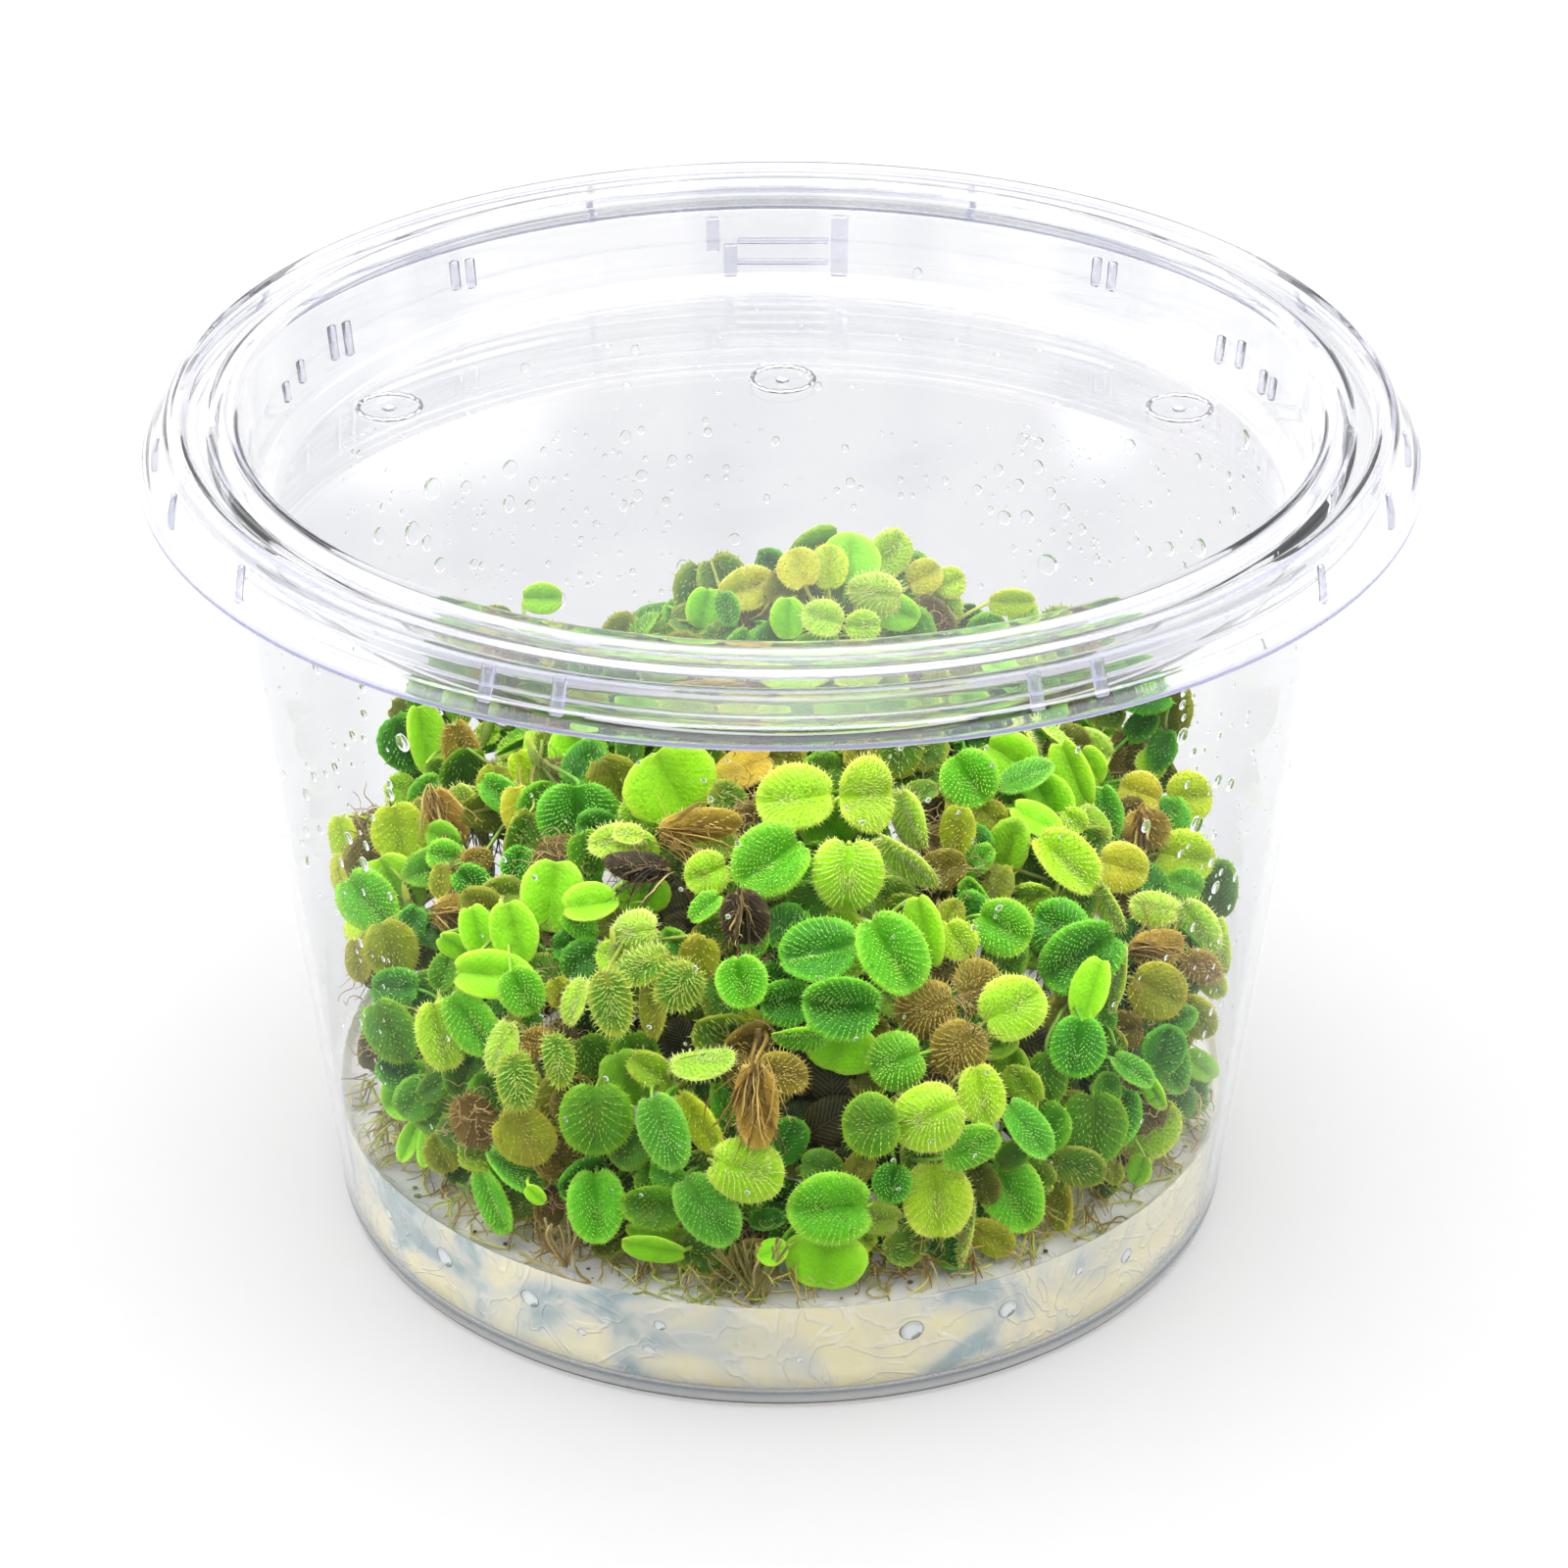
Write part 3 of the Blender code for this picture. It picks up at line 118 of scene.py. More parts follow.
    [(989, 793, -55, 62, 64, 5, 0, 16, 0, 'g', 0.5), (977, 846, -98, 54, 44, 5, 30, 10, 0, 'o', -1), (1010, 832, -40, 40, 36, 10, 0, 5, 0, 'o', -2)],
    [(1030, 772, -30, 62, 56, 10, 0, 5, 0, 's', -1.5), (1046, 790, 24, 64, 44, 0, -45, 5, 0, 't', 0), (1068, 818, -60, 68, 58, 8, 0, 14, 0, 's', -0.5), (1057, 834, -30, 60, 40, 0, -35, 10, 0, 's', 0)],
    [(1094, 790, -68, 82, 46, 0, 24, 14, 0, 's', -1), (1128, 828, -80, 62, 42, 0, 25, 10, 0, 't', -1), (1112, 780, -60, 44, 36, 10, 0, 5, 0, 's', -2), (1096, 836, -40, 30, 28, 10, 0, 10, 0, 'y', 0.5)],
    [(1088, 877, -44, 84, 64, 0, -22, 34, 0, 'y', 1.5), (1145, 884, -15, 56, 54, 10, 0, 4, 0, 'p', 0.5), (1131, 924, -62, 58, 34, 0, 50, 15, 0, 'l', 1)],
    [(1080, 946, 150, 62, 64, 10, 0, -5, 0, 'd', 0), (1103, 975, 212, 94, 78, 0, -8, 26, 0, 'd', 1.5), (1112, 1008, -108, 72, 48, 0, 28, 25, 0, 's', 1.5), (1140, 996, -100, 74, 34, 0, 66, 0, 0, 'l', 0.5), (1099, 1066, -98, 66, 60, 0, 0, 16, 0, 'd', 1.5), (1068, 1098, -90, 60, 44, 20, 0, 0, 0, 'm', -2)],
    [(1137, 1138, -112, 68, 54, 0, 10, 8, 0, 'd', 0.5), (1186, 1076, -66, 82, 56, 0, -16, 34, 0, 't', 1), (1154, 1090, -36, 52, 34, 0, -35, 20, 0, 't', 1), (1174, 1112, -60, 44, 24, 0, 30, 10, 0, 's', 0.5), (1171, 1152, 42, 74, 60, 0, 0, 22, 0, 'y', 1.5), (1160, 1192, -110, 34, 28, 10, 20, 0, 0, 's', 0), (1136, 1196, -90, 24, 20, 0, 0, 0, 0, 'o', -0.5), (1115, 1148, -90, 80, 70, 14, 0, 0, 0, 'm', -1)],
    [(1178, 925, 170, 54, 42, 10, 20, -20, 0, 'l', 1), (1222, 944, -55, 66, 44, 0, 25, -15, 0, 'l', 0.5), (1246, 962, -85, 76, 30, 0, 40, 0, 0, 'Y', -0.5), (1180, 1010, -30, 62, 62, 10, 0, -5, 0, 'o', -0.5), (1219, 1036, -60, 50, 40, 5, 20, 0, 0, 'o', -0.5), (1235, 1000, -60, 40, 30, 5, 20, 0, 0, 'Y', -0.5)],
    [(1209, 874, -10, 64, 60, 8, 0, 5, 0, 'Y', -1), (1214, 812, 0, 52, 54, 8, 0, 5, 0, 'Y', -1), (1176, 778, 80, 34, 34, 5, 0, 10, 0, 'y', -1), (1164, 808, 160, 48, 46, 10, 0, 8, 0, 'p', -1)],
    [(868, 574, 80, 62, 64, 15, 0, 8, 0, 's', 0), (908, 566, 50, 54, 46, 15, 10, 10, 0, 'y', 0), (815, 582, 110, 46, 46, 15, 0, 8, 0, 'p', 0), (846, 580, 90, 50, 40, 15, 0, 8, 0, 'Y', -1), (893, 607, 170, 68, 46, 30, 0, -15, 0, 'l', 1), (912, 625, -20, 60, 40, 20, 0, 10, 0, 's', 0.5), (943, 590, 30, 40, 38, 10, 0, 8, 0, 'p', 0), (969, 596, 20, 34, 34, 10, 0, 8, 0, 'Y', 0)],
    [(720, 622, -100, 46, 42, 10, 0, 14, 0, 's', 0), (742, 622, -80, 40, 30, 10, 30, 10, 0, 't', 0), (763, 602, 20, 66, 46, 20, 0, 10, 0, 'p', -0.5), (964, 620, -40, 40, 36, 10, 0, 8, 0, 'y', 0), (804, 632, -90, 46, 40, 10, 0, 25, 0, 's', 1), (840, 632, 160, 46, 40, 10, 10, 10, 0, 'l', 1), (880, 640, 0, 40, 34, 20, 0, 10, 0, 'y', 1)],
    [(455, 680, -60, 46, 40, 10, 0, 8, 0, 'g', 0), (482, 692, -30, 36, 34, 10, 0, 8, 0, 'p', 0), (552, 700, -60, 46, 40, 10, 0, 10, 0, 'g', 0), (600, 712, -60, 46, 40, 10, 0, 8, 0, 'p', 0), (553, 612, 0, 46, 34, 20, 0, 14, 0, 's', 0)],
    [(650, 722, -80, 56, 50, 10, 0, 8, 0, 's', 0), (700, 716, -60, 60, 56, 10, 0, 8, 0, 'y', 0), (790, 728, -90, 40, 36, 10, 0, 8, 0, 'Y', 1.5), (760, 716, -20, 60, 44, 20, 0, 5, 0, 'Y', 1)],
    [(858, 716, -60, 62, 56, 15, 0, 5, 0, 's', 1), (905, 712, -80, 50, 46, 10, 0, 8, 0, 'g', 1.5), (943, 718, -60, 40, 40, 10, 0, 14, 0, 'y', 1), (990, 716, -40, 46, 40, 10, 0, 8, 0, 's', 0)],
    [(1062, 700, -40, 46, 44, 10, 0, 8, 0, 'g', 0), (1110, 692, -60, 50, 44, 10, 0, 8, 0, 's', -0.5), (1165, 684, -30, 46, 40, 10, 0, 8, 0, 'g', -0.5), (1032, 616, 0, 52, 30, 20, 20, 10, 0, 'Y', 0)],
]
DEAD = [
    [(772, 1126, -86, 92, 52, 0, 0, -30, 0, 'B', 2.5), (797, 1094, -12, 58, 44, 5, 0, 0, 0, 'b', 1)],
    [(714, 842, 8, 88, 40, 0, 20, -20, 0, 'B', 1.5), (758, 782, 200, 72, 46, 20, 20, -10, 0, 'w', -2)],
    [(650, 882, 172, 68, 36, 0, 10, -25, 0, 'K', 1.5), (760, 935, -80, 60, 50, 10, 0, 0, 0, 'K', -1)],
    [(455, 832, -60, 66, 40, 0, 10, 10, 0, 'B', -2), (486, 876, 10, 34, 26, 0, 0, 0, 0, 'b', -2), (466, 930, 0, 50, 40, 20, 0, 0, 0, 'B', -2)],
    [(485, 1142, -60, 60, 48, 0, 0, -10, 0, 'F', -0.5), (549, 1062, -10, 34, 32, 0, 0, 0, 0, 'b', 0)],
    [(1170, 845, -80, 46, 50, 10, 0, 0, 0, 'B', -1.5), (1180, 966, 10, 60, 40, 10, 0, -10, 0, 'B', -0.5), (1225, 985, -30, 46, 34, 10, 0, 0, 0, 'b', -0.5)],
]
BACK_PLANTS = 7          # plantlets on the far side of the heap, which the front view doesn't show


# ---------------------------------------------------------------- the heap
def wall_radius(z):
    """Inner radius of the cup's wall at height z."""
    return BASE_R + (WALL_R - BASE_R) * z / WALL_H - WALL_T


def heap_height(x, y):
    """Height of the heap's skin: a broad dome with a peak behind its middle."""
    a = x / 45.0
    b = (y - 4.0) / (41.5 if y < 4.0 else 36.0)
    dome = GEL_TOP + 32.0 * math.sqrt(max(0.0, 1.0 - a * a - b * b))
    return dome + 13.0 * math.exp(-(((x - 4.0) / 15.0) ** 2 + ((y - 9.0) / 13.0) ** 2))


def heap_normal(x, y):
    e = 0.5
    dx = (heap_height(x + e, y) - heap_height(x - e, y)) / (2 * e)
    dy = (heap_height(x, y + e) - heap_height(x, y - e)) / (2 * e)
    return Vector((-dx, -dy, 1.0)).normalized()


def sight(px, py):
    return (AHEAD + ACROSS * ((px - VIEW_X0) / VIEW_SCALE) + ABOVE * ((VIEW_Y0 - py) / VIEW_SCALE)).normalized()


def on_heap(px, py):
    """Distance along the line of sight at which it meets the heap, or passes nearest to it."""
    d = sight(px, py)
    best = None
    for i in range(600):
        t = 320.0 + i * 0.2
        p = EYE + d * t
        if math.hypot(p.x, p.y) > wall_radius(max(p.z, 0.0)) - 2.0:
            continue
        over = p.z - heap_height(p.x, p.y)
        if over < 0.0:
            return t
        if best is None or over < best[0]:
            best = (over, t)
    return best[1] if best else VIEW_DIST


class Leaf:
    """One blade: centre, midrib direction, side direction, upper normal and size, in mm."""

    def __init__(self, c, m, s, n, length, width, fold, curl, look):
        self.c, self.m, self.s, self.n = c, m, s, n
        self.length, self.width = length, width
        self.fold, self.curl, self.look = fold, curl, look

    def base(self):
        low = -self.width / 8 * math.sin(math.radians(self.fold))
        return self.c - self.m * (0.45 * self.length) + self.n * low

    def rim(self, grow=0.0):
        """Half of the outline, as (across, along, rise) for the base, the side and the tip."""
        f = math.radians(self.fold)
        half = self.width / 2 + grow
        rise = half * math.sin(f) * 0.8
        low = -self.width / 8 * math.sin(f)
        return [(0.5 + grow, -self.length / 2 - grow, low),
                (half * max(math.cos(f), 0.35), 0.04 * self.length, low + rise),
                (0.26 * self.width + grow, self.length / 2 + grow, low + 0.35 * rise)]

    def plate(self, grow=0.0):
        """The blade as a six-sided plate whose sides fold up about the midrib; grow swells it."""
        t = BLADE_T / 2 + grow
        ring = self.rim(grow)
        ring = ring + [(-x, y, z) for x, y, z in reversed(ring)]
        verts = []
        for side in (1.0, -1.0):
            for x, y, z in ring:
                verts.append(self.c + self.m * y + self.s * x + self.n * (z + side * t))
        # base right, side right, tip right, tip left, side left, base left
        top = [[0, 1, 2], [0, 2, 3, 5], [3, 4, 5]]
        faces = [list(f) for f in top] + [[v + 6 for v in reversed(f)] for f in top]
        for i in range(6):
            j = (i + 1) % 6
            faces.append([i, i + 6, j + 6, j])
        return verts, faces

    def solid(self, node):
        """The plate with its stalk drawn out to the node, or None where the stalk would fold back."""
        run = self.base() - node
        if run.length < 1.2 or run.normalized().dot(self.m) < 0.05:
            return None
        d = run.normalized()
        side = self.s - d * self.s.dot(d)
        if side.length < 0.3:
            return None
        side.normalize()
        up = side.cross(d) if side.cross(d).dot(self.n) > 0 else d.cross(side)
        verts, faces = self.plate()
        start = node
        k = len(verts)
        verts += [start + side * STALK_R + up * (BLADE_T / 2), start - side * STALK_R + up * (BLADE_T / 2),
                  start + side * STALK_R - up * (BLADE_T / 2), start - side * STALK_R - up * (BLADE_T / 2)]
        faces.remove([5, 11, 6, 0])
        faces += [[5, 1 + k, k, 0], [6, 2 + k, 3 + k, 11], [0, k, 2 + k, 6], [5, 11, 3 + k, 1 + k], [k, 1 + k, 3 + k, 2 + k]]
        return verts, faces


def rod(a, b, ra, rb, sides, overshoot=0.0):
    """A tapered rod from a to b."""
    axis = (b - a).normalized()
    a, b = a - axis * overshoot, b + axis * overshoot
    side = axis.cross(Vector((0.31, 0.52, 0.79))).normalized()
    other = axis.cross(side)
    verts = []
    for p, r in ((a, ra), (b, rb)):
        for i in range(sides):
            th = 2 * math.pi * i / sides
            verts.append(p + side * (math.cos(th) * r) + other * (math.sin(th) * r))
    faces = [list(reversed(range(sides))), [v + sides for v in range(sides)]]
    for i in range(sides):
        j = (i + 1) % sides
        faces.append([i, j, j + sides, i + sides])
    return verts, faces


class Shape:
    """A closed shape with its search tree and its box."""

    def __init__(self, shape):
        verts, faces = shape
        self.tree = BVHTree.FromPolygons(verts, faces, all_triangles=False)
        self.lo = Vector((min(v[i] for v in verts) for i in range(3)))
        self.hi = Vector((max(v[i] for v in verts) for i in range(3)))

    def hits(self, other):
        for i in range(3):
            if self.lo[i] > other.hi[i] or other.lo[i] > self.hi[i]:
                return False
        return bool(self.tree.overlap(other.tree))


def inside_cup(verts):
    for v in verts:
        if v.z < GEL_TOP + GAP or v.z > PANEL_Z - LID_T - 1.0:
            return False
        if math.hypot(v.x, v.y) > wall_radius(v.z) - 0.5:
            return False
    return True


def seen_leaf(row, t, scale=1.0):
    """The leaf of a row, set at distance t along its line of sight."""
    px, py, angle, length, width, pitch, roll, fold, curl, look, near = row
    c = EYE + sight(px, py) * t
    size = (c - EYE).dot(AHEAD) / VIEW_SCALE * scale
    back = (EYE - c).normalized()
    u = ABOVE.cross(back).normalized()
    v = back.cross(u)
    a, p, r = math.radians(angle), math.radians(pitch), math.radians(roll)
    m = u * math.cos(a) + v * math.sin(a)
    s = u * math.sin(a) - v * math.cos(a)
    m, n = m * math.cos(p) - back * math.sin(p), back * math.cos(p) + m * math.sin(p)
    s, n = s * math.cos(r) - n * math.sin(r), n * math.cos(r) + s * math.sin(r)
    return Leaf(c, m, s, n, length * size, width * size, fold, curl, look)


def shifts():
    """Steps along the line of sight that are tried in turn, in mm."""
    yield 0.0
    for k in range(1, 15):
        yield -0.5 * k
        yield 0.5 * k


def place_leaves(groups):
    """Every row of every group as a leaf that clears the leaves of all other groups."""
    order = sorted(((row[10], gi, ri) for gi, g in enumerate(groups) for ri, row in enumerate(g)),
                   key=lambda e: (-e[0], e[1], e[2]))
    placed = {}
    shapes = []
    for near, gi, ri in order:
        row = groups[gi][ri]
        t0 = on_heap(row[0], row[1]) - near
        done = None
        for scale in (1.0, 0.9, 0.8):
            for step in shifts():
                leaf = seen_leaf(row, t0 - step, scale)
                grown = leaf.plate(GAP + 0.05)
                if not inside_cup(grown[0]):
                    continue
                probe = Shape(grown)
                if any(probe.hits(s) for g, s in shapes):
                    continue
                done = leaf
                break
            if done:
                break
        if done:
            placed[(gi, ri)] = done
            shapes.append((gi, Shape(done.plate())))
    return placed, shapes


def main_leaves(group):
    """The rows of a plantlet that are big enough for its solid, at least one and at most MOST_LEAVES."""
    by_size = sorted(range(len(group)), key=lambda i: (-group[i][3] * group[i][4], i))
    kept = [i for k, i in enumerate(by_size) if k < 2 or (k < MOST_LEAVES and group[i][3] >= SMALL_LEAF)]
    return [group[i] for i in sorted(kept)]


def golden(k):
    """An even spread of numbers in 0..1, always the same."""
    return (k * 0.6180339887498949) % 1.0


def turned(v, axis, angle):
    """v turned about a unit axis."""
    c, s = math.cos(angle), math.sin(angle)
    return v * c + axis.cross(v) * s + axis * (axis.dot(v) * (1 - c))


def back_groups(first, shapes):
    """Plantlets over the far side of the heap, each of leaves round a point of its skin."""
    groups = []
    for k in range(400):
        if len(groups) == BACK_PLANTS:
            break
        along = golden(k * 7 + 1)
        bearing = math.radians(12.0 + 156.0 * golden(k * 3 + 2))
        reach = 0.30 + 0.62 * along
        x = math.cos(bearing) * 40.0 * reach
        y = 6.0 + math.sin(bearing) * 31.0 * reach
        z = heap_height(x, y) - 1.0
        n0 = heap_normal(x, y)
        centre = Vector((x, y, z))
        if any((centre - g[0]).length < 12.5 for g in groups):
            continue
        u = n0.cross(Vector((0.0, 0.0, 1.0)))
        u = u.normalized() if u.length > 0.05 else Vector((1.0, 0.0, 0.0))
        leaves = []
        mine = []
        for i in range(14):
            turn = 2 * math.pi * golden(i * 5 + k)
            m = turned(u, n0, turn)
            s = m.cross(n0)
            lean = math.radians(-20 + 55 * golden(i * 11 + k * 2))
            m, n = m * math.cos(lean) - n0 * math.sin(lean), n0 * math.cos(lean) + m * math.sin(lean)
            length = 5.4 + 1.8 * golden(i * 3 + k * 5)
            out = 3.6 + 4.6 * golden(i * 9 + k * 4)
            leaf = Leaf(centre + m * out + n0 * (1.6 * golden(i * 13 + k) - 0.8), m, s, n,
                        length, length * (0.86 + 0.2 * golden(i * 17 + k)),
                        4 + 20 * golden(i * 19 + k), 0.0, 'sgymld'[(i + k) % 6])
            grown = leaf.plate(GAP + 0.05)
            if not inside_cup(grown[0]):
                continue
            probe = Shape(grown)
            if any(probe.hits(sh) for _, sh in shapes) or any(probe.hits(sh) for sh in mine):
                continue
            leaves.append(leaf)
            mine.append(Shape(leaf.plate()))
            if len(leaves) == 4:
                break
        if len(leaves) >= 3:
            groups.append((centre, leaves))
            shapes.extend((first + len(groups) - 1, sh) for sh in mine)
    return [g[1] for g in groups]


def joints_of(leaves, own, shapes, limbs):
    """Node, stalks and stem of one plantlet, clear of all others; leaves it can't reach are left out."""
    mean = Vector((0.0, 0.0, 0.0))
    for leaf in leaves:
        mean += leaf.base()
    mean /= len(leaves)
    inward = -heap_normal(mean.x, mean.y)
    others = [s for g, s in shapes if g != own] + limbs
    kin = [Shape(leaf.plate()) for leaf in leaves]

    def free(shape):
        if not inside_cup(shape[0]):
            return False
        probe = Shape(shape)
        return not any(probe.hits(s) for s in others)

    def crossings(leaf, node):
        """How many of the plantlet's other blades a stalk would pass through."""
        probe = Shape(rod(node, leaf.base(), STALK_R, STALK_R, 3))
        return sum(probe.hits(s) for other, s in zip(leaves, kin) if other is not leaf)

    best = None
    for depth in (2.5, 1.5, 3.5, 5.0, 0.5, 6.5, 8.0):
        for du in (0.0, 1.5, -1.5, 3.0, -3.0):
            for dv in (0.0, 1.5, -1.5, 3.0, -3.0):
                node = mean + inward * depth + ACROSS * du + ABOVE * dv
                if not free(rod(node - ABOVE * 0.9, node + ABOVE * 0.9, HUB_R + GAP, HUB_R + GAP, 4, GAP)):
                    continue
                reach = [leaf for leaf in leaves
                         if (leaf.base() - node).length < 0.8
                         or free(rod(node, leaf.base(), 0.6 + GAP, 0.75 + GAP, 4, 0.2))]
                crossed = sum(crossings(leaf, node) for leaf in reach)
                score = (sum(leaf.length * leaf.width for leaf in reach)
                         - 2.0 * depth - abs(du) - abs(dv) - 12.0 * crossed)
                if best is None or score > best[0] + 1e-9:
                    best = (score, node, reach, crossed)
        if best and len(best[2]) == len(leaves) and best[3] == 0:
            break
    if best is None or not best[2]:
        return None
    _, node, reach, _ = best
    stem = None
    low = node.z < 24.0
    for length in (9.0, 7.0, 5.0, 3.5, 2.2):
        for lean in ((0.25, 0.0), (0.6, 0.0), (0.0, 0.0), (1.0, 0.0), (0.4, 0.5), (0.4, -0.5)):
            way = Vector((0.0, 0.0, -1.0)) * (1.0 if low else 0.7) + inward * lean[0] + ACROSS * lean[1]
            way.normalize()
            end = node + way * length
            if end.z < GEL_TOP + 0.8:
                end = node + way * (length * max(0.05, (node.z - GEL_TOP - 0.9) / max(0.01, node.z - end.z)))
            if (end - node).length < 1.6:
                continue
            if free(rod(node, end, HUB_R + GAP, HUB_R + GAP, 4, 0.7)):
                stem = (node, end)
                break
        if stem:
            break
    return node, reach, stem



# ---------------------------------------------------------------- colours
def lin(r, g, b):
    """A display colour, 0 to 255, as linear RGBA."""
    return np.array([((c / 255 + 0.055) / 1.055) ** 2.4 if c > 10 else c / 255 / 12.92 for c in (r, g, b)] + [1.0])


class Look:
    """How one kind of leaf is coloured and how its hairs stand."""

    def __init__(self, top, rim, hair, rows=0, step=0.34, start=0.2, length=0.45, lie=0.7, fringe=0.3,
                 puff=0.12, groove=0.0, warp=0.03, stain=0.0, stain_to=(120, 85, 35), thick=0.08):
        self.top, self.rim, self.hair = lin(*top), lin(*rim), lin(*hair)
        self.rows, self.step, self.start, self.length, self.lie = rows, step, start, length, lie
        self.fringe, self.puff, self.groove, self.warp = fringe, puff, groove, warp
        self.stain, self.stain_to, self.thick = stain, lin(*stain_to), thick


LOOKS = {
    'y': Look((154, 214, 0), (208, 240, 70), (232, 250, 132), 14, 0.35, 0.08, 0.56, 0.95, 0.42, 0.12, 0.05),
    's': Look((138, 216, 8), (186, 238, 60), (190, 238, 90), 0, 0.4, 0.3, 0.2, 0.7, 0.13, 0.07, 0.10),
    'g': Look((80, 174, 0), (154, 226, 50), (196, 246, 104), 14, 0.32, 0.14, 0.42, 0.6, 0.33, 0.14, 0.10),
    'd': Look((40, 130, 0), (112, 206, 34), (174, 242, 104), 14, 0.32, 0.16, 0.42, 0.7, 0.30, 0.14, 0.16),
    'h': Look((78, 140, 6), (182, 196, 56), (204, 232, 106), 14, 0.30, 0.04, 0.74, 0.55, 0.66, 0.05, 0.0, stain=0.3, stain_to=(190, 166, 36)),
    'l': Look((160, 208, 44), (214, 232, 104), (232, 246, 150), 14, 0.32, 0.08, 0.58, 0.6, 0.62, 0.10, 0.05),
    't': Look((66, 152, 18), (134, 208, 60), (172, 234, 112), 14, 0.32, 0.12, 0.34, 0.8, 0.28, 0.08, 0.08),
    'm': Look((66, 132, 0), (128, 186, 22), (170, 212, 60), 8, 0.46, 0.12, 0.50, 0.8, 0.46, 0.08, 0.06, stain=0.15),
    'o': Look((134, 148, 8), (182, 182, 46), (206, 204, 90), 7, 0.46, 0.12, 0.52, 0.8, 0.46, 0.08, 0.04, 0.05, stain=0.4),
    'Y': Look((172, 208, 0), (214, 230, 60), (230, 242, 116), 9, 0.42, 0.10, 0.44, 0.9, 0.34, 0.08, 0.05, stain=0.12, stain_to=(200, 172, 20)),
    'p': Look((190, 192, 30), (218, 214, 84), (230, 226, 128), 7, 0.46, 0.10, 0.42, 0.9, 0.34, 0.07, 0.05, 0.05, stain=0.25, stain_to=(196, 150, 36)),
    'b': Look((126, 106, 18), (178, 154, 56), (222, 198, 110), 13, 0.36, 0.06, 0.66, 0.6, 0.62, 0.08, 0.02, 0.07, stain=0.5, stain_to=(104, 80, 14)),
    'w': Look((194, 178, 58), (210, 196, 92), (222, 208, 116), 0, 0.4, 0.2, 0.3, 0.8, 0.12, 0.04, 0.02, 0.12, stain=0.5, stain_to=(168, 136, 34)),
    'B': Look((166, 138, 44), (198, 170, 74), (226, 198, 108), 5, 0.5, 0.1, 0.8, 1.2, 0.5, 0.04, 0.02, 0.15, stain=0.6, stain_to=(92, 58, 8)),
    'K': Look((38, 31, 16), (72, 60, 34), (150, 128, 84), 3, 0.6, 0.1, 0.8, 1.4, 0.3, 0.04, 0.02, 0.16, stain=0.5, stain_to=(14, 11, 5)),
    'F': Look((114, 92, 34), (146, 122, 56), (192, 164, 96), 6, 0.5, 0.1, 0.8, 0.5, 0.8, 0.04, 0.02, 0.12, stain=0.5, stain_to=(78, 58, 16)),
}


# ---------------------------------------------------------------- meshes
class Piece:
    """Gathers vertices (mm), their colours and leaf coordinates, and faces with a material number."""

    def __init__(self):
        self.v, self.c, self.uv, self.faces = [], [], [], []
        self.count = 0

    def add(self, verts, faces, colour, uv=None, mat=0):
        verts = np.asarray(verts, float).reshape(-1, 3)
        n = len(verts)
        colour = np.asarray(colour, float)
        self.v.append(verts)
        self.c.append(np.broadcast_to(colour, (n, 4)) if colour.ndim == 1 else colour)
        self.uv.append(np.full((n, 2), 0.5) if uv is None else uv)
        for f in faces:
            f = np.asarray(f, np.int64)
            if len(f):
                self.faces.append((f + self.count, mat))
        self.count += n

    def triangles(self):
        return sum(len(f) * (f.shape[1] - 2) for f, _ in self.faces)

    def build(self, name, mats, sharp=None):
        verts = np.concatenate(self.v) * 0.001
        sizes = np.concatenate([np.full(len(f), f.shape[1], np.int32) for f, _ in self.faces])
        loops = np.concatenate([f.ravel() for f, _ in self.faces]).astype(np.int32)
        index = np.concatenate([np.full(len(f), m, np.int32) for f, m in self.faces])
        starts = np.zeros(len(sizes), np.int32)
        starts[1:] = np.cumsum(sizes)[:-1]
        mesh = bpy.data.meshes.new(name)
        mesh.vertices.add(len(verts))
        mesh.vertices.foreach_set("co", verts.astype(np.float32).ravel())
        mesh.loops.add(len(loops))
        mesh.loops.foreach_set("vertex_index", loops)
        mesh.polygons.add(len(sizes))
        mesh.polygons.foreach_set("loop_start", starts)
        mesh.polygons.foreach_set("loop_total", sizes)
        mesh.polygons.foreach_set("material_index", index)
        mesh.update(calc_edges=True)
        mesh.validate()
        layer = mesh.uv_layers.new(name="UVMap")
        uv = np.concatenate(self.uv)
        order = np.zeros(len(mesh.loops), np.int32)
        mesh.loops.foreach_get("vertex_index", order)
        layer.data.foreach_set("uv", uv[order].astype(np.float32).ravel())
        tone = mesh.color_attributes.new("tone", 'FLOAT_COLOR', 'POINT')
        tone.data.foreach_set("color", np.concatenate(self.c).astype(np.float32).ravel())
        for m in mats:
            mesh.materials.append(m)
        mesh.shade_smooth()
        if sharp is not None:
            mesh.set_sharp_from_angle(angle=math.radians(sharp))
        obj = bpy.data.objects.new(name, mesh)
        bpy.context.scene.collection.objects.link(obj)
        return obj


def unit(a):
    return a / np.maximum(np.linalg.norm(a, axis=-1, keepdims=True), 1e-9)


def arr(v):
    return np.array([v[0], v[1], v[2]], float)


# ---------------------------------------------------------------- leaf
HALF_TURN = [0, 9, 21, 36, 53, 72, 91, 110, 128, 144, 158, 169, 176]
THETA = np.radians(np.array(HALF_TURN + [180] + [-a for a in reversed(HALF_TURN[1:])], float))
MIDDLE = np.radians(np.array([0, 20, 42, 66, 92, 118, 142, 163, 180, -163, -142, -118, -92, -66, -42, -20], float))
COARSE = np.radians(np.array([0, 28, 62, 98, 132, 160, 180, -160, -132, -98, -62, -28], float))


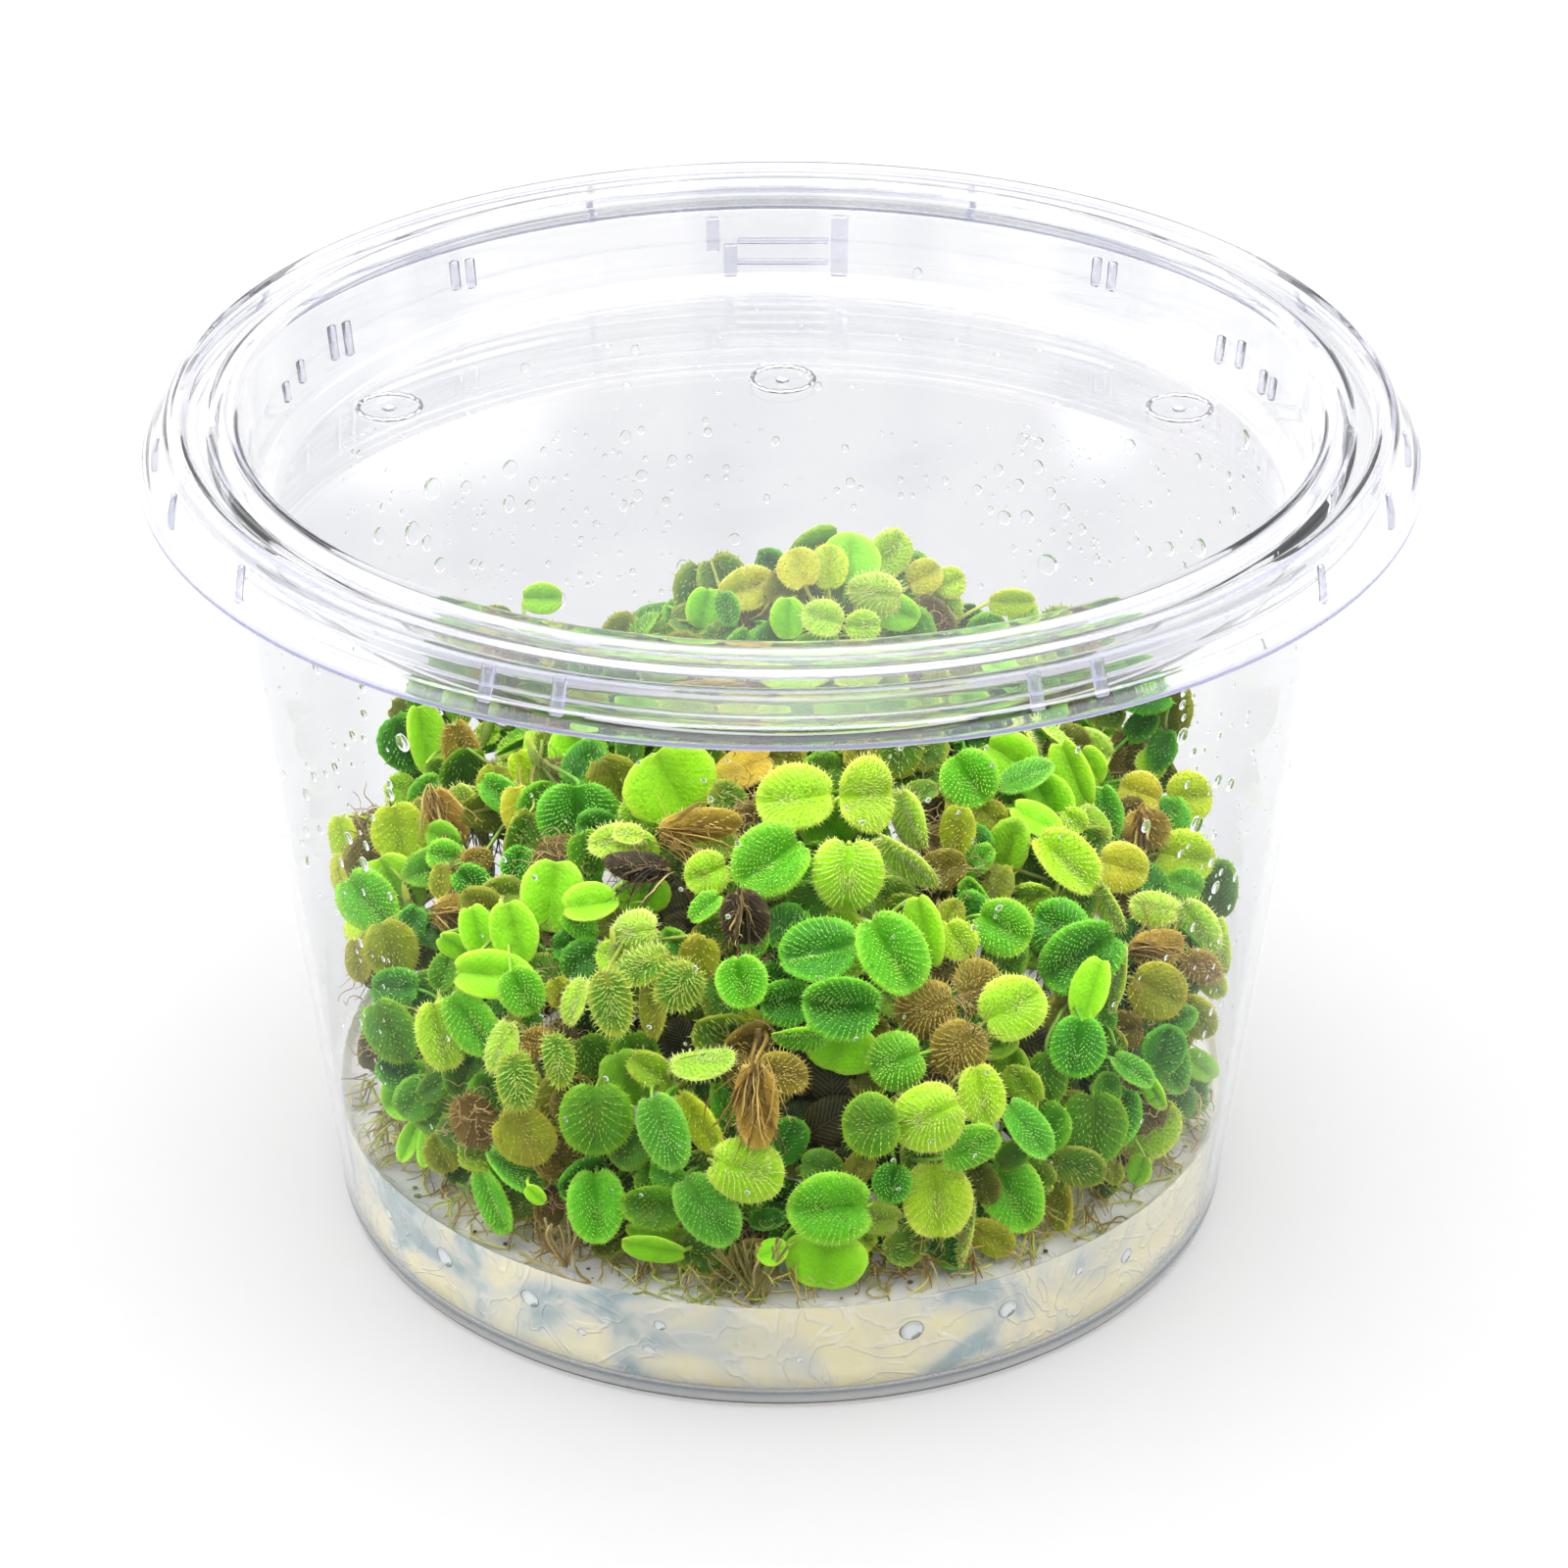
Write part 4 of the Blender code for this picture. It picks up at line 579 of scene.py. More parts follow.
class Blade:
    """The curved surface of one leaf: (u across, v along), both -1..1, to points in space."""

    def __init__(self, leaf, look, rng):
        self.c, self.m, self.s, self.n = arr(leaf.c), arr(leaf.m), arr(leaf.s), arr(leaf.n)
        self.hl, self.hw = leaf.length / 2, leaf.width / 2
        self.f = math.radians(leaf.fold)
        self.curl = math.radians(leaf.curl)
        self.look = look
        self.p = rng.uniform(0, 2 * math.pi, 8)
        self.notch = rng.uniform(0.14, 0.26)
        self.tip = rng.uniform(0.0, 0.06)
        self.lift = rng.uniform(-0.03, 0.03, 2)

    def outline(self, th):
        back = (math.pi - np.abs(th)) / 0.26
        front = th / 0.15
        return (1 - self.notch * np.exp(-back ** 2) - self.tip * np.exp(-front ** 2)
                + 0.016 * np.sin(3 * th + self.p[0]) + 0.010 * np.sin(5 * th + self.p[1]) + 0.006 * np.sin(9 * th + self.p[2]))

    def at(self, u, v):
        hw, hl, f, look = self.hw, self.hl, self.f, self.look
        au = np.abs(u)
        soft = np.sqrt(u * u + 0.0049) - 0.07
        r2 = u * u + v * v
        z = -hw / 4 * math.sin(f) + hw * math.sin(f) * 0.86 * soft * (1 - 0.22 * v * v)
        # each half is a low cushion, and a groove runs along the midrib
        z = z + look.puff * hw * (np.sin(np.pi * np.clip(au, 0, 1)) ** 0.9) * (1 - 0.5 * v * v)
        z = z - 1.15 * look.groove * hw * np.exp(-(u / 0.22) ** 2) * (1 - 0.55 * r2)
        z = z + hl * math.tan(self.curl * 0.62) * v * v + hw * math.tan(min(self.curl, 0.0) * 0.5) * u * u
        z = z - 0.05 * hw * np.clip(r2 - 0.72, 0, 1) / 0.28
        w = look.warp * hw
        z = z + w * r2 * np.sin(2 * np.arctan2(u, v) + self.p[3]) + 0.6 * w * r2 * np.sin(3 * np.arctan2(u, v) + self.p[4])
        z = z + self.lift[0] * hw * v + w * 0.5 * np.sin(3.1 * u + self.p[5]) * np.sin(2.7 * v + self.p[6])
        x = u * hw * max(math.cos(f), 0.35) ** 0.8
        y = v * hl * (1 - 0.10 * abs(math.sin(self.curl)))
        return self.c + np.multiply.outer(y, self.m) + np.multiply.outer(x, self.s) + np.multiply.outer(z, self.n)

    def frame(self, u, v):
        """Points, directions along the side and along the midrib, and outer normals."""
        e = 0.02
        du = (self.at(u + e, v) - self.at(u - e, v)) / (2 * e)
        dv = (self.at(u, v + e) - self.at(u, v - e)) / (2 * e)
        n = unit(np.cross(du, dv))
        n = n * np.sign(np.sum(n * self.n, axis=-1, keepdims=True) + 1e-9)
        return self.at(u, v), du, dv, n

    def colour(self, u, v, rng_shift, under=False):
        look = self.look
        r2 = np.clip(u * u + v * v, 0, 1.2)
        edge = np.clip((r2 - 0.55) / 0.45, 0, 1)[:, None] ** 1.5
        c = look.top * (1 - edge) + look.rim * edge
        # darker along the midrib: partly the leaf's own deeper green there, partly painted shade in the fold
        deep = np.exp(-(u / 0.30) ** 2)[:, None] * (1 - 0.6 * edge)
        c = c * (1 - 0.22 * deep)
        base = np.clip((-v - 0.35) / 0.5, 0, 1)[:, None] * np.exp(-(u / 0.5) ** 2)[:, None]
        c = c * (1 - 0.25 * base) + look.rim * 0.25 * base
        if look.stain:
            patch = 0.5 + 0.5 * np.sin(2.3 * u + self.p[5]) * np.sin(2.9 * v + self.p[6]) + 0.35 * np.sin(6.1 * u + self.p[7]) * np.sin(5.3 * v + self.p[3])
            patch = np.clip((patch - 0.45) * 1.6, 0, 1)[:, None] * look.stain
            c = c * (1 - patch) + look.stain_to * patch
        if under:
            c = c * 0.7 + look.rim * 0.3
        c = c * rng_shift
        c[:, 3] = 1.0
        return c


def hairs(piece, points, dirs, lengths, radius, colours, rng, bend=0.0, mat=1):
    """Fine tapering hairs, three-sided; long ones have a middle ring so that they bow."""
    k = len(points)
    if not k:
        return
    dirs = unit(dirs)
    ref = unit(rng.normal(size=(k, 3)))
    a = unit(np.cross(dirs, ref))
    b = np.cross(dirs, a)
    radius = np.broadcast_to(radius, (k,))
    rings = []
    for i in range(3):
        t = 2 * math.pi * i / 3
        rings.append(points + (a * math.cos(t) + b * math.sin(t)) * radius[:, None])
    base = np.stack(rings, 1)
    if bend:
        mid = points + dirs * (lengths * 0.5)[:, None] - a * (lengths * bend * 0.4)[:, None]
        tip = points + dirs * lengths[:, None] + a * (lengths * bend * 0.6)[:, None]
        ring = []
        for i in range(3):
            t = 2 * math.pi * i / 3
            ring.append(mid + (a * math.cos(t) + b * math.sin(t)) * (radius * 0.72)[:, None])
        verts = np.concatenate([base, np.stack(ring, 1), tip[:, None]], 1).reshape(-1, 3)
        o = np.arange(k)[:, None] * 7
        quads = np.concatenate([o + [0, 1, 4, 3], o + [1, 2, 5, 4], o + [2, 0, 3, 5]])
        tris = np.concatenate([o + [3, 4, 6], o + [4, 5, 6], o + [5, 3, 6], o + [2, 1, 0]])
        piece.add(verts, [quads, tris], np.repeat(colours, 7, 0), None, mat)
    else:
        tip = points + dirs * lengths[:, None]
        verts = np.concatenate([base, tip[:, None]], 1).reshape(-1, 3)
        o = np.arange(k)[:, None] * 4
        tris = np.concatenate([o + [0, 1, 3], o + [1, 2, 3], o + [2, 0, 3], o + [2, 1, 0]])
        piece.add(verts, [tris], np.repeat(colours, 4, 0), None, mat)


def vein_rows(blade, rng):
    """(u, v) points along the side veins of both halves, with the vein's direction there."""
    look = blade.look
    us, vs, du, dv = [], [], [], []
    count = max(3, int(round(1.14 * look.rows * min(1.15, 0.35 + blade.hw / 5.0))))
    for side in (1, -1):
        for k in range(count):
            psi = math.radians(9 + 160 * (k + 0.5 + rng.uniform(-0.12, 0.12)) / count)
            rim = float(blade.outline(np.array([psi * side]))[0]) * 0.965
            end = np.array([math.sin(psi) * rim, math.cos(psi) * rim])
            root = np.array([0.0, 0.22 - 1.02 * (psi / math.radians(170)) ** 0.8])
            turn = np.array([0.34 * end[0], root[1] + 0.58 * (end[1] - root[1])])
            n = 40
            t = np.linspace(0, 1, n)[:, None]
            way = (1 - t) ** 2 * root + 2 * t * (1 - t) * turn + t * t * end
            way[:, 0] += 0.010 * np.sin(9 * t[:, 0] + rng.uniform(0, 6))
            steps = np.linalg.norm(np.diff(way * [blade.hw, blade.hl], axis=0), axis=1)
            run = np.concatenate([[0], np.cumsum(steps)])
            first = look.start * blade.hw + rng.uniform(0, look.step)
            where = np.arange(first, run[-1], look.step * 0.92)
            if not len(where):
                continue
            where = np.clip(where + rng.normal(0, 0.05, len(where)), 0, run[-1] * 0.999)
            at_u = np.interp(where, run, way[:, 0])
            at_v = np.interp(where, run, way[:, 1])
            g = np.gradient(way, axis=0)
            us.append(side * at_u); vs.append(at_v)
            du.append(side * np.interp(where, run, g[:, 0])); dv.append(np.interp(where, run, g[:, 1]))
    if not us:
        z = np.zeros(0)
        return z, z, z, z
    return np.concatenate(us), np.concatenate(vs), np.concatenate(du), np.concatenate(dv)


def leaf_mesh(piece, leaf, rng, fine=True, shade=1.0, hair=1.0):
    """One leaf blade, closed, with its hairs and fringe."""
    look = LOOKS[leaf.look]
    blade = Blade(leaf, look, rng)
    middle = fine and shade < 0.9
    theta = MIDDLE if middle else THETA if fine else COARSE
    m = len(theta)
    R = blade.outline(theta)
    rings = [0.42, 0.78, 1.0] if middle else [0.30, 0.56, 0.80, 0.94, 1.0] if fine else [0.55, 1.0]
    low = [0.62] if fine else []
    thick = (0.30 if fine else 0.26) * (0.7 + 0.3 * min(1.0, blade.hw / 3.2))
    u = np.concatenate([[0.0]] + [np.sin(theta) * R * q for q in rings])
    v = np.concatenate([[0.0]] + [np.cos(theta) * R * q for q in rings])
    p, du, dv, n = blade.frame(u, v)
    out = unit(np.outer(np.sin(theta), unit(blade.s)) * 1.0 + np.outer(np.cos(theta), unit(blade.m)))
    top_n = len(u)
    last = p[-m:]
    # the rim is rounded: one ring stands out a little at half thickness
    edge = last + out * (0.05 if fine else 0.03) - n[-m:] * thick * 0.30
    under_rim = last - n[-m:] * thick * 0.62 - out * 0.02
    lu = [np.sin(theta) * R * q for q in low]
    lv = [np.cos(theta) * R * q for q in low]
    lu, lv = np.concatenate(lu + [[0.0]]), np.concatenate(lv + [[0.0]])
    lp, _, _, ln = blade.frame(lu, lv)
    lp = lp - ln * (thick * (1.0 - 0.25 * (lu ** 2 + lv ** 2)))[:, None]
    # shade scales down the colour of the leaf, its hairs and its fringe: painted shade for leaves that lie deep in the
    # heap
    jitter = np.array([1 + rng.normal(0, 0.05), 1 + rng.normal(0, 0.045), 1 + rng.normal(0, 0.08), 1.0]) * shade
    c_top = blade.colour(u, v, jitter)
    c_rim = blade.colour(u[-m:], v[-m:], jitter) * 0.55 + np.minimum(look.rim * jitter * 1.12, 1.0) * 0.45
    c_low = blade.colour(lu, lv, jitter, under=True)
    verts = np.concatenate([p, edge, under_rim, lp])
    cols = np.concatenate([c_top, c_rim, c_rim, c_low])
    uv_t = np.stack([u, v], 1) * 0.5 + 0.5
    uv_l = np.stack([lu, lv], 1) * 0.5 + 0.5
    uvs = np.concatenate([uv_t, uv_t[-m:], uv_t[-m:], uv_l])
    i = np.arange(m)
    j = (i + 1) % m
    quads, tris = [], []
    tris.append(np.stack([np.zeros(m, int), 1 + j, 1 + i], 1))
    starts = [1 + m * k for k in range(len(rings))] + [top_n, top_n + m] + [top_n + 2 * m + m * k for k in range(len(low))]
    for a, b in zip(starts[:-1], starts[1:]):
        quads.append(np.stack([a + i, a + j, b + j, b + i], 1))
    centre = len(verts) - 1
    tris.append(np.stack([np.full(m, centre), starts[-1] + i, starts[-1] + j], 1))
    # the side direction may be left or right handed; faces are turned so that they look out
    if np.dot(np.cross(blade.s, blade.m), blade.n) < 0:
        quads = [q[:, ::-1] for q in quads]
        tris = [t[:, ::-1] for t in tris]
    piece.add(verts, [np.concatenate(quads), np.concatenate(tris)], cols, uvs, 0)
    if hair <= 0:
        return blade
    if middle:
        hair = hair * (0.6 if shade > 0.7 else 0.35)
    big = look.length >= 0.7 and not middle
    if look.rows and fine:
        hu, hv, hdu, hdv = vein_rows(blade, rng)
        if len(hu):
            if hair < 1:
                keep = rng.random(len(hu)) < hair
                hu, hv, hdu, hdv = hu[keep], hv[keep], hdu[keep], hdv[keep]
            hp, hx, hy, hn = blade.frame(hu, hv)
            along = unit(hx * hdu[:, None] + hy * hdv[:, None])
            k = len(hu)
            d = hn + along * look.lie + rng.normal(0, 0.16, (k, 3))
            ln_ = look.length * rng.uniform(0.75, 1.25, k) * (0.55 + 0.45 * min(1, blade.hw / 2.8))
            rr = look.thick * rng.uniform(0.8, 1.15, k)
            cc = look.hair * rng.uniform(0.86, 1.1, (k, 1)) * (0.6 + 0.4 * shade)
            cc = np.clip(cc, 0, 1)
            cc[:, 3] = 1
            hairs(piece, hp - hn * 0.05, d, ln_, rr, cc, rng, bend=0.22 if big else 0.0)
    if look.fringe and (fine or hair >= 1):
        gap = 0.33 if fine else 0.7
        ring = 2 * math.pi * (blade.hw + blade.hl) / 2
        k = max(12, int(ring / gap * hair))
        th = (np.arange(k) + rng.uniform(-0.25, 0.25, k)) / k * 2 * math.pi - math.pi
        R = blade.outline(th) * 0.99
        fu, fv = np.sin(th) * R, np.cos(th) * R
        fp, fx, fy, fn = blade.frame(fu, fv)
        d = unit(fx * np.sin(th)[:, None] / blade.hw + fy * np.cos(th)[:, None] / blade.hl) + fn * rng.uniform(0.05, 0.6, (k, 1)) + rng.normal(0, 0.12, (k, 3))
        ln_ = look.fringe * rng.uniform(0.7, 1.25, k) * (0.55 + 0.45 * min(1, blade.hw / 2.8))
        cc = (look.hair * 0.75 + look.rim * 0.25) * rng.uniform(0.88, 1.1, (k, 1)) * (0.6 + 0.4 * shade)
        cc = np.clip(cc, 0, 1)
        cc[:, 3] = 1
        hairs(piece, fp - fn * thick * 0.25, d, ln_, look.thick * 0.8, cc, rng, bend=0.2 if look.fringe > 0.63 and not middle else 0.0)
    return blade


# ---------------------------------------------------------------- stalks, stems and threads
def tube(piece, path, radii, colour, sides=5, mat=2, flat=1.0):
    """A closed tube along a path, with rounded-off ends."""
    path = np.asarray(path, float)
    n = len(path)
    radii = np.broadcast_to(np.asarray(radii, float), (n,))
    tan = unit(np.gradient(path, axis=0))
    ref = np.array([0.31, 0.52, 0.79])
    if abs(np.dot(ref, tan[0])) > 0.9:
        ref = np.array([0.9, -0.3, 0.1])
    a = unit(np.cross(tan[0], ref))
    verts = []
    for i in range(n):
        a = unit(a - tan[i] * np.dot(a, tan[i]))
        b = np.cross(tan[i], a)
        t = 2 * math.pi * np.arange(sides) / sides
        verts.append(path[i] + (np.outer(np.cos(t), a) + np.outer(np.sin(t), b) * flat) * radii[i])
    verts = np.concatenate(verts + [[path[0] - tan[0] * radii[0] * 0.5], [path[-1] + tan[-1] * radii[-1] * 0.5]])
    i = np.arange(sides)
    j = (i + 1) % sides
    quads = np.concatenate([np.stack([k * sides + i, k * sides + j, (k + 1) * sides + j, (k + 1) * sides + i], 1) for k in range(n - 1)])
    e = n * sides
    tris = np.concatenate([np.stack([np.full(sides, e), j, i], 1), np.stack([np.full(sides, e + 1), (n - 1) * sides + i, (n - 1) * sides + j], 1)])
    if np.ndim(colour) == 2:
        colour = np.concatenate([np.repeat(colour, sides, 0), colour[:1], colour[-1:]])
    piece.add(verts, [quads, tris], colour, None, mat)


def bent(a, b, pull_a, pull_b, n=7):
    """Points on a smooth curve from a to b that leaves along pull_a and arrives along pull_b."""
    t = np.linspace(0, 1, n)[:, None]
    return (1 - t) ** 3 * a + 3 * t * (1 - t) ** 2 * (a + pull_a) + 3 * t * t * (1 - t) * (b - pull_b) + t ** 3 * b


def keep_in(path, low=None):
    """The path pushed inside the cup and above the gel, where it then runs along the gel."""
    low = GEL_TOP + 0.12 if low is None else low
    path = path.copy()
    path[:, 2] = np.maximum(path[:, 2], low)
    r = np.hypot(path[:, 0], path[:, 1])
    most = BASE_R + (WALL_R - BASE_R) * path[:, 2] / WALL_H - WALL_T - 0.35
    k = np.where(r > most, most / np.maximum(r, 1e-6), 1.0)
    path[:, 0] *= k
    path[:, 1] *= k
    return path


def wander(start, way, length, rng, n=8, wave=0.22, droop=0.35):
    """A thread that starts along way and strays, drawn down by its weight."""
    step = length / (n - 1)
    pts = [np.asarray(start, float)]
    d = unit(np.asarray(way, float))
    for _ in range(n - 1):
        d = unit(d + rng.normal(0, wave, 3) + np.array([0, 0, -droop * 0.3]))
        pts.append(pts[-1] + d * step)
    return np.array(pts)


ROOT_TONES = [lin(138, 98, 48), lin(166, 142, 84), lin(112, 112, 46), lin(186, 164, 108), lin(96, 62, 28), lin(150, 156, 70)]


def root_tuft(piece, start, way, length, rng, count=14, spread=0.45, tones=None, radius=0.085):
    """Root-like hanging leaves: a brush of fine branching threads."""
    tones = tones or ROOT_TONES
    way = unit(np.asarray(way, float))
    for _ in range(count):
        d = unit(way + rng.normal(0, spread, 3))
        s = np.asarray(start, float) + rng.normal(0, 0.35, 3)
        ln_ = length * rng.uniform(0.55, 1.15)
        n = 6
        path = keep_in(wander(s, d, ln_, rng, n))
        tone = tones[int(rng.integers(len(tones)))] * rng.uniform(0.75, 1.15)
        tone[3] = 1
        tube(piece, path, np.linspace(radius, radius * 0.45, n), tone, 3)
        if rng.random() < 0.4:
            k = int(rng.integers(2, 4))
            side = keep_in(wander(path[k], d + rng.normal(0, 0.7, 3), ln_ * 0.4, rng, 4))
            tube(piece, side, np.linspace(radius * 0.7, radius * 0.35, 4), tone, 3)


def curl_thread(start, way, length, rng, turns=1.5, size=0.4, n=14):
    """A curly thread."""
    way = unit(np.asarray(way, float))
    ref = unit(np.cross(way, unit(rng.normal(size=3))))
    oth = np.cross(way, ref)
    t = np.linspace(0, 1, n)
    ph = rng.uniform(0, 6.28)
    grow = size * (0.3 + 0.7 * t)
    return (np.asarray(start, float) + np.outer(t * length, way)
            + np.outer(np.cos(2 * math.pi * turns * t + ph) * grow, ref) + np.outer(np.sin(2 * math.pi * turns * t + ph) * grow, oth))


# ---------------------------------------------------------------- plantlets
def picture_place(p):
    """Where a point falls in the picture plane."""
    d = p - EYE
    k = VIEW_SCALE / d.dot(AHEAD)
    return VIEW_X0 + k * d.dot(ACROSS), VIEW_Y0 - k * d.dot(ABOVE)


def hidden(p, margin=3.0):
    """True behind the skin of the heap as seen from the front."""
    px, py = picture_place(p)
    return (p - EYE).length > on_heap(px, py) + margin


# places (x, y, radius in the picture plane) where daylight shows through the heap
OPENINGS = [(511, 759, 24), (500, 860, 15), (540, 745, 10)]
CAVES = [(848, 1142, 34), (832, 1106, 26), (696, 1058, 18), (1045, 1060, 14), (606, 1076, 14), (690, 938, 12), (560, 610, 30), (905, 1176, 16)]


def in_cave(px, py, more=0.0):
    return any(math.hypot(px - x, py - y) < r + more for x, y, r in CAVES)


def in_opening(p, extra=14.0):
    px, py = picture_place(p)
    return any(math.hypot(px - x, py - y) < r + extra for x, y, r in OPENINGS)


def fit_row(row, own, shapes):
    """A further leaf of a plantlet, moved along its line of sight until it clears the others."""
    t0 = on_heap(row[0], row[1]) - row[10]
    for scale in (1.0, 0.9):
        for k in range(0, 26):
            step = (0.35 * ((k + 1) // 2)) * (1 if k % 2 else -1)
            leaf = seen_leaf(row, t0 - step, scale)
            grown = leaf.plate(-0.14)
            if not inside_cup(grown[0]):
                continue
            probe = Shape(grown)
            if any(probe.hits(s) for _, s in shapes):
                continue
            return leaf
    for step in (2.0, 3.5, 5.0, 0.0):
        leaf = seen_leaf(row, t0 + step, 0.85)
        if inside_cup(leaf.plate(-0.14)[0]):
            return leaf
    return None


def skin_leaf(centre, n0, turn, lean, length, width, fold, curl, look, out, lift):
    u = n0.cross(Vector((0.0, 0.0, 1.0)))
    u = u.normalized() if u.length > 0.05 else Vector((1.0, 0.0, 0.0))
    m = turned(u, n0, turn)
    s = m.cross(n0)
    m, n = m * math.cos(lean) - n0 * math.sin(lean), n0 * math.cos(lean) + m * math.sin(lean)
    return Leaf(centre + m * out + n0 * lift, m, s, n, length, width, fold, curl, look)


def rear_groups(shapes, most):
    """More plantlets over the parts of the heap that face the sides and the back."""
    found = []
    for k in range(1500):
        if len(found) >= most:
            break
        bearing = 2 * math.pi * golden(k * 3 + 5)
        reach = 0.25 + 0.75 * math.sqrt(golden(k * 7 + 2))
        x, y = math.cos(bearing) * 41.0 * reach, 3.0 + math.sin(bearing) * 36.0 * reach
        z = heap_height(x, y) - 0.8
        if z < GEL_TOP + 1.5:
            continue
        centre = Vector((x, y, z))
        if math.hypot(x, y) > wall_radius(z) - 2.2 or not hidden(centre, 2.0):
            continue
        if any((centre - g[0]).length < 5.5 for g in found):
            continue
        n0 = heap_normal(x, y)
        leaves = []
        for i in range(26):
            lean = math.radians(-22 + 52 * golden(i * 11 + k * 2))
            length = 4.6 + 3.0 * golden(i * 3 + k * 5)
            leaf = skin_leaf(centre, n0, 2 * math.pi * golden(i * 5 + k), lean, length,
                             length * (0.80 + 0.26 * golden(i * 17 + k)), 4 + 30 * golden(i * 19 + k) ** 2,
                             22 * golden(i * 23 + k * 3) - 12, 'sgymdlghotYs'[(i * 5 + k) % 12],
                             2.4 + 5.6 * golden(i * 9 + k * 4), 2.6 * golden(i * 13 + k) - 1.6)
            if not hidden(leaf.c, 1.5) or not inside_cup(leaf.plate(0.05)[0]) or in_opening(leaf.c, 4.0) or stands_out(leaf):
                continue
            probe = Shape(leaf.plate(-0.10))
            if any(probe.hits(sh) for _, sh in shapes):
                continue
            leaves.append(leaf)
            shapes.append((1000 + k, Shape(leaf.plate(-0.10))))
            if len(leaves) == 6:
                break
        if leaves:
            found.append((centre, n0, leaves))
    return found


OUTLINE = [(352, 800), (400, 745), (432, 700), (450, 655), (528, 604), (572, 604), (588, 640), (660, 640), (690, 608), (735, 585), (800, 556), (862, 540),
           (905, 541), (940, 568), (972, 588), (988, 632), (1012, 640), (1024, 606), (1050, 602), (1064, 640), (1132, 650), (1190, 690), (1214, 765),
           (1244, 800), (1254, 870), (1250, 960), (1238, 1050), (1200, 1165), (1160, 1228), (1080, 1262), (1000, 1286),
           (930, 1308), (840, 1312), (770, 1296), (700, 1276), (600, 1266), (520, 1246), (484, 1190), (430, 1180),
           (392, 1120), (370, 1020), (342, 950), (334, 860)]


def in_outline(px, py):
    """True inside the outline of the heap in the picture plane."""
    inside = False
    for (x0, y0), (x1, y1) in zip(OUTLINE, OUTLINE[1:] + OUTLINE[:1]):
        if (y0 > py) != (y1 > py) and px < x0 + (x1 - x0) * (py - y0) / (y1 - y0):
            inside = not inside
    return inside


def stands_out(leaf):
    """True where a leaf of the far side would show above the heap's outline."""
    px, py = picture_place(leaf.c)
    return not in_outline(px, py - 6.5 * leaf.length * 0.6) or not in_outline(px, py)


def front_fill(shapes, entries):
    """Smaller leaves behind the ones of the rows, wherever a line of sight would run on into the heap."""
    k = 0
    for deeper in (2.2, 4.2):
        for j in range(34):
            for i in range(40):
                k += 1
                px = 326 + i * 24 + 9 * math.sin(k * 2.4) + (12 if j % 2 else 0)
                py = 548 + j * 23 + 9 * math.sin(k * 1.7)
                if not in_outline(px, py) or any(math.hypot(px - x, py - y) < r + 12 for x, y, r in OPENINGS) or in_cave(px, py, 14.0):
                    continue
                d = sight(px, py)
                t0 = on_heap(px, py)
                near = None
                for _, sh in shapes:
                    hit = sh.tree.ray_cast(EYE, d)
                    if hit[0] is not None and (near is None or hit[3] < near):
                        near = hit[3]
                if near is not None and near < t0 + deeper + 1.2:
                    continue
                g = [golden(k * q) for q in (3, 5, 7, 11, 13, 17, 19)]
                size = 36 + 26 * g[0] + 6 * (deeper > 2)
                row = (px, py, 360 * g[1], size, size * (0.66 + 0.3 * g[2]), 50 * g[3] - 18, 70 * g[4] - 35, 6 + 34 * g[5] ** 2,
                       20 * g[6] - 8, 'gmsodbghoymgdFhl'[(k * 7) % 16], 0)
                for step in (0.0, 0.6, 1.2, -0.6, 1.8, 2.4, 3.2, 4.0):
                    leaf = seen_leaf(row, t0 + deeper + step)
                    if not inside_cup(leaf.plate(-0.05)[0]):
                        continue
                    probe = Shape(leaf.plate(-0.13))
                    if any(probe.hits(sh) for _, sh in shapes):
                        continue
                    entry = min(entries, key=lambda e: (e[4] - leaf.base()).length)
                    # painted shade: fill leaves are coloured darker, the deeper layer more so
                    leaf.shade = 0.66 if deeper < 3 else 0.38
                    entry[3].append(leaf)
                    shapes.append((entry[0], probe))
                    break


def cave_backs(shapes):
    """Brown and dark green leaves deep in the hollows, seen between the leaves in front; their depth gives them painted
    shade nearly to black.
    """
    out = []
    for n, (x, y, r) in enumerate(CAVES):
        if y < 700:
            continue
        k = 0
        for ring, many in ((0.0, 1), (0.62, 6), (1.15, 8)):
            for i in range(many):
                k += 1
                a = 2 * math.pi * (i / many + 0.13 * n)
                px, py = x + ring * (r + 8) * math.cos(a), y + ring * (r + 8) * math.sin(a)
                size = 44 + 20 * golden(k * 3 + n)
                row = (px, py, 360 * golden(k * 5 + n), size, size * 0.85, 20 * golden(k * 7) - 10, 40 * golden(k * 11 + n) - 20,
                       24 * golden(k * 13) - 4, 0, 'b' if k % 3 else 'm', 0)
                t0 = on_heap(px, py)
                for step in (4.6, 5.4, 6.4, 7.6, 9.0, 10.5, 12.0, 14.0):
                    leaf = seen_leaf(row, t0 + step)
                    if not inside_cup(leaf.plate(-0.05)[0]) or leaf.c.z < GEL_TOP + 1.5:
                        continue
                    probe = Shape(leaf.plate(-0.22))
                    if any(probe.hits(sh) for _, sh in shapes):
                        continue
                    shapes.append((4000 + 100 * n + k, probe))
                    # 8.3 mm deep: build() turns this depth into painted shade, nearly black
                    out.append((leaf, 8.3))
                    break
    return out


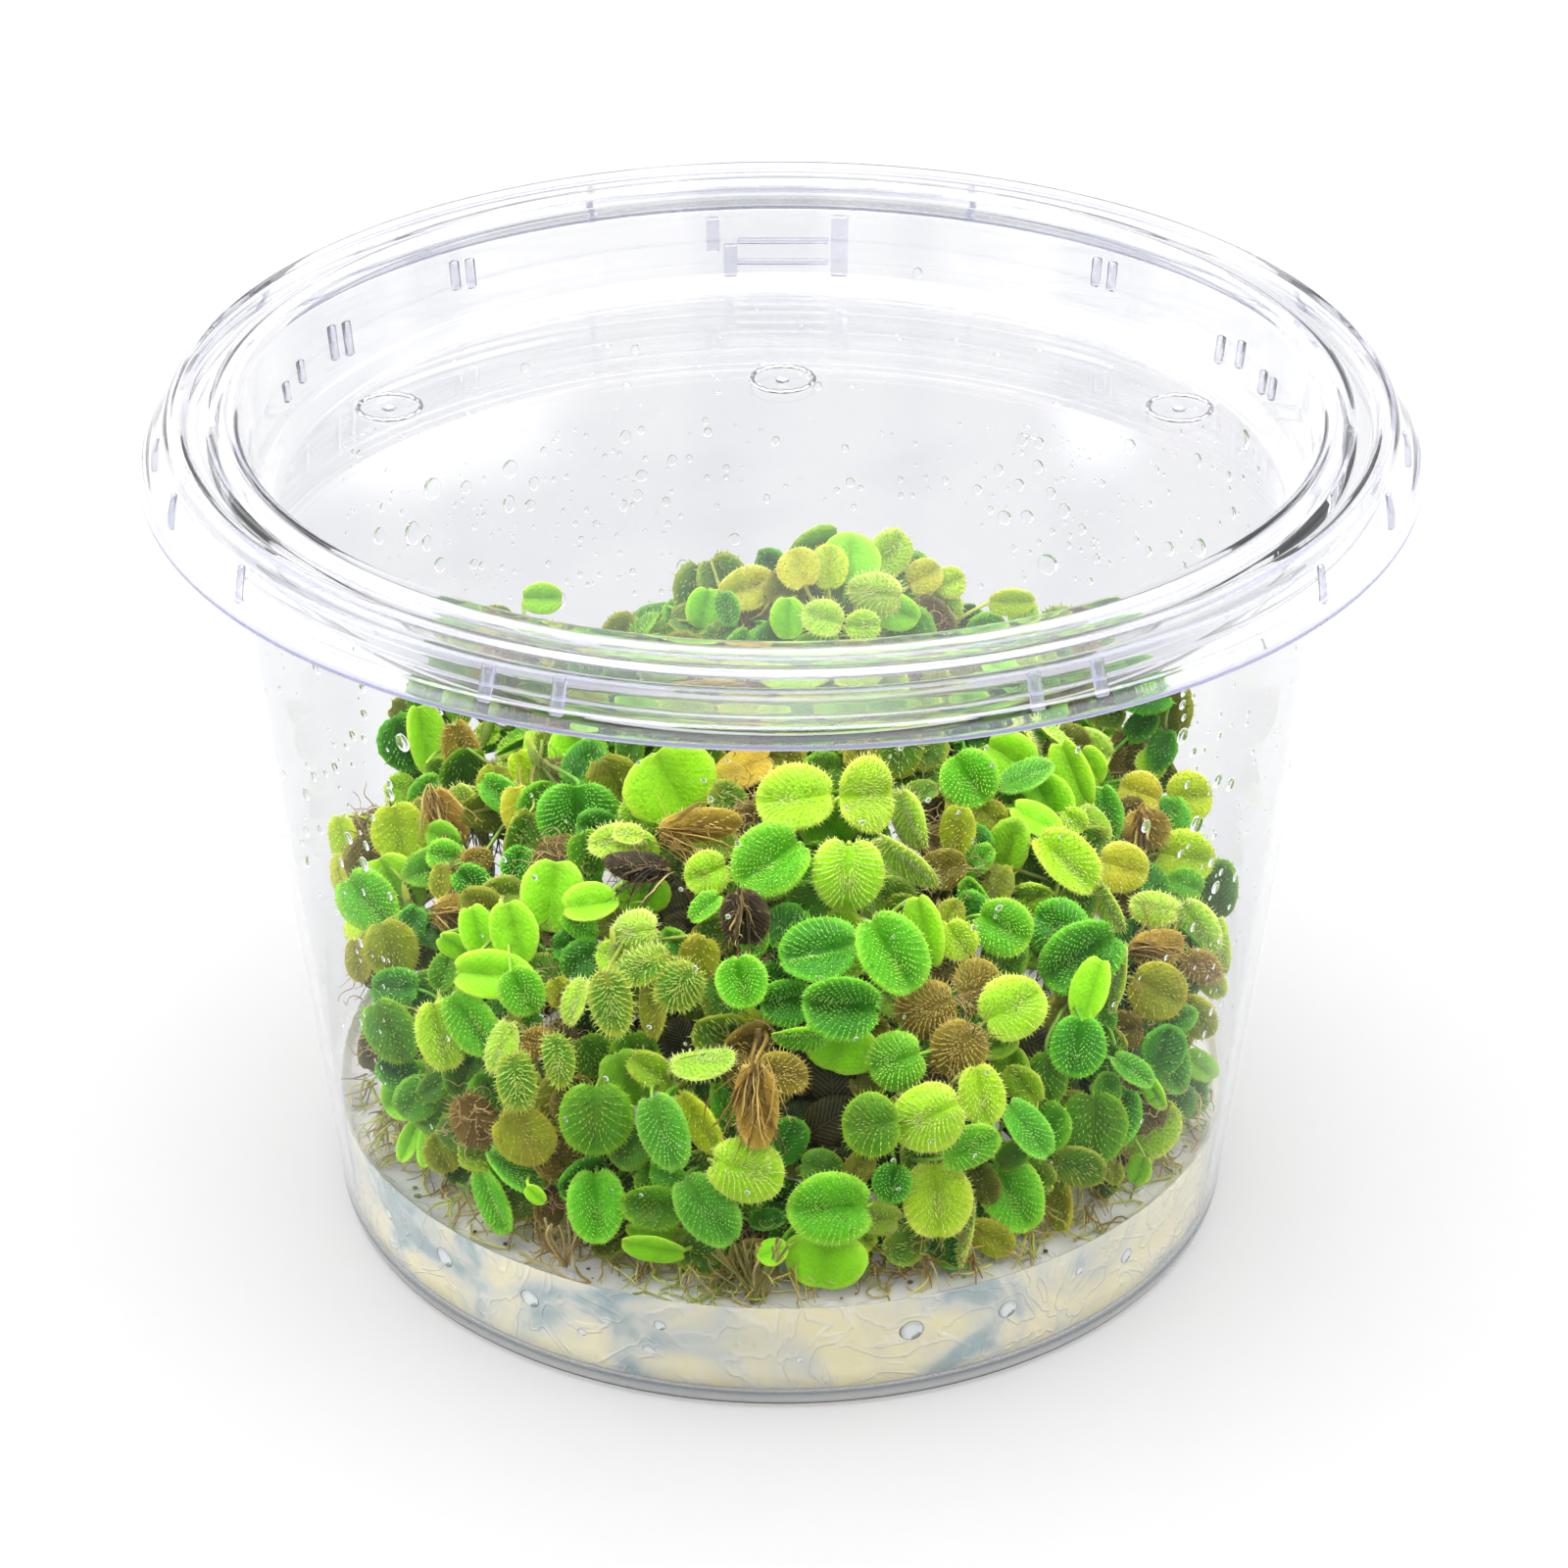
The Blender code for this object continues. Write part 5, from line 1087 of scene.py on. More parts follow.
def inner_leaves(shapes, most):
    """Leaves in two shells under the skin, which close the heap to the eye; their depth sets their painted shade."""
    out = []
    for k in range(9000):
        if len(out) >= most:
            break
        bearing = 2 * math.pi * golden(k * 3 + 1)
        reach = math.sqrt(golden(k * 5 + 3))
        x, y = math.cos(bearing) * 41.0 * reach, 2.0 + math.sin(bearing) * 38.0 * reach
        top = heap_height(x, y)
        n0 = heap_normal(x, y)
        deep = 3.4 + 1.6 * golden(k * 13 + 4) + (3.2 if k % 3 == 0 else 0.0)
        p = Vector((x, y, top)) - n0 * deep
        if p.z < GEL_TOP + 1.0 or math.hypot(p.x, p.y) > wall_radius(p.z) - 2.6 or in_opening(p):
            continue
        length = 6.2 + 3.0 * golden(k * 7 + 1)
        leaf = skin_leaf(p, n0, 2 * math.pi * golden(k * 11 + 2), math.radians(-24 + 48 * golden(k * 17)), length,
                         length * (0.8 + 0.2 * golden(k * 19)), 2 + 18 * golden(k * 23), 16 * golden(k * 29) - 8,
                         'mdgobmsd'[k % 8], 0.0, 0.0)
        if not inside_cup(leaf.plate(-0.1)[0]) or stands_out(leaf):
            continue
        # leaves behind the hollows are set deeper, for darker painted shade
        if in_cave(*picture_place(leaf.c), 8.0):
            if deep < 6.0:
                continue
            deep = 8.5
        probe = Shape(leaf.plate(-0.2))
        if any(probe.hits(sh) for _, sh in shapes):
            continue
        shapes.append((2000 + k, probe))
        out.append((leaf, deep))
    return out


TAN_TONES = [lin(180, 144, 56), lin(202, 170, 84), lin(150, 116, 44), lin(216, 188, 112), lin(120, 92, 34)]
DARK_TONES = [lin(56, 42, 24), lin(80, 62, 36), lin(34, 28, 18), lin(110, 88, 54)]
STEM_TONES = {True: [lin(120, 96, 44), lin(96, 70, 30)], False: [lin(126, 150, 48), lin(104, 126, 40), lin(140, 124, 56), lin(112, 104, 44)]}


def stalk(piece, leaf, blade, node, rng, dead=False):
    """A curved stalk from the leaf's notch to the node."""
    u0, v0 = np.zeros(1), np.array([-0.80])
    p, _, _, n = blade.frame(u0, v0)
    start = p[0] - n[0] * 0.18
    end = arr(node)
    run = np.linalg.norm(end - start)
    if run < 0.5:
        return
    inward = arr(heap_normal(leaf.c.x, leaf.c.y))
    end = end - inward * 1.0
    pull = -blade.m * min(run * 0.35, 1.4) - inward * 1.5
    side = rng.normal(0, 0.12 * run, 3)
    n = 8 if getattr(leaf, "shade", 1.0) > 0.9 else 5
    path = keep_in(bent(start, end, pull, (end - start) * 0.3 + side, n))
    tone = STEM_TONES[dead][int(rng.integers(len(STEM_TONES[dead])))] * rng.uniform(0.85, 1.1)
    tone[3] = 1
    first = LOOKS[leaf.look].rim * 0.8
    first[3] = 1
    mix = np.linspace(0, 1, n)[:, None]
    tube(piece, path, np.linspace(0.16, 0.22, n), first * (1 - mix) + tone * mix, 5)
    # a few fine hairs stand on the stalk
    k = int(run * 1.8) if n == 8 else 0
    if k:
        t = rng.uniform(0.1, 0.9, k)
        i = np.clip((t * 7).astype(int), 0, 6)
        pts = path[i] + (path[i + 1] - path[i]) * ((t * 7) - i)[:, None]
        hairs(piece, pts, rng.normal(size=(k, 3)), rng.uniform(0.25, 0.5, k), 0.045,
              np.tile(np.minimum(tone * 1.25, 1.0), (k, 1)), rng, 0.0, 2)


def bud(piece, at, way, size, rng):
    """A young folded leaf."""
    way = Vector(tuple(unit(np.asarray(way, float))))
    side = way.cross(Vector((0.3, 0.2, 0.9))).normalized()
    leaf = Leaf(Vector(tuple(at)), way, side, side.cross(way), size, size * 0.5, 62, 8, 'l')
    leaf_mesh(piece, leaf, rng, fine=False, hair=1.0)


def plant_piece(name, leaves, node, stem, rng, dead, mats, fine_hair=1.0, roots=10, root_len=6.5):
    """One plantlet: blades, stalks, stem, a bud and its hanging root-like leaves."""
    piece = Piece()
    if leaves:
        behind = max(0.0, sum((leaf.c - node).dot(AHEAD) for leaf in leaves) / len(leaves) + 1.6)
        node = node + AHEAD * min(behind, 4.0)
        if stem:
            stem = (stem[0] + AHEAD * min(behind, 4.0), stem[1])
    for leaf in leaves:
        blade = leaf_mesh(piece, leaf, rng, shade=getattr(leaf, "shade", 1.0), hair=fine_hair)
        reach = node
        if (leaf.base() - node).length > 9.0:
            reach = leaf.base() - heap_normal(leaf.c.x, leaf.c.y) * 2.5 - leaf.m * 1.5
        stalk(piece, leaf, blade, reach, rng, dead)
        withered(piece, leaf, blade, rng)
    if stem:
        a, b = arr(stem[0]), arr(stem[1])
    else:
        a, b = arr(node + ABOVE * 0.8), arr(node - ABOVE * 0.9)
    tone = STEM_TONES[dead][0] * rng.uniform(0.8, 1.0)
    tone[3] = 1
    path = keep_in(bent(a, b, (b - a) * 0.3 + rng.normal(0, 0.3, 3), (b - a) * 0.3 + rng.normal(0, 0.3, 3), 8), GEL_TOP + 0.4)
    path += rng.normal(0, 0.05, path.shape)
    tube(piece, path, np.array([0.42, 0.5, 0.56, 0.52, 0.55, 0.5, 0.46, 0.36]), tone, 7)
    if not dead:
        bud(piece, a + unit(a - b) * 0.5, a - b + rng.normal(0, 0.6, 3), rng.uniform(1.5, 2.4), rng)
    way = unit(b - a) + np.array([0, 0, -1.2])
    root_tuft(piece, b, way, root_len * rng.uniform(0.8, 1.3), rng, roots)
    root_tuft(piece, (a + b) / 2, way + rng.normal(0, 0.4, 3), root_len * 0.8, rng, roots // 3)
    return piece.build(name, mats)


def shreds(piece, start, way, length, rng, count, tones, wide=0.34, spread=0.3):
    """A tassel of narrow torn strips and fine threads."""
    way = unit(np.asarray(way, float))
    for i in range(count):
        d = unit(way + rng.normal(0, spread, 3))
        s = np.asarray(start, float) + rng.normal(0, length * 0.07, 3)
        n = 8
        ln_ = length * rng.uniform(0.6, 1.1)
        path = keep_in(wander(s, d, ln_, rng, n, 0.16, 0.5))
        t = np.linspace(0, 1, n)
        shape = np.clip(np.sin(math.pi * (0.12 + 0.86 * t)), 0.08, 1) * wide * rng.uniform(0.5, 1.15)
        tone = tones[int(rng.integers(len(tones)))] * rng.uniform(0.75, 1.15)
        tone[3] = 1
        tube(piece, path, shape, np.clip(tone, 0, 1), 5, 2, 0.22)
        k = 5
        at = path[rng.integers(1, n, k)]
        hairs(piece, at, d + rng.normal(0, 0.9, (k, 3)), rng.uniform(0.5, 1.1, k), 0.05, np.tile(np.clip(tone * 1.2, 0, 1), (k, 1)), rng, 0.3, 2)
    root_tuft(piece, start, way, length * 0.95, rng, count // 2, spread * 1.2, tones, 0.07)


def withered(piece, leaf, blade, rng):
    """Threads that hang from leaves that are breaking up."""
    look = leaf.look
    if look == 'B':
        shreds(piece, arr(leaf.base()), blade.m + np.array([0.0, -0.15, -0.1]), leaf.length * 1.05, rng, 22, TAN_TONES)
    elif look == 'K':
        shreds(piece, arr(leaf.base()), blade.m, leaf.length * 1.05, rng, 16, DARK_TONES, 0.40, 0.22)
        shreds(piece, arr(leaf.base()) + blade.n * 0.4, blade.m, leaf.length, rng, 7, TAN_TONES, 0.16, 0.25)
    elif look == 'F':
        for _ in range(14):
            start = arr(leaf.c) + rng.normal(0, leaf.length * 0.2, 3)
            way = rng.normal(size=3) + blade.n * 1.2
            path = keep_in(curl_thread(start, way, leaf.length * rng.uniform(0.4, 0.8), rng, rng.uniform(0.6, 1.6), 0.5))
            tube(piece, path, np.linspace(0.07, 0.035, len(path)), lin(184, 156, 104) * rng.uniform(0.6, 1.05), 3)
    elif look == 'b' and rng.random() < 0.7:
        root_tuft(piece, arr(leaf.base()), -blade.m + np.array([0, 0, -0.6]), leaf.length * 0.6, rng, 7, 0.5)
    elif look == 'w':
        for _ in range(5):
            u, v = rng.uniform(-0.8, 0.8, 2)
            p, _, _, n = blade.frame(np.array([u]), np.array([v]))
            path = keep_in(wander(p[0], n[0] + rng.normal(0, 0.8, 3), 2.2, rng, 6))
            tube(piece, path, np.linspace(0.06, 0.03, 6), lin(200, 168, 104), 3)


# ---------------------------------------------------------------- clear vessel
def cup_profile():
    t = WALL_T
    outer = lambda z: BASE_R + (WALL_R - BASE_R) * z / WALL_H
    return [
        (0.0, 0.35), (36.0, 0.35), (36.7, 0.0), (38.3, 0.0), (38.9, 0.5), (outer(1.4) + 0.02, 1.35), (outer(1.4), 1.6),
        (outer(WALL_H), WALL_H), (46.7, 71.0), (RIM_R - 0.8, 71.0), (RIM_R - 0.8, 69.9), (RIM_R, 69.9),
        (RIM_R, RIM_Z - 0.3), (RIM_R - 0.4, RIM_Z), (45.9, RIM_Z), (45.6, 71.4),
        (outer(WALL_H) - t, WALL_H), (outer(3.4) - t * 0.8, 3.4), (outer(1.6) - 0.62, 1.7), (37.9, 0.95), (0.0, 0.95),
    ]


def lid_profile():
    return [
        (0.0, 64.2), (42.2, 64.2), (43.45, 65.6), (44.0, 69.0), (44.62, 73.0), (45.15, 73.6), (46.15, 73.6), (46.65, 72.7),
        (48.5, 72.7), (48.95, 73.6), (49.4, 73.6), (49.72, 73.1), (49.95, 72.4), (51.25, 70.4), (51.45, 69.9), (51.9, 69.0),
        (LID_R, 69.0), (LID_R - 0.05, 69.6), (51.98, 70.55), (51.72, 70.75), (50.4, 72.8), (50.1, 73.7), (49.6, LID_TOP),
        (48.8, LID_TOP), (48.3, 73.3), (46.9, 73.3), (46.3, LID_TOP), (45.0, LID_TOP), (44.2, 73.6), (43.5, 69.1),
        (42.9, 66.2), (PANEL_R - 0.3, PANEL_Z), (0.0, PANEL_Z),
    ]


LID_PAINTED_LINES = [  # radius, height, half width, and a tint: painted shade at the bends of the profile, standing in for the lavender-grey lines seen where the plastic is edge-on
    (52.5, 69.3, 0.22, (0.26, 0.26, 0.45)), (52.1, 69.1, 0.45, (0.86, 0.86, 0.96)), (51.6, 69.6, 0.32, (0.88, 0.88, 0.96)),
    (51.9, 70.65, 0.12, (0.52, 0.52, 0.70)), (50.4, 72.8, 0.13, (0.56, 0.56, 0.74)), (49.75, 74.1, 0.19, (0.34, 0.34, 0.54)),
    (48.6, 73.9, 0.14, (0.58, 0.58, 0.75)), (46.7, 73.55, 0.13, (0.62, 0.62, 0.79)), (45.7, 73.7, 0.42, (0.88, 0.88, 0.96)),
    (44.75, 74.05, 0.19, (0.54, 0.54, 0.73)), (43.5, 69.1, 0.13, (0.76, 0.765, 0.83)), (43.15, 67.2, 0.10, (0.86, 0.86, 0.90)),
    (41.9, 64.85, 0.14, (0.82, 0.82, 0.87))]
# the cup's rings of painted shade, listed as the lid's; the two at the foot paint the dark lines along its base
CUP_PAINTED_LINES = [
    (45.75, 71.8, 0.16, (0.86, 0.865, 0.90)), (46.5, 70.2, 0.12, (0.84, 0.845, 0.89)), (49.2, 70.0, 0.14, (0.88, 0.885, 0.93)),
    (38.90, 0.50, 0.24, (0.16, 0.18, 0.17)), (39.08, 1.62, 0.26, (0.26, 0.31, 0.34))]


def softened(profile, radius=0.35, steps=5):
    """The profile with its corners rounded and held by a ring on either side."""
    pts = [np.array(p, float) for p in profile]
    out = [pts[0]]
    for i in range(1, len(pts) - 1):
        a, b, c = pts[i - 1], pts[i], pts[i + 1]
        la, lc = np.linalg.norm(a - b), np.linalg.norm(c - b)
        d = min(radius, 0.36 * la, 0.36 * lc)
        pa, pc = b + (a - b) / la * d, b + (c - b) / lc * d
        if la > 2.4:
            out.append(b + (a - b) / la * (d + 0.4))
        for t in np.linspace(0, 1, steps):
            out.append((1 - t) ** 2 * pa + 2 * t * (1 - t) * b + t * t * pc)
        if lc > 2.4:
            out.append(b + (c - b) / lc * (d + 0.4))
    out.append(pts[-1])
    return out


def with_rings(profile, most):
    """Long straight runs of a profile divided, so that their surface can vary a little."""
    out = [profile[0]]
    for a, b in zip(profile[:-1], profile[1:]):
        n = max(1, int(np.linalg.norm(b - a) / most))
        for k in range(1, n + 1):
            out.append(a + (b - a) * (k / n))
    return out


def turned_mesh(piece, profile, sides, colour, mat=0, wave=None):
    rings, verts = [], []
    th = 2 * math.pi * np.arange(sides) / sides
    start = 0
    for r, z in profile:
        if r < 1e-6:
            verts.append([[0.0, 0.0, z]])
            rings.append((start, 1))
            start += 1
        else:
            rr = r + (wave(th, r, z)[0] if wave else 0.0)
            zz = z + (wave(th, r, z)[1] if wave else 0.0)
            verts.append(np.stack([rr * np.cos(th), rr * np.sin(th), np.broadcast_to(zz, th.shape)], 1))
            rings.append((start, sides))
            start += sides
    i = np.arange(sides)
    j = (i + 1) % sides
    tris, quads = [], []
    for (a, na), (b, nb) in zip(rings[:-1], rings[1:]):
        if na == 1 and nb > 1:
            tris.append(np.stack([np.full(sides, a), b + j, b + i], 1))
        elif nb == 1 and na > 1:
            tris.append(np.stack([a + i, a + j, np.full(sides, b)], 1))
        elif na > 1:
            quads.append(np.stack([a + i, a + j, b + j, b + i], 1))
    if np.ndim(colour) > 1:
        colour = np.concatenate([np.repeat(np.append(c, 1.0)[None], n, 0) for c, (_, n) in zip(colour, rings)])
    piece.add(np.concatenate([np.asarray(v) for v in verts]), [np.concatenate(quads), np.concatenate(tris)], colour, None, mat)


def ellipsoid(piece, centre, axes, radii, colour, mat=0, seg=12, rows=7, inward=False, squarish=1.0):
    """A closed rounded body; inward turns its faces round, as for a bubble."""
    lat = np.linspace(-math.pi / 2, math.pi / 2, rows + 2)[1:-1]
    lon = 2 * math.pi * np.arange(seg) / seg
    def power(x):
        return np.sign(x) * np.abs(x) ** squarish
    x = power(np.outer(np.cos(lat), np.cos(lon)).ravel())
    y = power(np.outer(np.cos(lat), np.sin(lon)).ravel())
    z = power(np.outer(np.sin(lat), np.ones(seg)).ravel())
    local = np.concatenate([np.stack([x, y, z], 1), [[0, 0, -1], [0, 0, 1]]]) * np.asarray(radii)
    ax = np.array([arr(a) for a in axes])
    verts = np.asarray(centre, float) + local @ ax
    i = np.arange(seg)
    j = (i + 1) % seg
    quads = np.concatenate([np.stack([k * seg + i, k * seg + j, (k + 1) * seg + j, (k + 1) * seg + i], 1) for k in range(rows - 1)])
    s, t = rows * seg, rows * seg + 1
    tris = np.concatenate([np.stack([np.full(seg, s), j, i], 1), np.stack([np.full(seg, t), (rows - 1) * seg + i, (rows - 1) * seg + j], 1)])
    if (np.dot(np.cross(ax[0], ax[1]), ax[2]) < 0) != inward:
        quads, tris = quads[:, ::-1], tris[:, ::-1]
    piece.add(verts, [quads, tris], colour, None, mat)


def rounded_box(piece, centre, axes, half, colour, mat=0, r=0.15):
    """A box with rounded edges: an outline with round corners, drawn in at both ends."""
    a, b, c = [arr(x) for x in axes]
    hx, hy, hz = half
    r = min(r, hx * 0.9, hy * 0.9, hz * 0.9)
    def ring(shrink, z):
        pts = []
        rr = r - shrink
        for q, (sx, sy) in enumerate(((1, 1), (-1, 1), (-1, -1), (1, -1))):
            for k in range(4):
                t = math.pi / 2 * (q + k / 3)
                pts.append((sx * (hx - r) + rr * math.cos(t), sy * (hy - r) + rr * math.sin(t), z))
        return pts
    levels = [(r * 0.75, -hz), (r * 0.25, -hz + r * 0.25), (0.0, -hz + r * 0.9), (0.0, hz - r * 0.9), (r * 0.25, hz - r * 0.25), (r * 0.75, hz)]
    pts = np.array([p for s, z in levels for p in ring(s, z)])
    n = 16
    verts = np.asarray(centre, float) + pts @ np.array([a, b, c])
    verts = np.concatenate([verts, [np.asarray(centre, float) - c * hz, np.asarray(centre, float) + c * hz]])
    i = np.arange(n)
    j = (i + 1) % n
    quads = np.concatenate([np.stack([k * n + i, k * n + j, (k + 1) * n + j, (k + 1) * n + i], 1) for k in range(len(levels) - 1)])
    e = len(levels) * n
    tris = np.concatenate([np.stack([np.full(n, e), j, i], 1), np.stack([np.full(n, e + 1), (len(levels) - 1) * n + i, (len(levels) - 1) * n + j], 1)])
    if np.dot(np.cross(a, b), c) < 0:
        quads, tris = quads[:, ::-1], tris[:, ::-1]
    piece.add(verts, [quads, tris], colour, None, mat)


def meets(px, py, radius, far=False):
    """Where a line of sight crosses a surface of revolution radius(z): its near or its far side."""
    d = sight(px, py)
    last, hit = None, None
    for i in range(2400):
        p = EYE + d * (300.0 + i * 0.1)
        inside = math.hypot(p.x, p.y) < radius(p.z)
        if last is not None and inside != last:
            hit = p
            if not far:
                return hit
        last = inside
    return hit


def round_axes(th, tilt=0.0):
    """Around, up and outward directions at an angle about Z; tilt leans up outward."""
    out = Vector((math.cos(th), math.sin(th), 0.0))
    around = Vector((-math.sin(th), math.cos(th), 0.0))
    up = Vector((0.0, 0.0, 1.0)) * math.cos(tilt) + out * math.sin(tilt)
    return around, up, around.cross(up)


CLEAR = np.array([1.0, 1.0, 1.0, 1.0])


def ringed(profile, rings, fine=0.16):
    """The profile divided finely near the rings of painted shade, and its tint at each point, painted shade included.
    """
    pts = [np.asarray(p, float) for p in profile]
    out = [pts[0]]
    for a, b in zip(pts[:-1], pts[1:]):
        span = float(np.linalg.norm(b - a))
        stops = {1.0}
        for q in rings:
            c = np.array(q[:2])
            k = float(np.dot(c - a, b - a)) / max(span * span, 1e-9)
            if np.linalg.norm(a + (b - a) * min(1.0, max(0.0, k)) - c) < q[2] * 1.6:
                for j in (-2.2, -1.2, -0.6, 0.0, 0.6, 1.2, 2.2):
                    if 0.0 < k + j * q[2] / span < 1.0:
                        stops.add(k + j * q[2] / span)
        last = 0.0
        for k in sorted(stops):
            if k == 1.0 or (k - last) * span > 0.06 and (1 - k) * span > 0.06:
                out.append(a + (b - a) * k)
                last = k
    tints = []
    for p in out:
        t = np.ones(3)
        for r, z, wide, tone in rings:
            d = math.hypot(p[0] - r, p[1] - z) / wide
            t *= 1 - (1 - np.array(tone)) * math.exp(-d * d)
        if rings is LID_PAINTED_LINES and p[0] < 41.5:
            t *= np.array([0.925, 0.925, 0.930])
        tints.append(t)
    return out, np.array(tints)


def lid_mesh():
    piece = Piece()
    line, tints = ringed(softened(lid_profile()), LID_PAINTED_LINES)
    turned_mesh(piece, line, 168, tints)
    # short upright ribs round the skirt, in pairs, coloured lavender-grey as painted shade for the dark lines seen
    # along them
    for deg in (-25.1, -18.6, 21.4, 27.3, -54.4, 54.4, -70.6, 70.6, -83.0, 84.0, 118.0, -118.0, 160.0, -160.0):
        th = math.radians(-90 + deg)
        side = abs(deg) > 50
        around, up, out = round_axes(th, math.radians(-8 if side else -24))
        at = Vector((math.cos(th), math.sin(th), 0.0)) * (50.75 if side else 50.85) + Vector((0, 0, 71.0 if side else 71.3))
        rounded_box(piece, at, (around, up, out), (0.34 if side else 0.56, 1.62 if side else 1.5, 0.26), np.array([0.84, 0.84, 0.92, 1.0]), 1, 0.22)
    # the opening tab at the back of the well, and small paired tabs beside it
    wall = lambda z: 43.5 + (44.2 - 43.5) * (z - 66.2) / 6.2
    for px, py0, py1, half in ((727, 221, 256, 0.60), (745, 248, 281, 0.62), (857, 219, 281, 0.78)):
        a, b = meets(px, py0, wall, True), meets(px, py1, wall, True)
        mid, th = (a + b) / 2, math.atan2((a + b).y, (a + b).x)
        around, up, out = round_axes(th, 0.09)
        rounded_box(piece, mid - out * 0.25, (around, up, out), (half, max(0.6, (a.z - b.z) / 2), 0.42), CLEAR, 1, 0.22)
    for py in (245, 266):
        a, b = meets(752, py, wall, True), meets(845, py, wall, True)
        mid, th = (a + b) / 2, math.atan2((a + b).y, (a + b).x)
        around, up, out = round_axes(th, 0.09)
        rounded_box(piece, mid - out * 0.22, (around, up, out), ((b - a).length / 2, 0.26, 0.32), CLEAR, 1, 0.14)
    for px, py0, py1 in ((463, 265, 296), (479, 263, 294), (338, 330, 369), (353, 326, 364), (305, 366, 392), (290, 388, 412),
                         (1247, 341, 372), (1268, 346, 377), (1291, 376, 404), (1301, 384, 410), (1120, 262, 292), (1136, 266, 297)):
        a, b = meets(px, py0, wall, True), meets(px, py1, wall, True)
        if not a or not b:
            continue
        mid, th = (a + b) / 2, math.atan2((a + b).y, (a + b).x)
        around, up, out = round_axes(th, 0.09)
        rounded_box(piece, mid - out * 0.18, (around, up, out), (0.42, max(0.5, abs(a.z - b.z) / 2), 0.30), CLEAR, 1, 0.18)
    # three moulded ring marks on the panel, each a beaded ring round a dot
    for x, y in ((-33.6, 16.3), (0.1, 22.1), (34.1, 16.1)):
        turns, beads = 64, 16
        t = 2 * math.pi * np.arange(turns) / turns
        high = 0.11 + 0.02 * np.sin(beads * t)
        verts = []
        for k in range(6):
            a = 2 * math.pi * k / 6
            r = 2.7 + 0.24 * math.cos(a)
            verts.append(np.stack([x + r * np.cos(t), y + r * np.sin(t), PANEL_Z + 0.02 + high * (0.5 + 0.5 * math.sin(a)) * 2.2 - 0.06 * (math.sin(a) < -0.5)], 1))
        i = np.arange(turns)
        j = (i + 1) % turns
        quads = np.concatenate([np.stack([k * turns + i, k * turns + j, ((k + 1) % 6) * turns + j, ((k + 1) % 6) * turns + i], 1) for k in range(6)])
        piece.add(np.concatenate(verts), [quads[:, ::-1]], CLEAR, None, 1)
        ellipsoid(piece, (x, y, PANEL_Z), (Vector((1, 0, 0)), Vector((0, 1, 0)), Vector((0, 0, 1))), (0.62, 0.62, 0.34), CLEAR, 1, 16, 7)
    return piece


def cup_mesh():
    piece = Piece()
    line, tints = ringed(softened(cup_profile()), CUP_PAINTED_LINES)
    turned_mesh(piece, line, 168, tints)
    return piece


def gel_height(x, y):
    """The gel's surface above GEL_TOP: nearly level, with low waves, a little below GEL_TOP on the whole."""
    return (0.10 * np.sin(0.21 * x + 1.3) * np.sin(0.26 * y + 0.4) + 0.09 * np.sin(0.55 * x - 0.31 * y + 2.0)
            + 0.07 * np.sin(0.9 * y + 0.62 * x) + 0.05 * np.sin(1.7 * x + 0.8) * np.sin(1.45 * y + 1.9) - 0.16)


BUBBLES = [(411, 1234, 14), (470, 1274, 27), (471, 1311, 18), (552, 1315, 25), (667, 1369, 18), (677, 1344, 15), (924, 1345, 29),
           (918, 1376, 16), (1018, 1325, 25), (1135, 1274, 20), (1121, 1311, 15), (600, 1352, 12), (756, 1388, 10), (985, 1392, 10),
           (520, 1352, 11), (1075, 1352, 12), (640, 1398, 9), (1092, 1290, 12), (440, 1292, 10), (815, 1380, 9)]


def bubble(piece, at, around, up, out, rx, ry):
    """A bubble of air held against the wall: a shallow dome whose colour has a dark ring painted near its edge, painted
    shade, lighter on one side as painted light.
    """
    seg = 22
    t = 2 * math.pi * np.arange(seg) / seg
    verts, tones = [], []
    # painted shade: a dark ring near the rim and a dark patch inside it, with one side of the ring painted lighter
    for q, h, tone in ((1.0, -0.02, 1.0), (0.97, 0.01, 0.55), (0.93, 0.02, 0.16), (0.85, 0.035, 0.18), (0.77, 0.05, 0.90), (0.62, 0.056, 1.0), (0.40, 0.058, 1.0), (0.18, 0.06, 1.0)):
        lower = 1 - 0.10 * np.sin(t)
        verts.append(arr(at) + np.outer(np.cos(t) * rx * q, arr(around)) + np.outer(np.sin(t) * ry * q, arr(up)) + arr(out) * h)
        shade = np.clip(tone + 0.25 * np.maximum(np.sin(t + 0.8), 0) * (tone < 0.5), 0, 1)
        if 0.5 < q < 0.85:
            shade = np.where(np.sin(t + 2.6) > 0.80, 0.34, np.where(np.sin(t - 0.6) < -0.2, shade, shade * 0.80))
        tones.append(np.stack([shade * 0.96, shade, shade * 0.97, np.ones(seg)], 1))
    n = len(verts)
    verts.append((arr(at) + arr(out) * 0.06)[None])
    tones.append(np.ones((1, 4)))
    verts.append((arr(at) - arr(out) * 0.05)[None])
    tones.append(np.ones((1, 4)))
    i = np.arange(seg)
    j = (i + 1) % seg
    quads = np.concatenate([np.stack([k * seg + i, k * seg + j, (k + 1) * seg + j, (k + 1) * seg + i], 1) for k in range(n - 1)])
    tris = np.concatenate([np.stack([(n - 1) * seg + i, (n - 1) * seg + j, np.full(seg, n * seg)], 1), np.stack([j, i, np.full(seg, n * seg + 1)], 1)])
    piece.add(np.concatenate(verts), [quads, tris], np.concatenate(tones), None, 1)


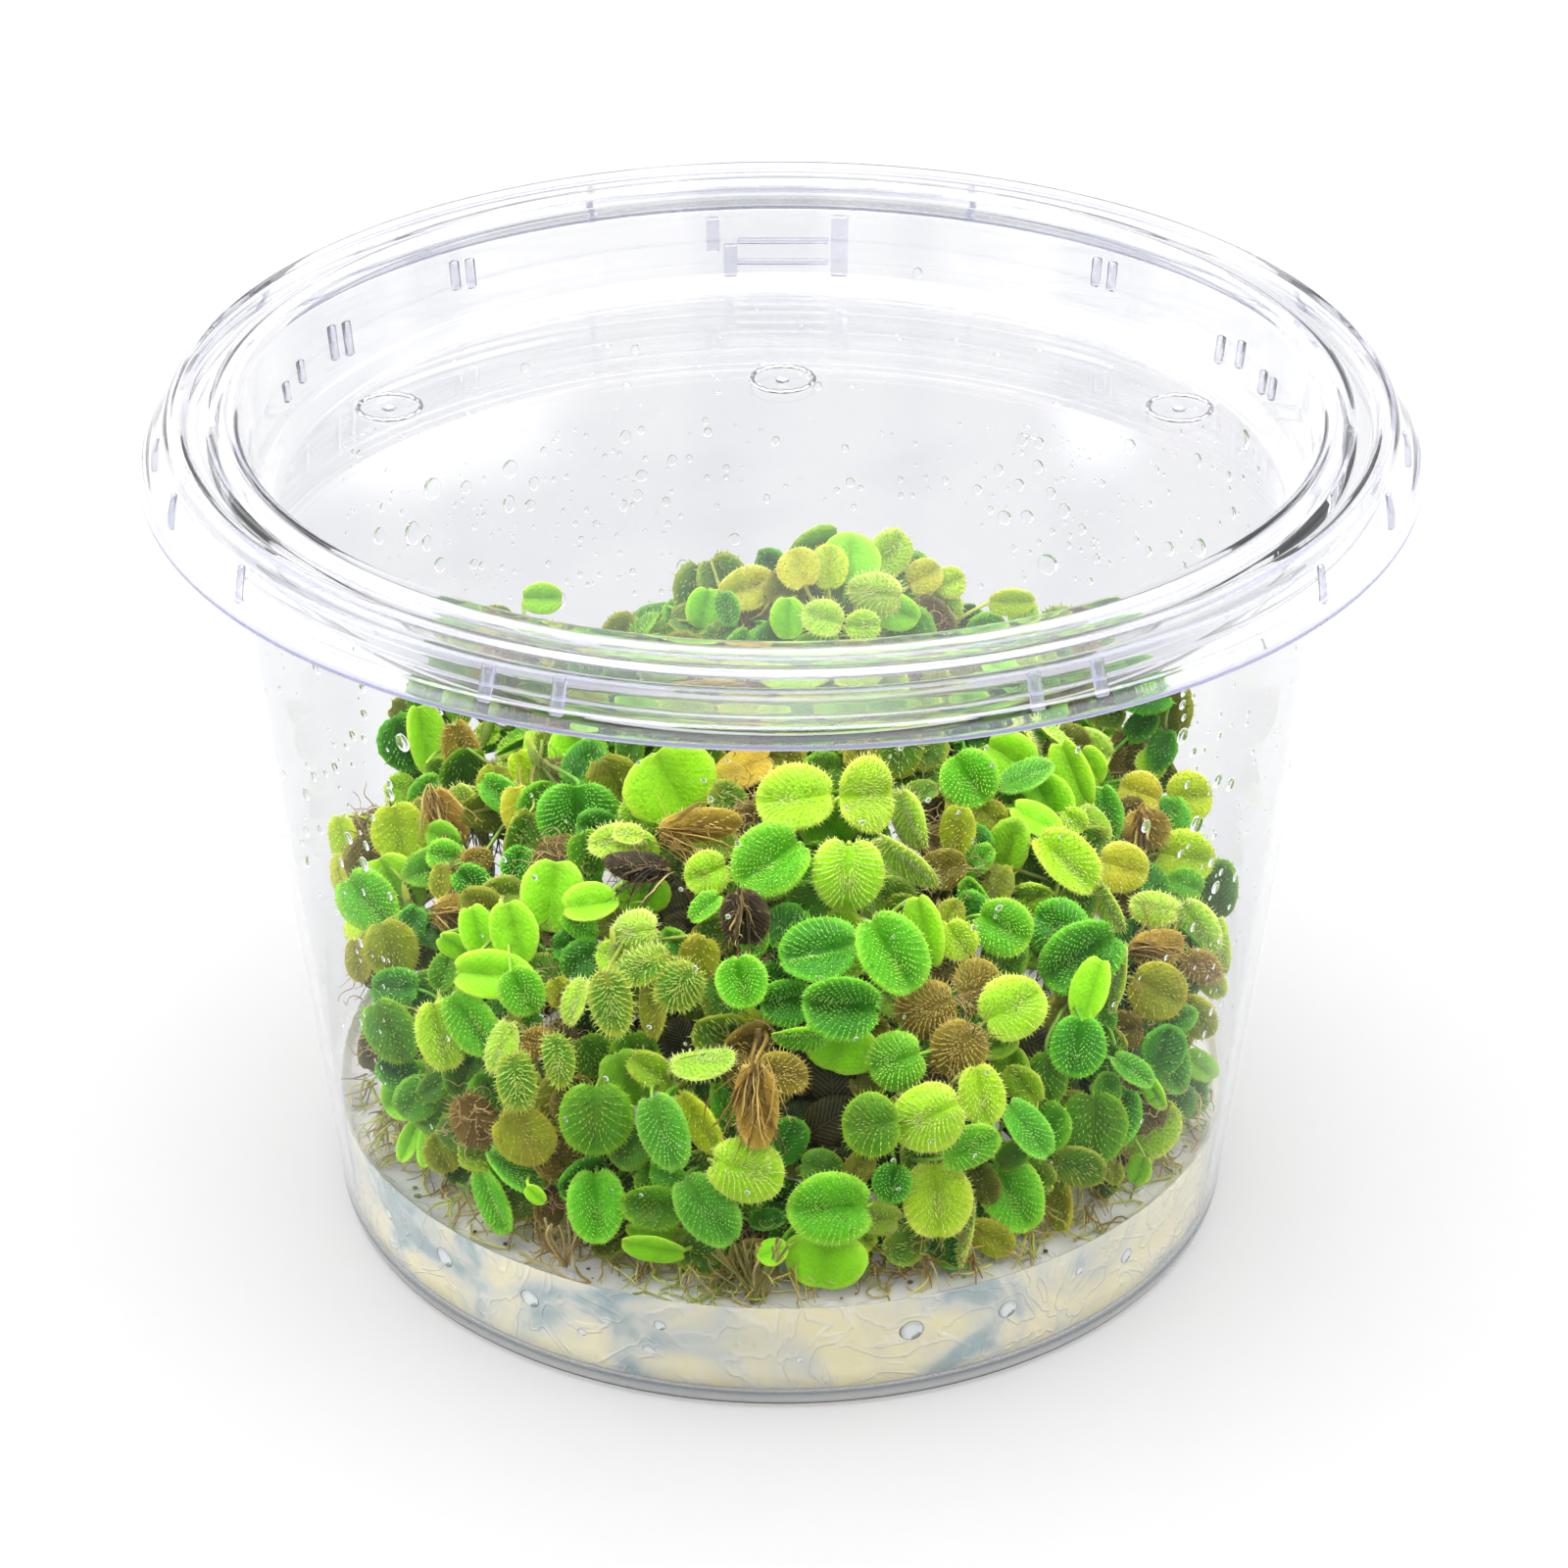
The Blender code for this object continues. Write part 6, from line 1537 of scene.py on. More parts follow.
def gel_mesh():
    piece = Piece()
    wall = lambda z: wall_radius(z) - 0.06
    sides = 144
    th = 2 * math.pi * np.arange(sides) / sides
    prof = [np.array(p) for p in [(0.0, 1.02), (12.0, 1.02), (24.0, 1.02), (36.9, 1.02), (37.82, 1.10), (38.22, 1.75),
                                  (wall(3.4) + 0.10, 3.4), (wall(4.6), 4.6), (wall(6.0), 6.0), (wall(8.0), 8.0), (wall(9.6), 9.6), (wall(10.1) - 0.06, 10.1), (wall(10.05) - 0.22, 10.05)]]
    tops = [(wall(9.5) - 0.5, 0.24), (wall(9.5) - 1.0, 0.07), (wall(9.5) - 1.7, 0.0)]
    inner = list(np.linspace(wall(9.5) - 2.6, 0.0, 30))
    def wave(t, r, z):
        if z > 9.0 and r < wall(9.5) - 0.4:
            return 0.0, gel_height(r * np.cos(t), r * np.sin(t))
        return 0.0, 0.0
    rings = prof + [np.array((r, GEL_TOP + h)) for r, h in tops] + [np.array((r, GEL_TOP)) for r in inner]
    turned_mesh(piece, rings, sides, np.array([0.86, 0.86, 0.80, 1.0]), 0, wave)
    flat = (Vector((1, 0, 0)), Vector((0, 1, 0)), Vector((0, 0, 1)))
    white = np.array([0.95, 0.95, 0.95, 1.0])
    for px, py, d in BUBBLES:
        r = d / 2 / VIEW_SCALE * 350.0 * 1.08
        p = meets(px, py, lambda z: wall_radius(z) - 0.5 - r)
        if p is None or not FLOOR_Z + r + 0.4 < p.z < GEL_TOP - r - 0.3:
            if p is None:
                continue
            p.z = min(max(p.z, FLOOR_Z + r + 0.4), GEL_TOP - r - 0.35)
        th = math.atan2(p.y, p.x)
        around, up, out = round_axes(th, math.atan2(WALL_R - BASE_R, WALL_H))
        bubble(piece, Vector((math.cos(th), math.sin(th), 0.0)) * (wall(p.z) - 0.04) + Vector((0, 0, p.z)), around, up, out, r, r * 1.04)
    # a half dome lying on the floor of the cup
    p = meets(849, 1408, lambda z: wall_radius(max(z, 0.0)) - 2.4)
    ellipsoid(piece, (p.x, p.y, FLOOR_Z + 1.2), flat, (2.2, 1.6, 0.9), white, 0, 20, 9, inward=True)
    rng = np.random.default_rng(77)
    for _ in range(26):
        a, q = rng.uniform(0, 2 * math.pi), rng.uniform(10, 35)
        r = rng.uniform(0.25, 0.75)
        ellipsoid(piece, (q * math.cos(a), q * math.sin(a), rng.uniform(FLOOR_Z + 1.0, GEL_TOP - 1.4)), flat, (r, r, r), white, 0, 12, 7, inward=True)
    return piece


def drop(piece, p, rx, ry, rng, flat=0.42):
    """One drop on the inside of the wall."""
    th = math.atan2(p.y, p.x)
    around, up, out = round_axes(th, math.atan2(WALL_R - BASE_R, WALL_H))
    at = p - out * (min(rx, ry) * flat * 0.42)
    ellipsoid(piece, tuple(at), (around, up, out), (rx, ry, min(rx, ry) * flat), np.array([0.92, 0.95, 0.98, 1.0]), 0,
              12 if rx > 0.45 else 8, 6 if rx > 0.45 else 3)


DROP_FIELDS = [  # x0, x1, y0, y1 in the picture plane, how many, far wall, largest radius in mm
    (350, 700, 446, 625, 110, True, 0.74), (350, 660, 440, 620, 90, True, 0.34), (700, 1000, 430, 520, 40, True, 0.45),
    (1000, 1285, 436, 600, 90, True, 0.70), (1040, 1285, 430, 600, 60, True, 0.34),
    (288, 400, 650, 890, 60, False, 0.6), (1200, 1320, 690, 905, 70, False, 0.6), (330, 400, 900, 1120, 30, False, 0.4),
    (1200, 1290, 900, 1090, 30, False, 0.45), (450, 760, 760, 900, 8, False, 0.25), (900, 1130, 760, 960, 12, False, 0.3),
    (430, 1180, 940, 1240, 12, False, 0.22)]
NAMED_DROPS = [(412, 757, 1.15, 1.35, False), (1205, 750, 1.0, 1.2, False), (1240, 795, 0.9, 1.1, False), (1070, 577, 1.1, 1.0, True),
               (440, 500, 1.0, 1.1, True), (420, 545, 0.9, 1.2, True), (1270, 450, 0.9, 1.0, True), (1168, 842, 0.8, 0.95, False),
               (345, 782, 0.8, 1.0, False), (372, 701, 0.7, 0.85, False), (1225, 560, 0.9, 0.9, True), (520, 480, 0.8, 0.9, True)]


def drops_mesh():
    piece = Piece()
    rng = np.random.default_rng(5)
    inner = lambda z: wall_radius(max(z, 0.0))
    spots = []
    for px, py, rx, ry, far in NAMED_DROPS:
        p = meets(px, py, inner, far)
        if p and 11.0 < p.z < 68.0:
            drop(piece, p, rx * (1.0 if far else 0.62), ry * (1.0 if far else 0.62), rng, 0.36 if far else 0.24)
            spots.append((p, rx))
    for x0, x1, y0, y1, many, far, big in DROP_FIELDS:
        for _ in range(many):
            p = meets(rng.uniform(x0, x1), rng.uniform(y0, y1), inner, far)
            r = 0.16 + (big - 0.16) * rng.random() ** 2.4
            if p is None or not 11.0 < p.z < 67.5 or any((p - q).length < (r + s) * 1.15 for q, s in spots):
                continue
            spots.append((p, r))
            drop(piece, p, r * rng.uniform(0.85, 1.1), r * rng.uniform(0.95, 1.35), rng, 0.36 if far else 0.26)
    for _ in range(110):
        th, z = rng.uniform(0, 2 * math.pi), rng.uniform(20, 66)
        p = Vector((math.cos(th), math.sin(th), 0)) * inner(z) + Vector((0, 0, z))
        r = 0.14 + 0.6 * rng.random() ** 3
        if math.sin(th) < -0.45:
            r = min(r, 0.24)
        if any((p - q).length < (r + s) * 1.15 for q, s in spots):
            continue
        spots.append((p, r))
        drop(piece, p, r * rng.uniform(0.85, 1.1), r * rng.uniform(0.95, 1.3), rng)
    # mist of small drops under the panel, towards the back
    for _ in range(70):
        th, q = rng.uniform(0.1, math.pi - 0.1), rng.uniform(20, 40)
        r = 0.12 + 0.3 * rng.random() ** 2
        ellipsoid(piece, (q * math.cos(th), q * math.sin(th), PANEL_Z - 0.6 - r * 0.12), (Vector((1, 0, 0)), Vector((0, 1, 0)), Vector((0, 0, 1))),
                  (r, r, r * 0.36), np.array([0.92, 0.95, 0.98, 1.0]), 0, 9, 4)
    return piece


def on_gel(px, py):
    """Where a line of sight meets the level of the gel."""
    d = sight(px, py)
    return EYE + d * ((GEL_TOP + 0.1 - EYE.z) / d.z)


def roots_mesh():
    """Loose threads: on the gel in front of the heap, and fans that run down through it."""
    piece = Piece()
    rng = np.random.default_rng(31)
    lay = [lin(176, 186, 84), lin(196, 196, 112), lin(150, 160, 66), lin(186, 170, 104), lin(140, 112, 60)]
    for k in range(34):
        px = rng.uniform(600, 760) if k % 3 else rng.uniform(1075, 1160)
        py = rng.uniform(1284, 1336) if k % 3 else rng.uniform(1210, 1270)
        p = arr(on_gel(px, py))
        a = rng.uniform(0, math.pi)
        way = np.array([math.cos(a), math.sin(a) * 0.6, 0.0])
        n = 9
        path = [p]
        d = way
        for _ in range(n - 1):
            d = unit(d + np.array([rng.normal(0, 0.35), rng.normal(0, 0.35), 0.0]))
            path.append(path[-1] + d * rng.uniform(0.35, 0.8))
        path = np.array(path)
        path[:, 2] = GEL_TOP + 0.05 + gel_height(path[:, 0], path[:, 1]) + 0.12 + 0.2 * np.sin(np.linspace(0, 3, n)) * rng.random()
        tone = lay[int(rng.integers(len(lay)))] * rng.uniform(0.8, 1.05)
        tone[3] = 1
        tube(piece, keep_in(path, GEL_TOP - 0.1), np.linspace(0.10, 0.06, n), tone, 4)
    # a converging fan of fine threads, and a second, smaller bundle
    for px, top, foot, many, wide, tones in ((765, 1276, 1338, 26, 1.9, [lin(150, 138, 70), lin(176, 160, 96), lin(120, 120, 56)]),
                                             (575, 1250, 1292, 14, 1.2, [lin(140, 112, 60), lin(170, 150, 92)])):
        a = arr(meets(px, top, lambda z: wall_radius(max(z, 0)) - 1.6))
        b = arr(meets(px + 4, foot, lambda z: wall_radius(max(z, 0)) - 1.3))
        b[2] = max(b[2], GEL_TOP + 0.2)
        for _ in range(many):
            s = a + np.array([rng.normal(0, wide), rng.uniform(-0.3, 1.2), rng.normal(0, 0.5)])
            e = b + np.array([rng.normal(0, 0.25), rng.uniform(-0.2, 0.4), rng.uniform(-0.1, 0.2)])
            path = keep_in(bent(s, e, np.array([rng.normal(0, 0.5), -0.3, -1.2]), np.array([0, -0.1, -1.0]), 8))
            tone = tones[int(rng.integers(len(tones)))] * rng.uniform(0.8, 1.1)
            tone[3] = 1
            tube(piece, path, np.linspace(0.13, 0.09, 8), tone, 4)
    # tan and yellow-green threads all along the foot of the heap
    for k in range(46):
        a = math.radians(-168 + 156 * (k + rng.uniform(-0.3, 0.3)) / 45)
        q = rng.uniform(33.0, 37.0)
        x, y = q * math.cos(a), q * math.sin(a)
        z = GEL_TOP + rng.uniform(1.2, 3.6)
        way = np.array([math.cos(a) * 0.7, math.sin(a) * 0.7, -0.9])
        root_tuft(piece, (x, y, z), way, rng.uniform(3.0, 5.5), rng, 9, 0.75,
                  [lin(196, 166, 84), lin(212, 190, 116), lin(162, 176, 64), lin(190, 200, 92), lin(150, 112, 46)], 0.11)
    bright = [lin(196, 206, 88), lin(214, 214, 126), lin(168, 186, 66), lin(206, 188, 112), lin(178, 146, 70)]
    for k in range(90):
        a = math.radians(-172 + 164 * rng.random())
        q = rng.uniform(33.0, 37.0)
        p = np.array([q * math.cos(a), q * math.sin(a), GEL_TOP + 0.3])
        turn = a + math.pi / 2 * rng.choice([-1, 1]) + rng.normal(0, 0.6)
        d = np.array([math.cos(turn), math.sin(turn), 0.0])
        n = 15
        path, bend = [p], rng.normal(0, 0.25)
        for _ in range(n - 1):
            bend = 0.75 * bend + rng.normal(0, 0.26)
            c, w = math.cos(bend), math.sin(bend)
            d = np.array([c * d[0] - w * d[1], w * d[0] + c * d[1], 0.0])
            path.append(path[-1] + d * rng.uniform(0.35, 0.6))
        path = np.array(path)
        far = np.hypot(path[:, 0], path[:, 1])
        path[:, :2] *= np.minimum(1.0, 38.1 / far)[:, None]
        path[:, 2] = GEL_TOP + gel_height(path[:, 0], path[:, 1]) + 0.14 + rng.uniform(0.0, 0.9) * np.sin(np.linspace(0, math.pi, n)) ** 2
        tone = bright[int(rng.integers(5))] * rng.uniform(0.85, 1.05)
        tone[3] = 1
        tube(piece, keep_in(path, GEL_TOP - 0.1), np.linspace(0.125, 0.07, n), tone, 5)
    # small crumbs on the gel
    for k in range(60):
        a, q = rng.uniform(math.pi * 1.05, math.pi * 1.95), rng.uniform(30.0, 37.5)
        x, y = q * math.cos(a), q * math.sin(a)
        r = rng.uniform(0.08, 0.26)
        tone = [lin(90, 62, 30), lin(60, 50, 30), lin(120, 140, 50), lin(160, 130, 80)][k % 4]
        ellipsoid(piece, (x, y, GEL_TOP + gel_height(x, y) + 0.12 + r * 0.4), (Vector((1, 0, 0)), Vector((0, 1, 0)), Vector((0, 0, 1))),
                  (r * rng.uniform(0.8, 1.6), r, r * 0.6), tone, 2, 7, 4)
    return piece


# ---------------------------------------------------------------- materials
class Nodes:
    """A small helper for writing node trees."""

    def __init__(self, name):
        self.mat = bpy.data.materials.new(name)
        self.mat.use_nodes = True
        self.tree = self.mat.node_tree
        self.bsdf = self.tree.nodes["Principled BSDF"]
        self.tree.nodes["Material Output"].location = (1200, 0)
        self.bsdf.location = (900, 0)

    def node(self, kind, **values):
        n = self.tree.nodes.new(kind)
        for k, v in values.items():
            setattr(n, k, v)
        return n

    def link(self, a, b):
        self.tree.links.new(a, b)

    def set(self, **values):
        for k, v in values.items():
            self.bsdf.inputs[k.replace("_", " ")].default_value = v

    def math(self, op, a, b=0.0, c=0.0, clamp=False):
        n = self.node('ShaderNodeMath', operation=op, use_clamp=clamp)
        for i, x in enumerate((a, b, c)):
            if hasattr(x, "links"):
                self.link(x, n.inputs[i])
            else:
                n.inputs[i].default_value = x
        return n.outputs[0]

    def mix(self, fac, a, b, blend='MIX'):
        n = self.node('ShaderNodeMix', data_type='RGBA', blend_type=blend)
        for i, x in ((0, fac), (6, a), (7, b)):
            if hasattr(x, "links"):
                self.link(x, n.inputs[i])
            else:
                n.inputs[i].default_value = x
        return n.outputs[2]

    def noise(self, scale, detail=2.0, rough=0.5, distort=0.0, coord='Object'):
        co = self.node('ShaderNodeTexCoord')
        n = self.node('ShaderNodeTexNoise')
        n.inputs["Scale"].default_value = scale
        n.inputs["Detail"].default_value = detail
        n.inputs["Roughness"].default_value = rough
        n.inputs["Distortion"].default_value = distort
        self.link(co.outputs[coord], n.inputs["Vector"])
        return n

    def ramp(self, fac, stops):
        n = self.node('ShaderNodeValToRGB')
        el = n.color_ramp.elements
        while len(el) < len(stops):
            el.new(0.5)
        for e, (p, c) in zip(el, stops):
            e.position = p
            e.color = c
        self.link(fac, n.inputs[0])
        return n.outputs[0]

    def bump(self, height, strength, distance):
        n = self.node('ShaderNodeBump')
        n.inputs["Strength"].default_value = strength
        n.inputs["Distance"].default_value = distance
        self.link(height, n.inputs["Height"])
        self.link(n.outputs[0], self.bsdf.inputs["Normal"])


def blade_material(name, dead=False):
    k = Nodes(name)
    tone = k.node('ShaderNodeAttribute', attribute_name="tone", attribute_type='GEOMETRY').outputs["Color"]
    patch = k.noise(420.0, 3.0, 0.6).outputs["Fac"]
    fine = k.noise(2600.0, 2.0, 0.6).outputs["Fac"]
    uv = k.node('ShaderNodeTexCoord').outputs["UV"]
    sep = k.node('ShaderNodeSeparateXYZ')
    k.link(uv, sep.inputs[0])
    u = k.math('ABSOLUTE', k.math('MULTIPLY_ADD', sep.outputs[0], 2.0, -1.0))
    v = k.math('MULTIPLY_ADD', sep.outputs[1], 2.0, -1.0)
    slant = k.math('MULTIPLY', k.math('POWER', u, 0.9), 0.8)
    phase = k.math('MULTIPLY', k.math('SUBTRACT', v, slant), 2 * math.pi * 5.5)
    vein = k.math('SINE', phase)
    ridge = k.math('POWER', k.math('MULTIPLY_ADD', vein, 0.5, 0.5), 2.5)
    away = k.math('MULTIPLY', u, 7.0, clamp=True)
    ridge = k.math('MULTIPLY', ridge, away)
    mid = k.math('SUBTRACT', 1.0, k.math('MULTIPLY', u, 22.0, clamp=True))
    shade = k.ramp(patch, [(0.30, (0.80, 0.80, 0.74, 1)), (0.55, (1, 1, 1, 1)), (0.78, (1.12, 1.10, 1.0, 1))])
    base = k.mix(0.75 if not dead else 1.0, tone, shade, 'MULTIPLY')
    grain = k.ramp(fine, [(0.35, (0.90, 0.90, 0.88, 1)), (0.65, (1.06, 1.06, 1.04, 1))])
    base = k.mix(0.8, base, grain, 'MULTIPLY')
    light = k.mix(k.math('MULTIPLY', ridge, 0.08), base, (0.55, 0.72, 0.22, 1) if not dead else (0.62, 0.44, 0.2, 1))
    # a narrow darker line along the midrib: partly its own colour, partly painted shade in its groove
    light = k.mix(k.math('MULTIPLY', mid, 0.10), light, (0.42, 0.58, 0.14, 1) if not dead else (0.3, 0.17, 0.06, 1))
    k.link(light, k.bsdf.inputs["Base Color"])
    rough = k.math('MULTIPLY_ADD', fine, 0.25, 0.34 if not dead else 0.5)
    k.link(rough, k.bsdf.inputs["Roughness"])
    k.set(IOR=1.42, Subsurface_Weight=0.30 if not dead else 0.12, Subsurface_Radius=(0.75, 1.0, 0.2) if not dead else (1.0, 0.75, 0.4), Subsurface_Scale=0.0009)
    k.set(Specular_IOR_Level=0.22)
    cell = k.node('ShaderNodeTexVoronoi')
    cell.inputs["Scale"].default_value = 3600.0
    co = k.node('ShaderNodeTexCoord')
    k.link(co.outputs['Object'], cell.inputs["Vector"])
    height = k.math('ADD', k.math('MULTIPLY', ridge, 0.15), k.math('MULTIPLY', k.math('SUBTRACT', 0.6, cell.outputs["Distance"]), 1.0))
    height = k.math('SUBTRACT', height, k.math('MULTIPLY', mid, 0.25))
    k.bump(height, 0.55, 0.00012)
    return k.mat


def hair_material(name, dead=False):
    k = Nodes(name)
    tone = k.node('ShaderNodeAttribute', attribute_name="tone", attribute_type='GEOMETRY').outputs["Color"]
    patch = k.noise(900.0, 1.0).outputs["Fac"]
    shade = k.ramp(patch, [(0.3, (0.86, 0.86, 0.84, 1)), (0.7, (1.08, 1.08, 1.06, 1))])
    k.link(k.mix(1.0, tone, shade, 'MULTIPLY'), k.bsdf.inputs["Base Color"])
    k.set(Roughness=0.32 if not dead else 0.5, IOR=1.45, Subsurface_Weight=0.25, Subsurface_Radius=(0.7, 1.0, 0.4), Subsurface_Scale=0.0004, Specular_IOR_Level=0.3)
    return k.mat


def thread_material(name):
    k = Nodes(name)
    tone = k.node('ShaderNodeAttribute', attribute_name="tone", attribute_type='GEOMETRY').outputs["Color"]
    patch = k.noise(700.0, 3.0, 0.65).outputs["Fac"]
    shade = k.ramp(patch, [(0.28, (0.66, 0.60, 0.50, 1)), (0.52, (1, 1, 1, 1)), (0.8, (1.2, 1.16, 1.05, 1))])
    k.link(k.mix(0.9, tone, shade, 'MULTIPLY'), k.bsdf.inputs["Base Color"])
    k.set(Roughness=0.55, Subsurface_Weight=0.15, Subsurface_Radius=(1.0, 0.8, 0.3), Subsurface_Scale=0.0005)
    k.bump(k.noise(2400.0, 2.0).outputs["Fac"], 0.5, 0.00008)
    return k.mat


def plastic_material(name, tint, ior, coat=0.0):
    """Clear moulded plastic, faintly wavy and finely scuffed, with the painted shade of its edge lines taken from the
    tone attribute.
    """
    k = Nodes(name)
    scuff = k.noise(260.0, 6.0, 0.7, 0.6).outputs["Fac"]
    lines = k.node('ShaderNodeTexNoise')
    co = k.node('ShaderNodeTexCoord')
    stretch = k.node('ShaderNodeMapping')
    stretch.inputs["Scale"].default_value = (1.0, 1.0, 0.12)
    k.link(co.outputs["Object"], stretch.inputs["Vector"])
    k.link(stretch.outputs[0], lines.inputs["Vector"])
    lines.inputs["Scale"].default_value = 60.0
    lines.inputs["Detail"].default_value = 1.0
    tone = k.ramp(scuff, [(0.2, tuple(c * 0.975 for c in tint) + (1,)), (0.8, tuple(tint) + (1,))])
    streak = k.ramp(lines.outputs["Fac"], [(0.40, (0.91, 0.915, 0.93, 1)), (0.50, (1, 1, 1, 1))])
    painted_shading = k.node('ShaderNodeAttribute', attribute_name="tone", attribute_type='GEOMETRY').outputs["Color"]
    k.link(k.mix(1.0, k.mix(0.5, tone, streak, 'MULTIPLY'), painted_shading, 'MULTIPLY'), k.bsdf.inputs["Base Color"])
    rough = k.math('MULTIPLY', k.math('GREATER_THAN', scuff, 0.68), 0.04)
    k.link(rough, k.bsdf.inputs["Roughness"])
    # where the painted shade of the edge lines is bluish, the plastic also turns partly diffuse and scatters a little
    # light
    part = k.node('ShaderNodeSeparateColor')
    k.link(painted_shading, part.inputs[0])
    blue = k.math('SUBTRACT', k.math('SUBTRACT', part.outputs[2], part.outputs[0]), 0.02)
    k.link(k.math('SUBTRACT', 1.0, k.math('MINIMUM', k.math('MULTIPLY', k.math('MAXIMUM', blue, 0.0), 2.8), 0.52)), k.bsdf.inputs["Transmission Weight"])
    k.set(IOR=ior, Coat_Weight=coat, Coat_IOR=1.5, Coat_Roughness=0.02)
    k.bump(lines.outputs["Fac"], 0.05, 0.0003)
    return k.mat


def gel_material(name):
    """Set culture gel: milky cream with blue-grey patches; its pale wavy glints are painted highlights, and its
    upward-facing top is painted lighter.
    """
    k = Nodes(name)
    wide = k.noise(88.0, 3.0, 0.5, 0.9).outputs["Fac"]
    small = k.noise(420.0, 3.0, 0.6).outputs["Fac"]
    wave = k.noise(120.0, 2.0, 0.5, 2.2).outputs["Fac"]
    painted_glint_lines = k.math('SUBTRACT', 1.0, k.math('MULTIPLY', k.math('ABSOLUTE', k.math('SUBTRACT', wave, 0.5)), 26.0, clamp=True))
    tone = k.ramp(wide, [(0.38, (0.60, 0.75, 0.76, 1)), (0.46, (0.93, 0.95, 0.84, 1)), (0.53, (1.0, 0.945, 0.70, 1)), (0.64, (1.0, 0.925, 0.58, 1))])
    speck = k.ramp(small, [(0.20, (0.72, 0.68, 0.56, 1)), (0.33, (1, 1, 1, 1))])
    base = k.mix(0.7, tone, speck, 'MULTIPLY')
    up = k.node('ShaderNodeSeparateXYZ')
    k.link(k.node('ShaderNodeNewGeometry').outputs["Normal"], up.inputs[0])
    # painted light: surfaces that face up are mixed towards near white
    top_painted_light = k.math('MULTIPLY_ADD', up.outputs[2], 4.0, -2.6, clamp=True)
    base = k.mix(k.math('MULTIPLY', top_painted_light, 0.82), base, (1.0, 0.985, 0.95, 1))
    # painted highlights: pale wavy glint lines mixed into the colour
    k.link(k.mix(k.math('MULTIPLY', painted_glint_lines, 0.36), base, (1.0, 1.0, 0.98, 1)), k.bsdf.inputs["Base Color"])
    k.link(k.math('MULTIPLY_ADD', wide, 0.18, 0.03), k.bsdf.inputs["Roughness"])
    cloud = k.node('ShaderNodeMapRange')
    k.link(wide, cloud.inputs[0])
    cloud.inputs[1].default_value, cloud.inputs[2].default_value = 0.36, 0.62
    cloud.inputs[3].default_value, cloud.inputs[4].default_value = 0.40, 0.10
    k.link(cloud.outputs[0], k.bsdf.inputs["Transmission Weight"])
    k.set(IOR=1.34, Coat_Weight=0.6, Coat_Roughness=0.05)
    k.bump(k.math('ADD', k.noise(330.0, 3.0, 0.55).outputs["Fac"], k.math('MULTIPLY', painted_glint_lines, 0.35)), 0.75, 0.0003)
    return k.mat


def bubble_material(name):
    k = Nodes(name)
    # the tone attribute holds the bubble's painted shade and painted light
    painted_shading = k.node('ShaderNodeAttribute', attribute_name="tone", attribute_type='GEOMETRY').outputs["Color"]
    shade = k.ramp(k.noise(900.0, 1.0).outputs["Fac"], [(0.3, (0.93, 0.95, 0.94, 1)), (0.7, (1, 1, 1, 1))])
    k.link(k.mix(1.0, painted_shading, shade, 'MULTIPLY'), k.bsdf.inputs["Base Color"])
    k.set(Roughness=0.05, IOR=1.33, Transmission_Weight=0.12, Coat_Weight=1.0, Coat_Roughness=0.02)
    return k.mat


def water_material(name):
    k = Nodes(name)
    tone = k.ramp(k.noise(500.0, 1.0).outputs["Fac"], [(0.3, (0.97, 0.985, 1.0, 1)), (0.7, (1, 1, 1, 1))])
    k.link(tone, k.bsdf.inputs["Base Color"])
    k.set(Roughness=0.0, IOR=1.33, Transmission_Weight=1.0)
    return k.mat


def floor_material():
    k = Nodes("floor_white")
    tone = k.ramp(k.noise(6.0, 3.0).outputs["Fac"], [(0.3, (0.200, 0.200, 0.200, 1)), (0.7, (0.205, 0.205, 0.205, 1))])
    k.link(tone, k.bsdf.inputs["Base Color"])
    k.set(Roughness=0.9, Specular_IOR_Level=0.0, Emission_Color=(1, 1, 1, 1), Emission_Strength=FLOOR_GLOW)
    k.mat.cycles.emission_sampling = 'NONE'
    return k.mat


# ---------------------------------------------------------------- surroundings
FLOOR_GLOW = 0.36
WORLD_LEVEL = 1.35


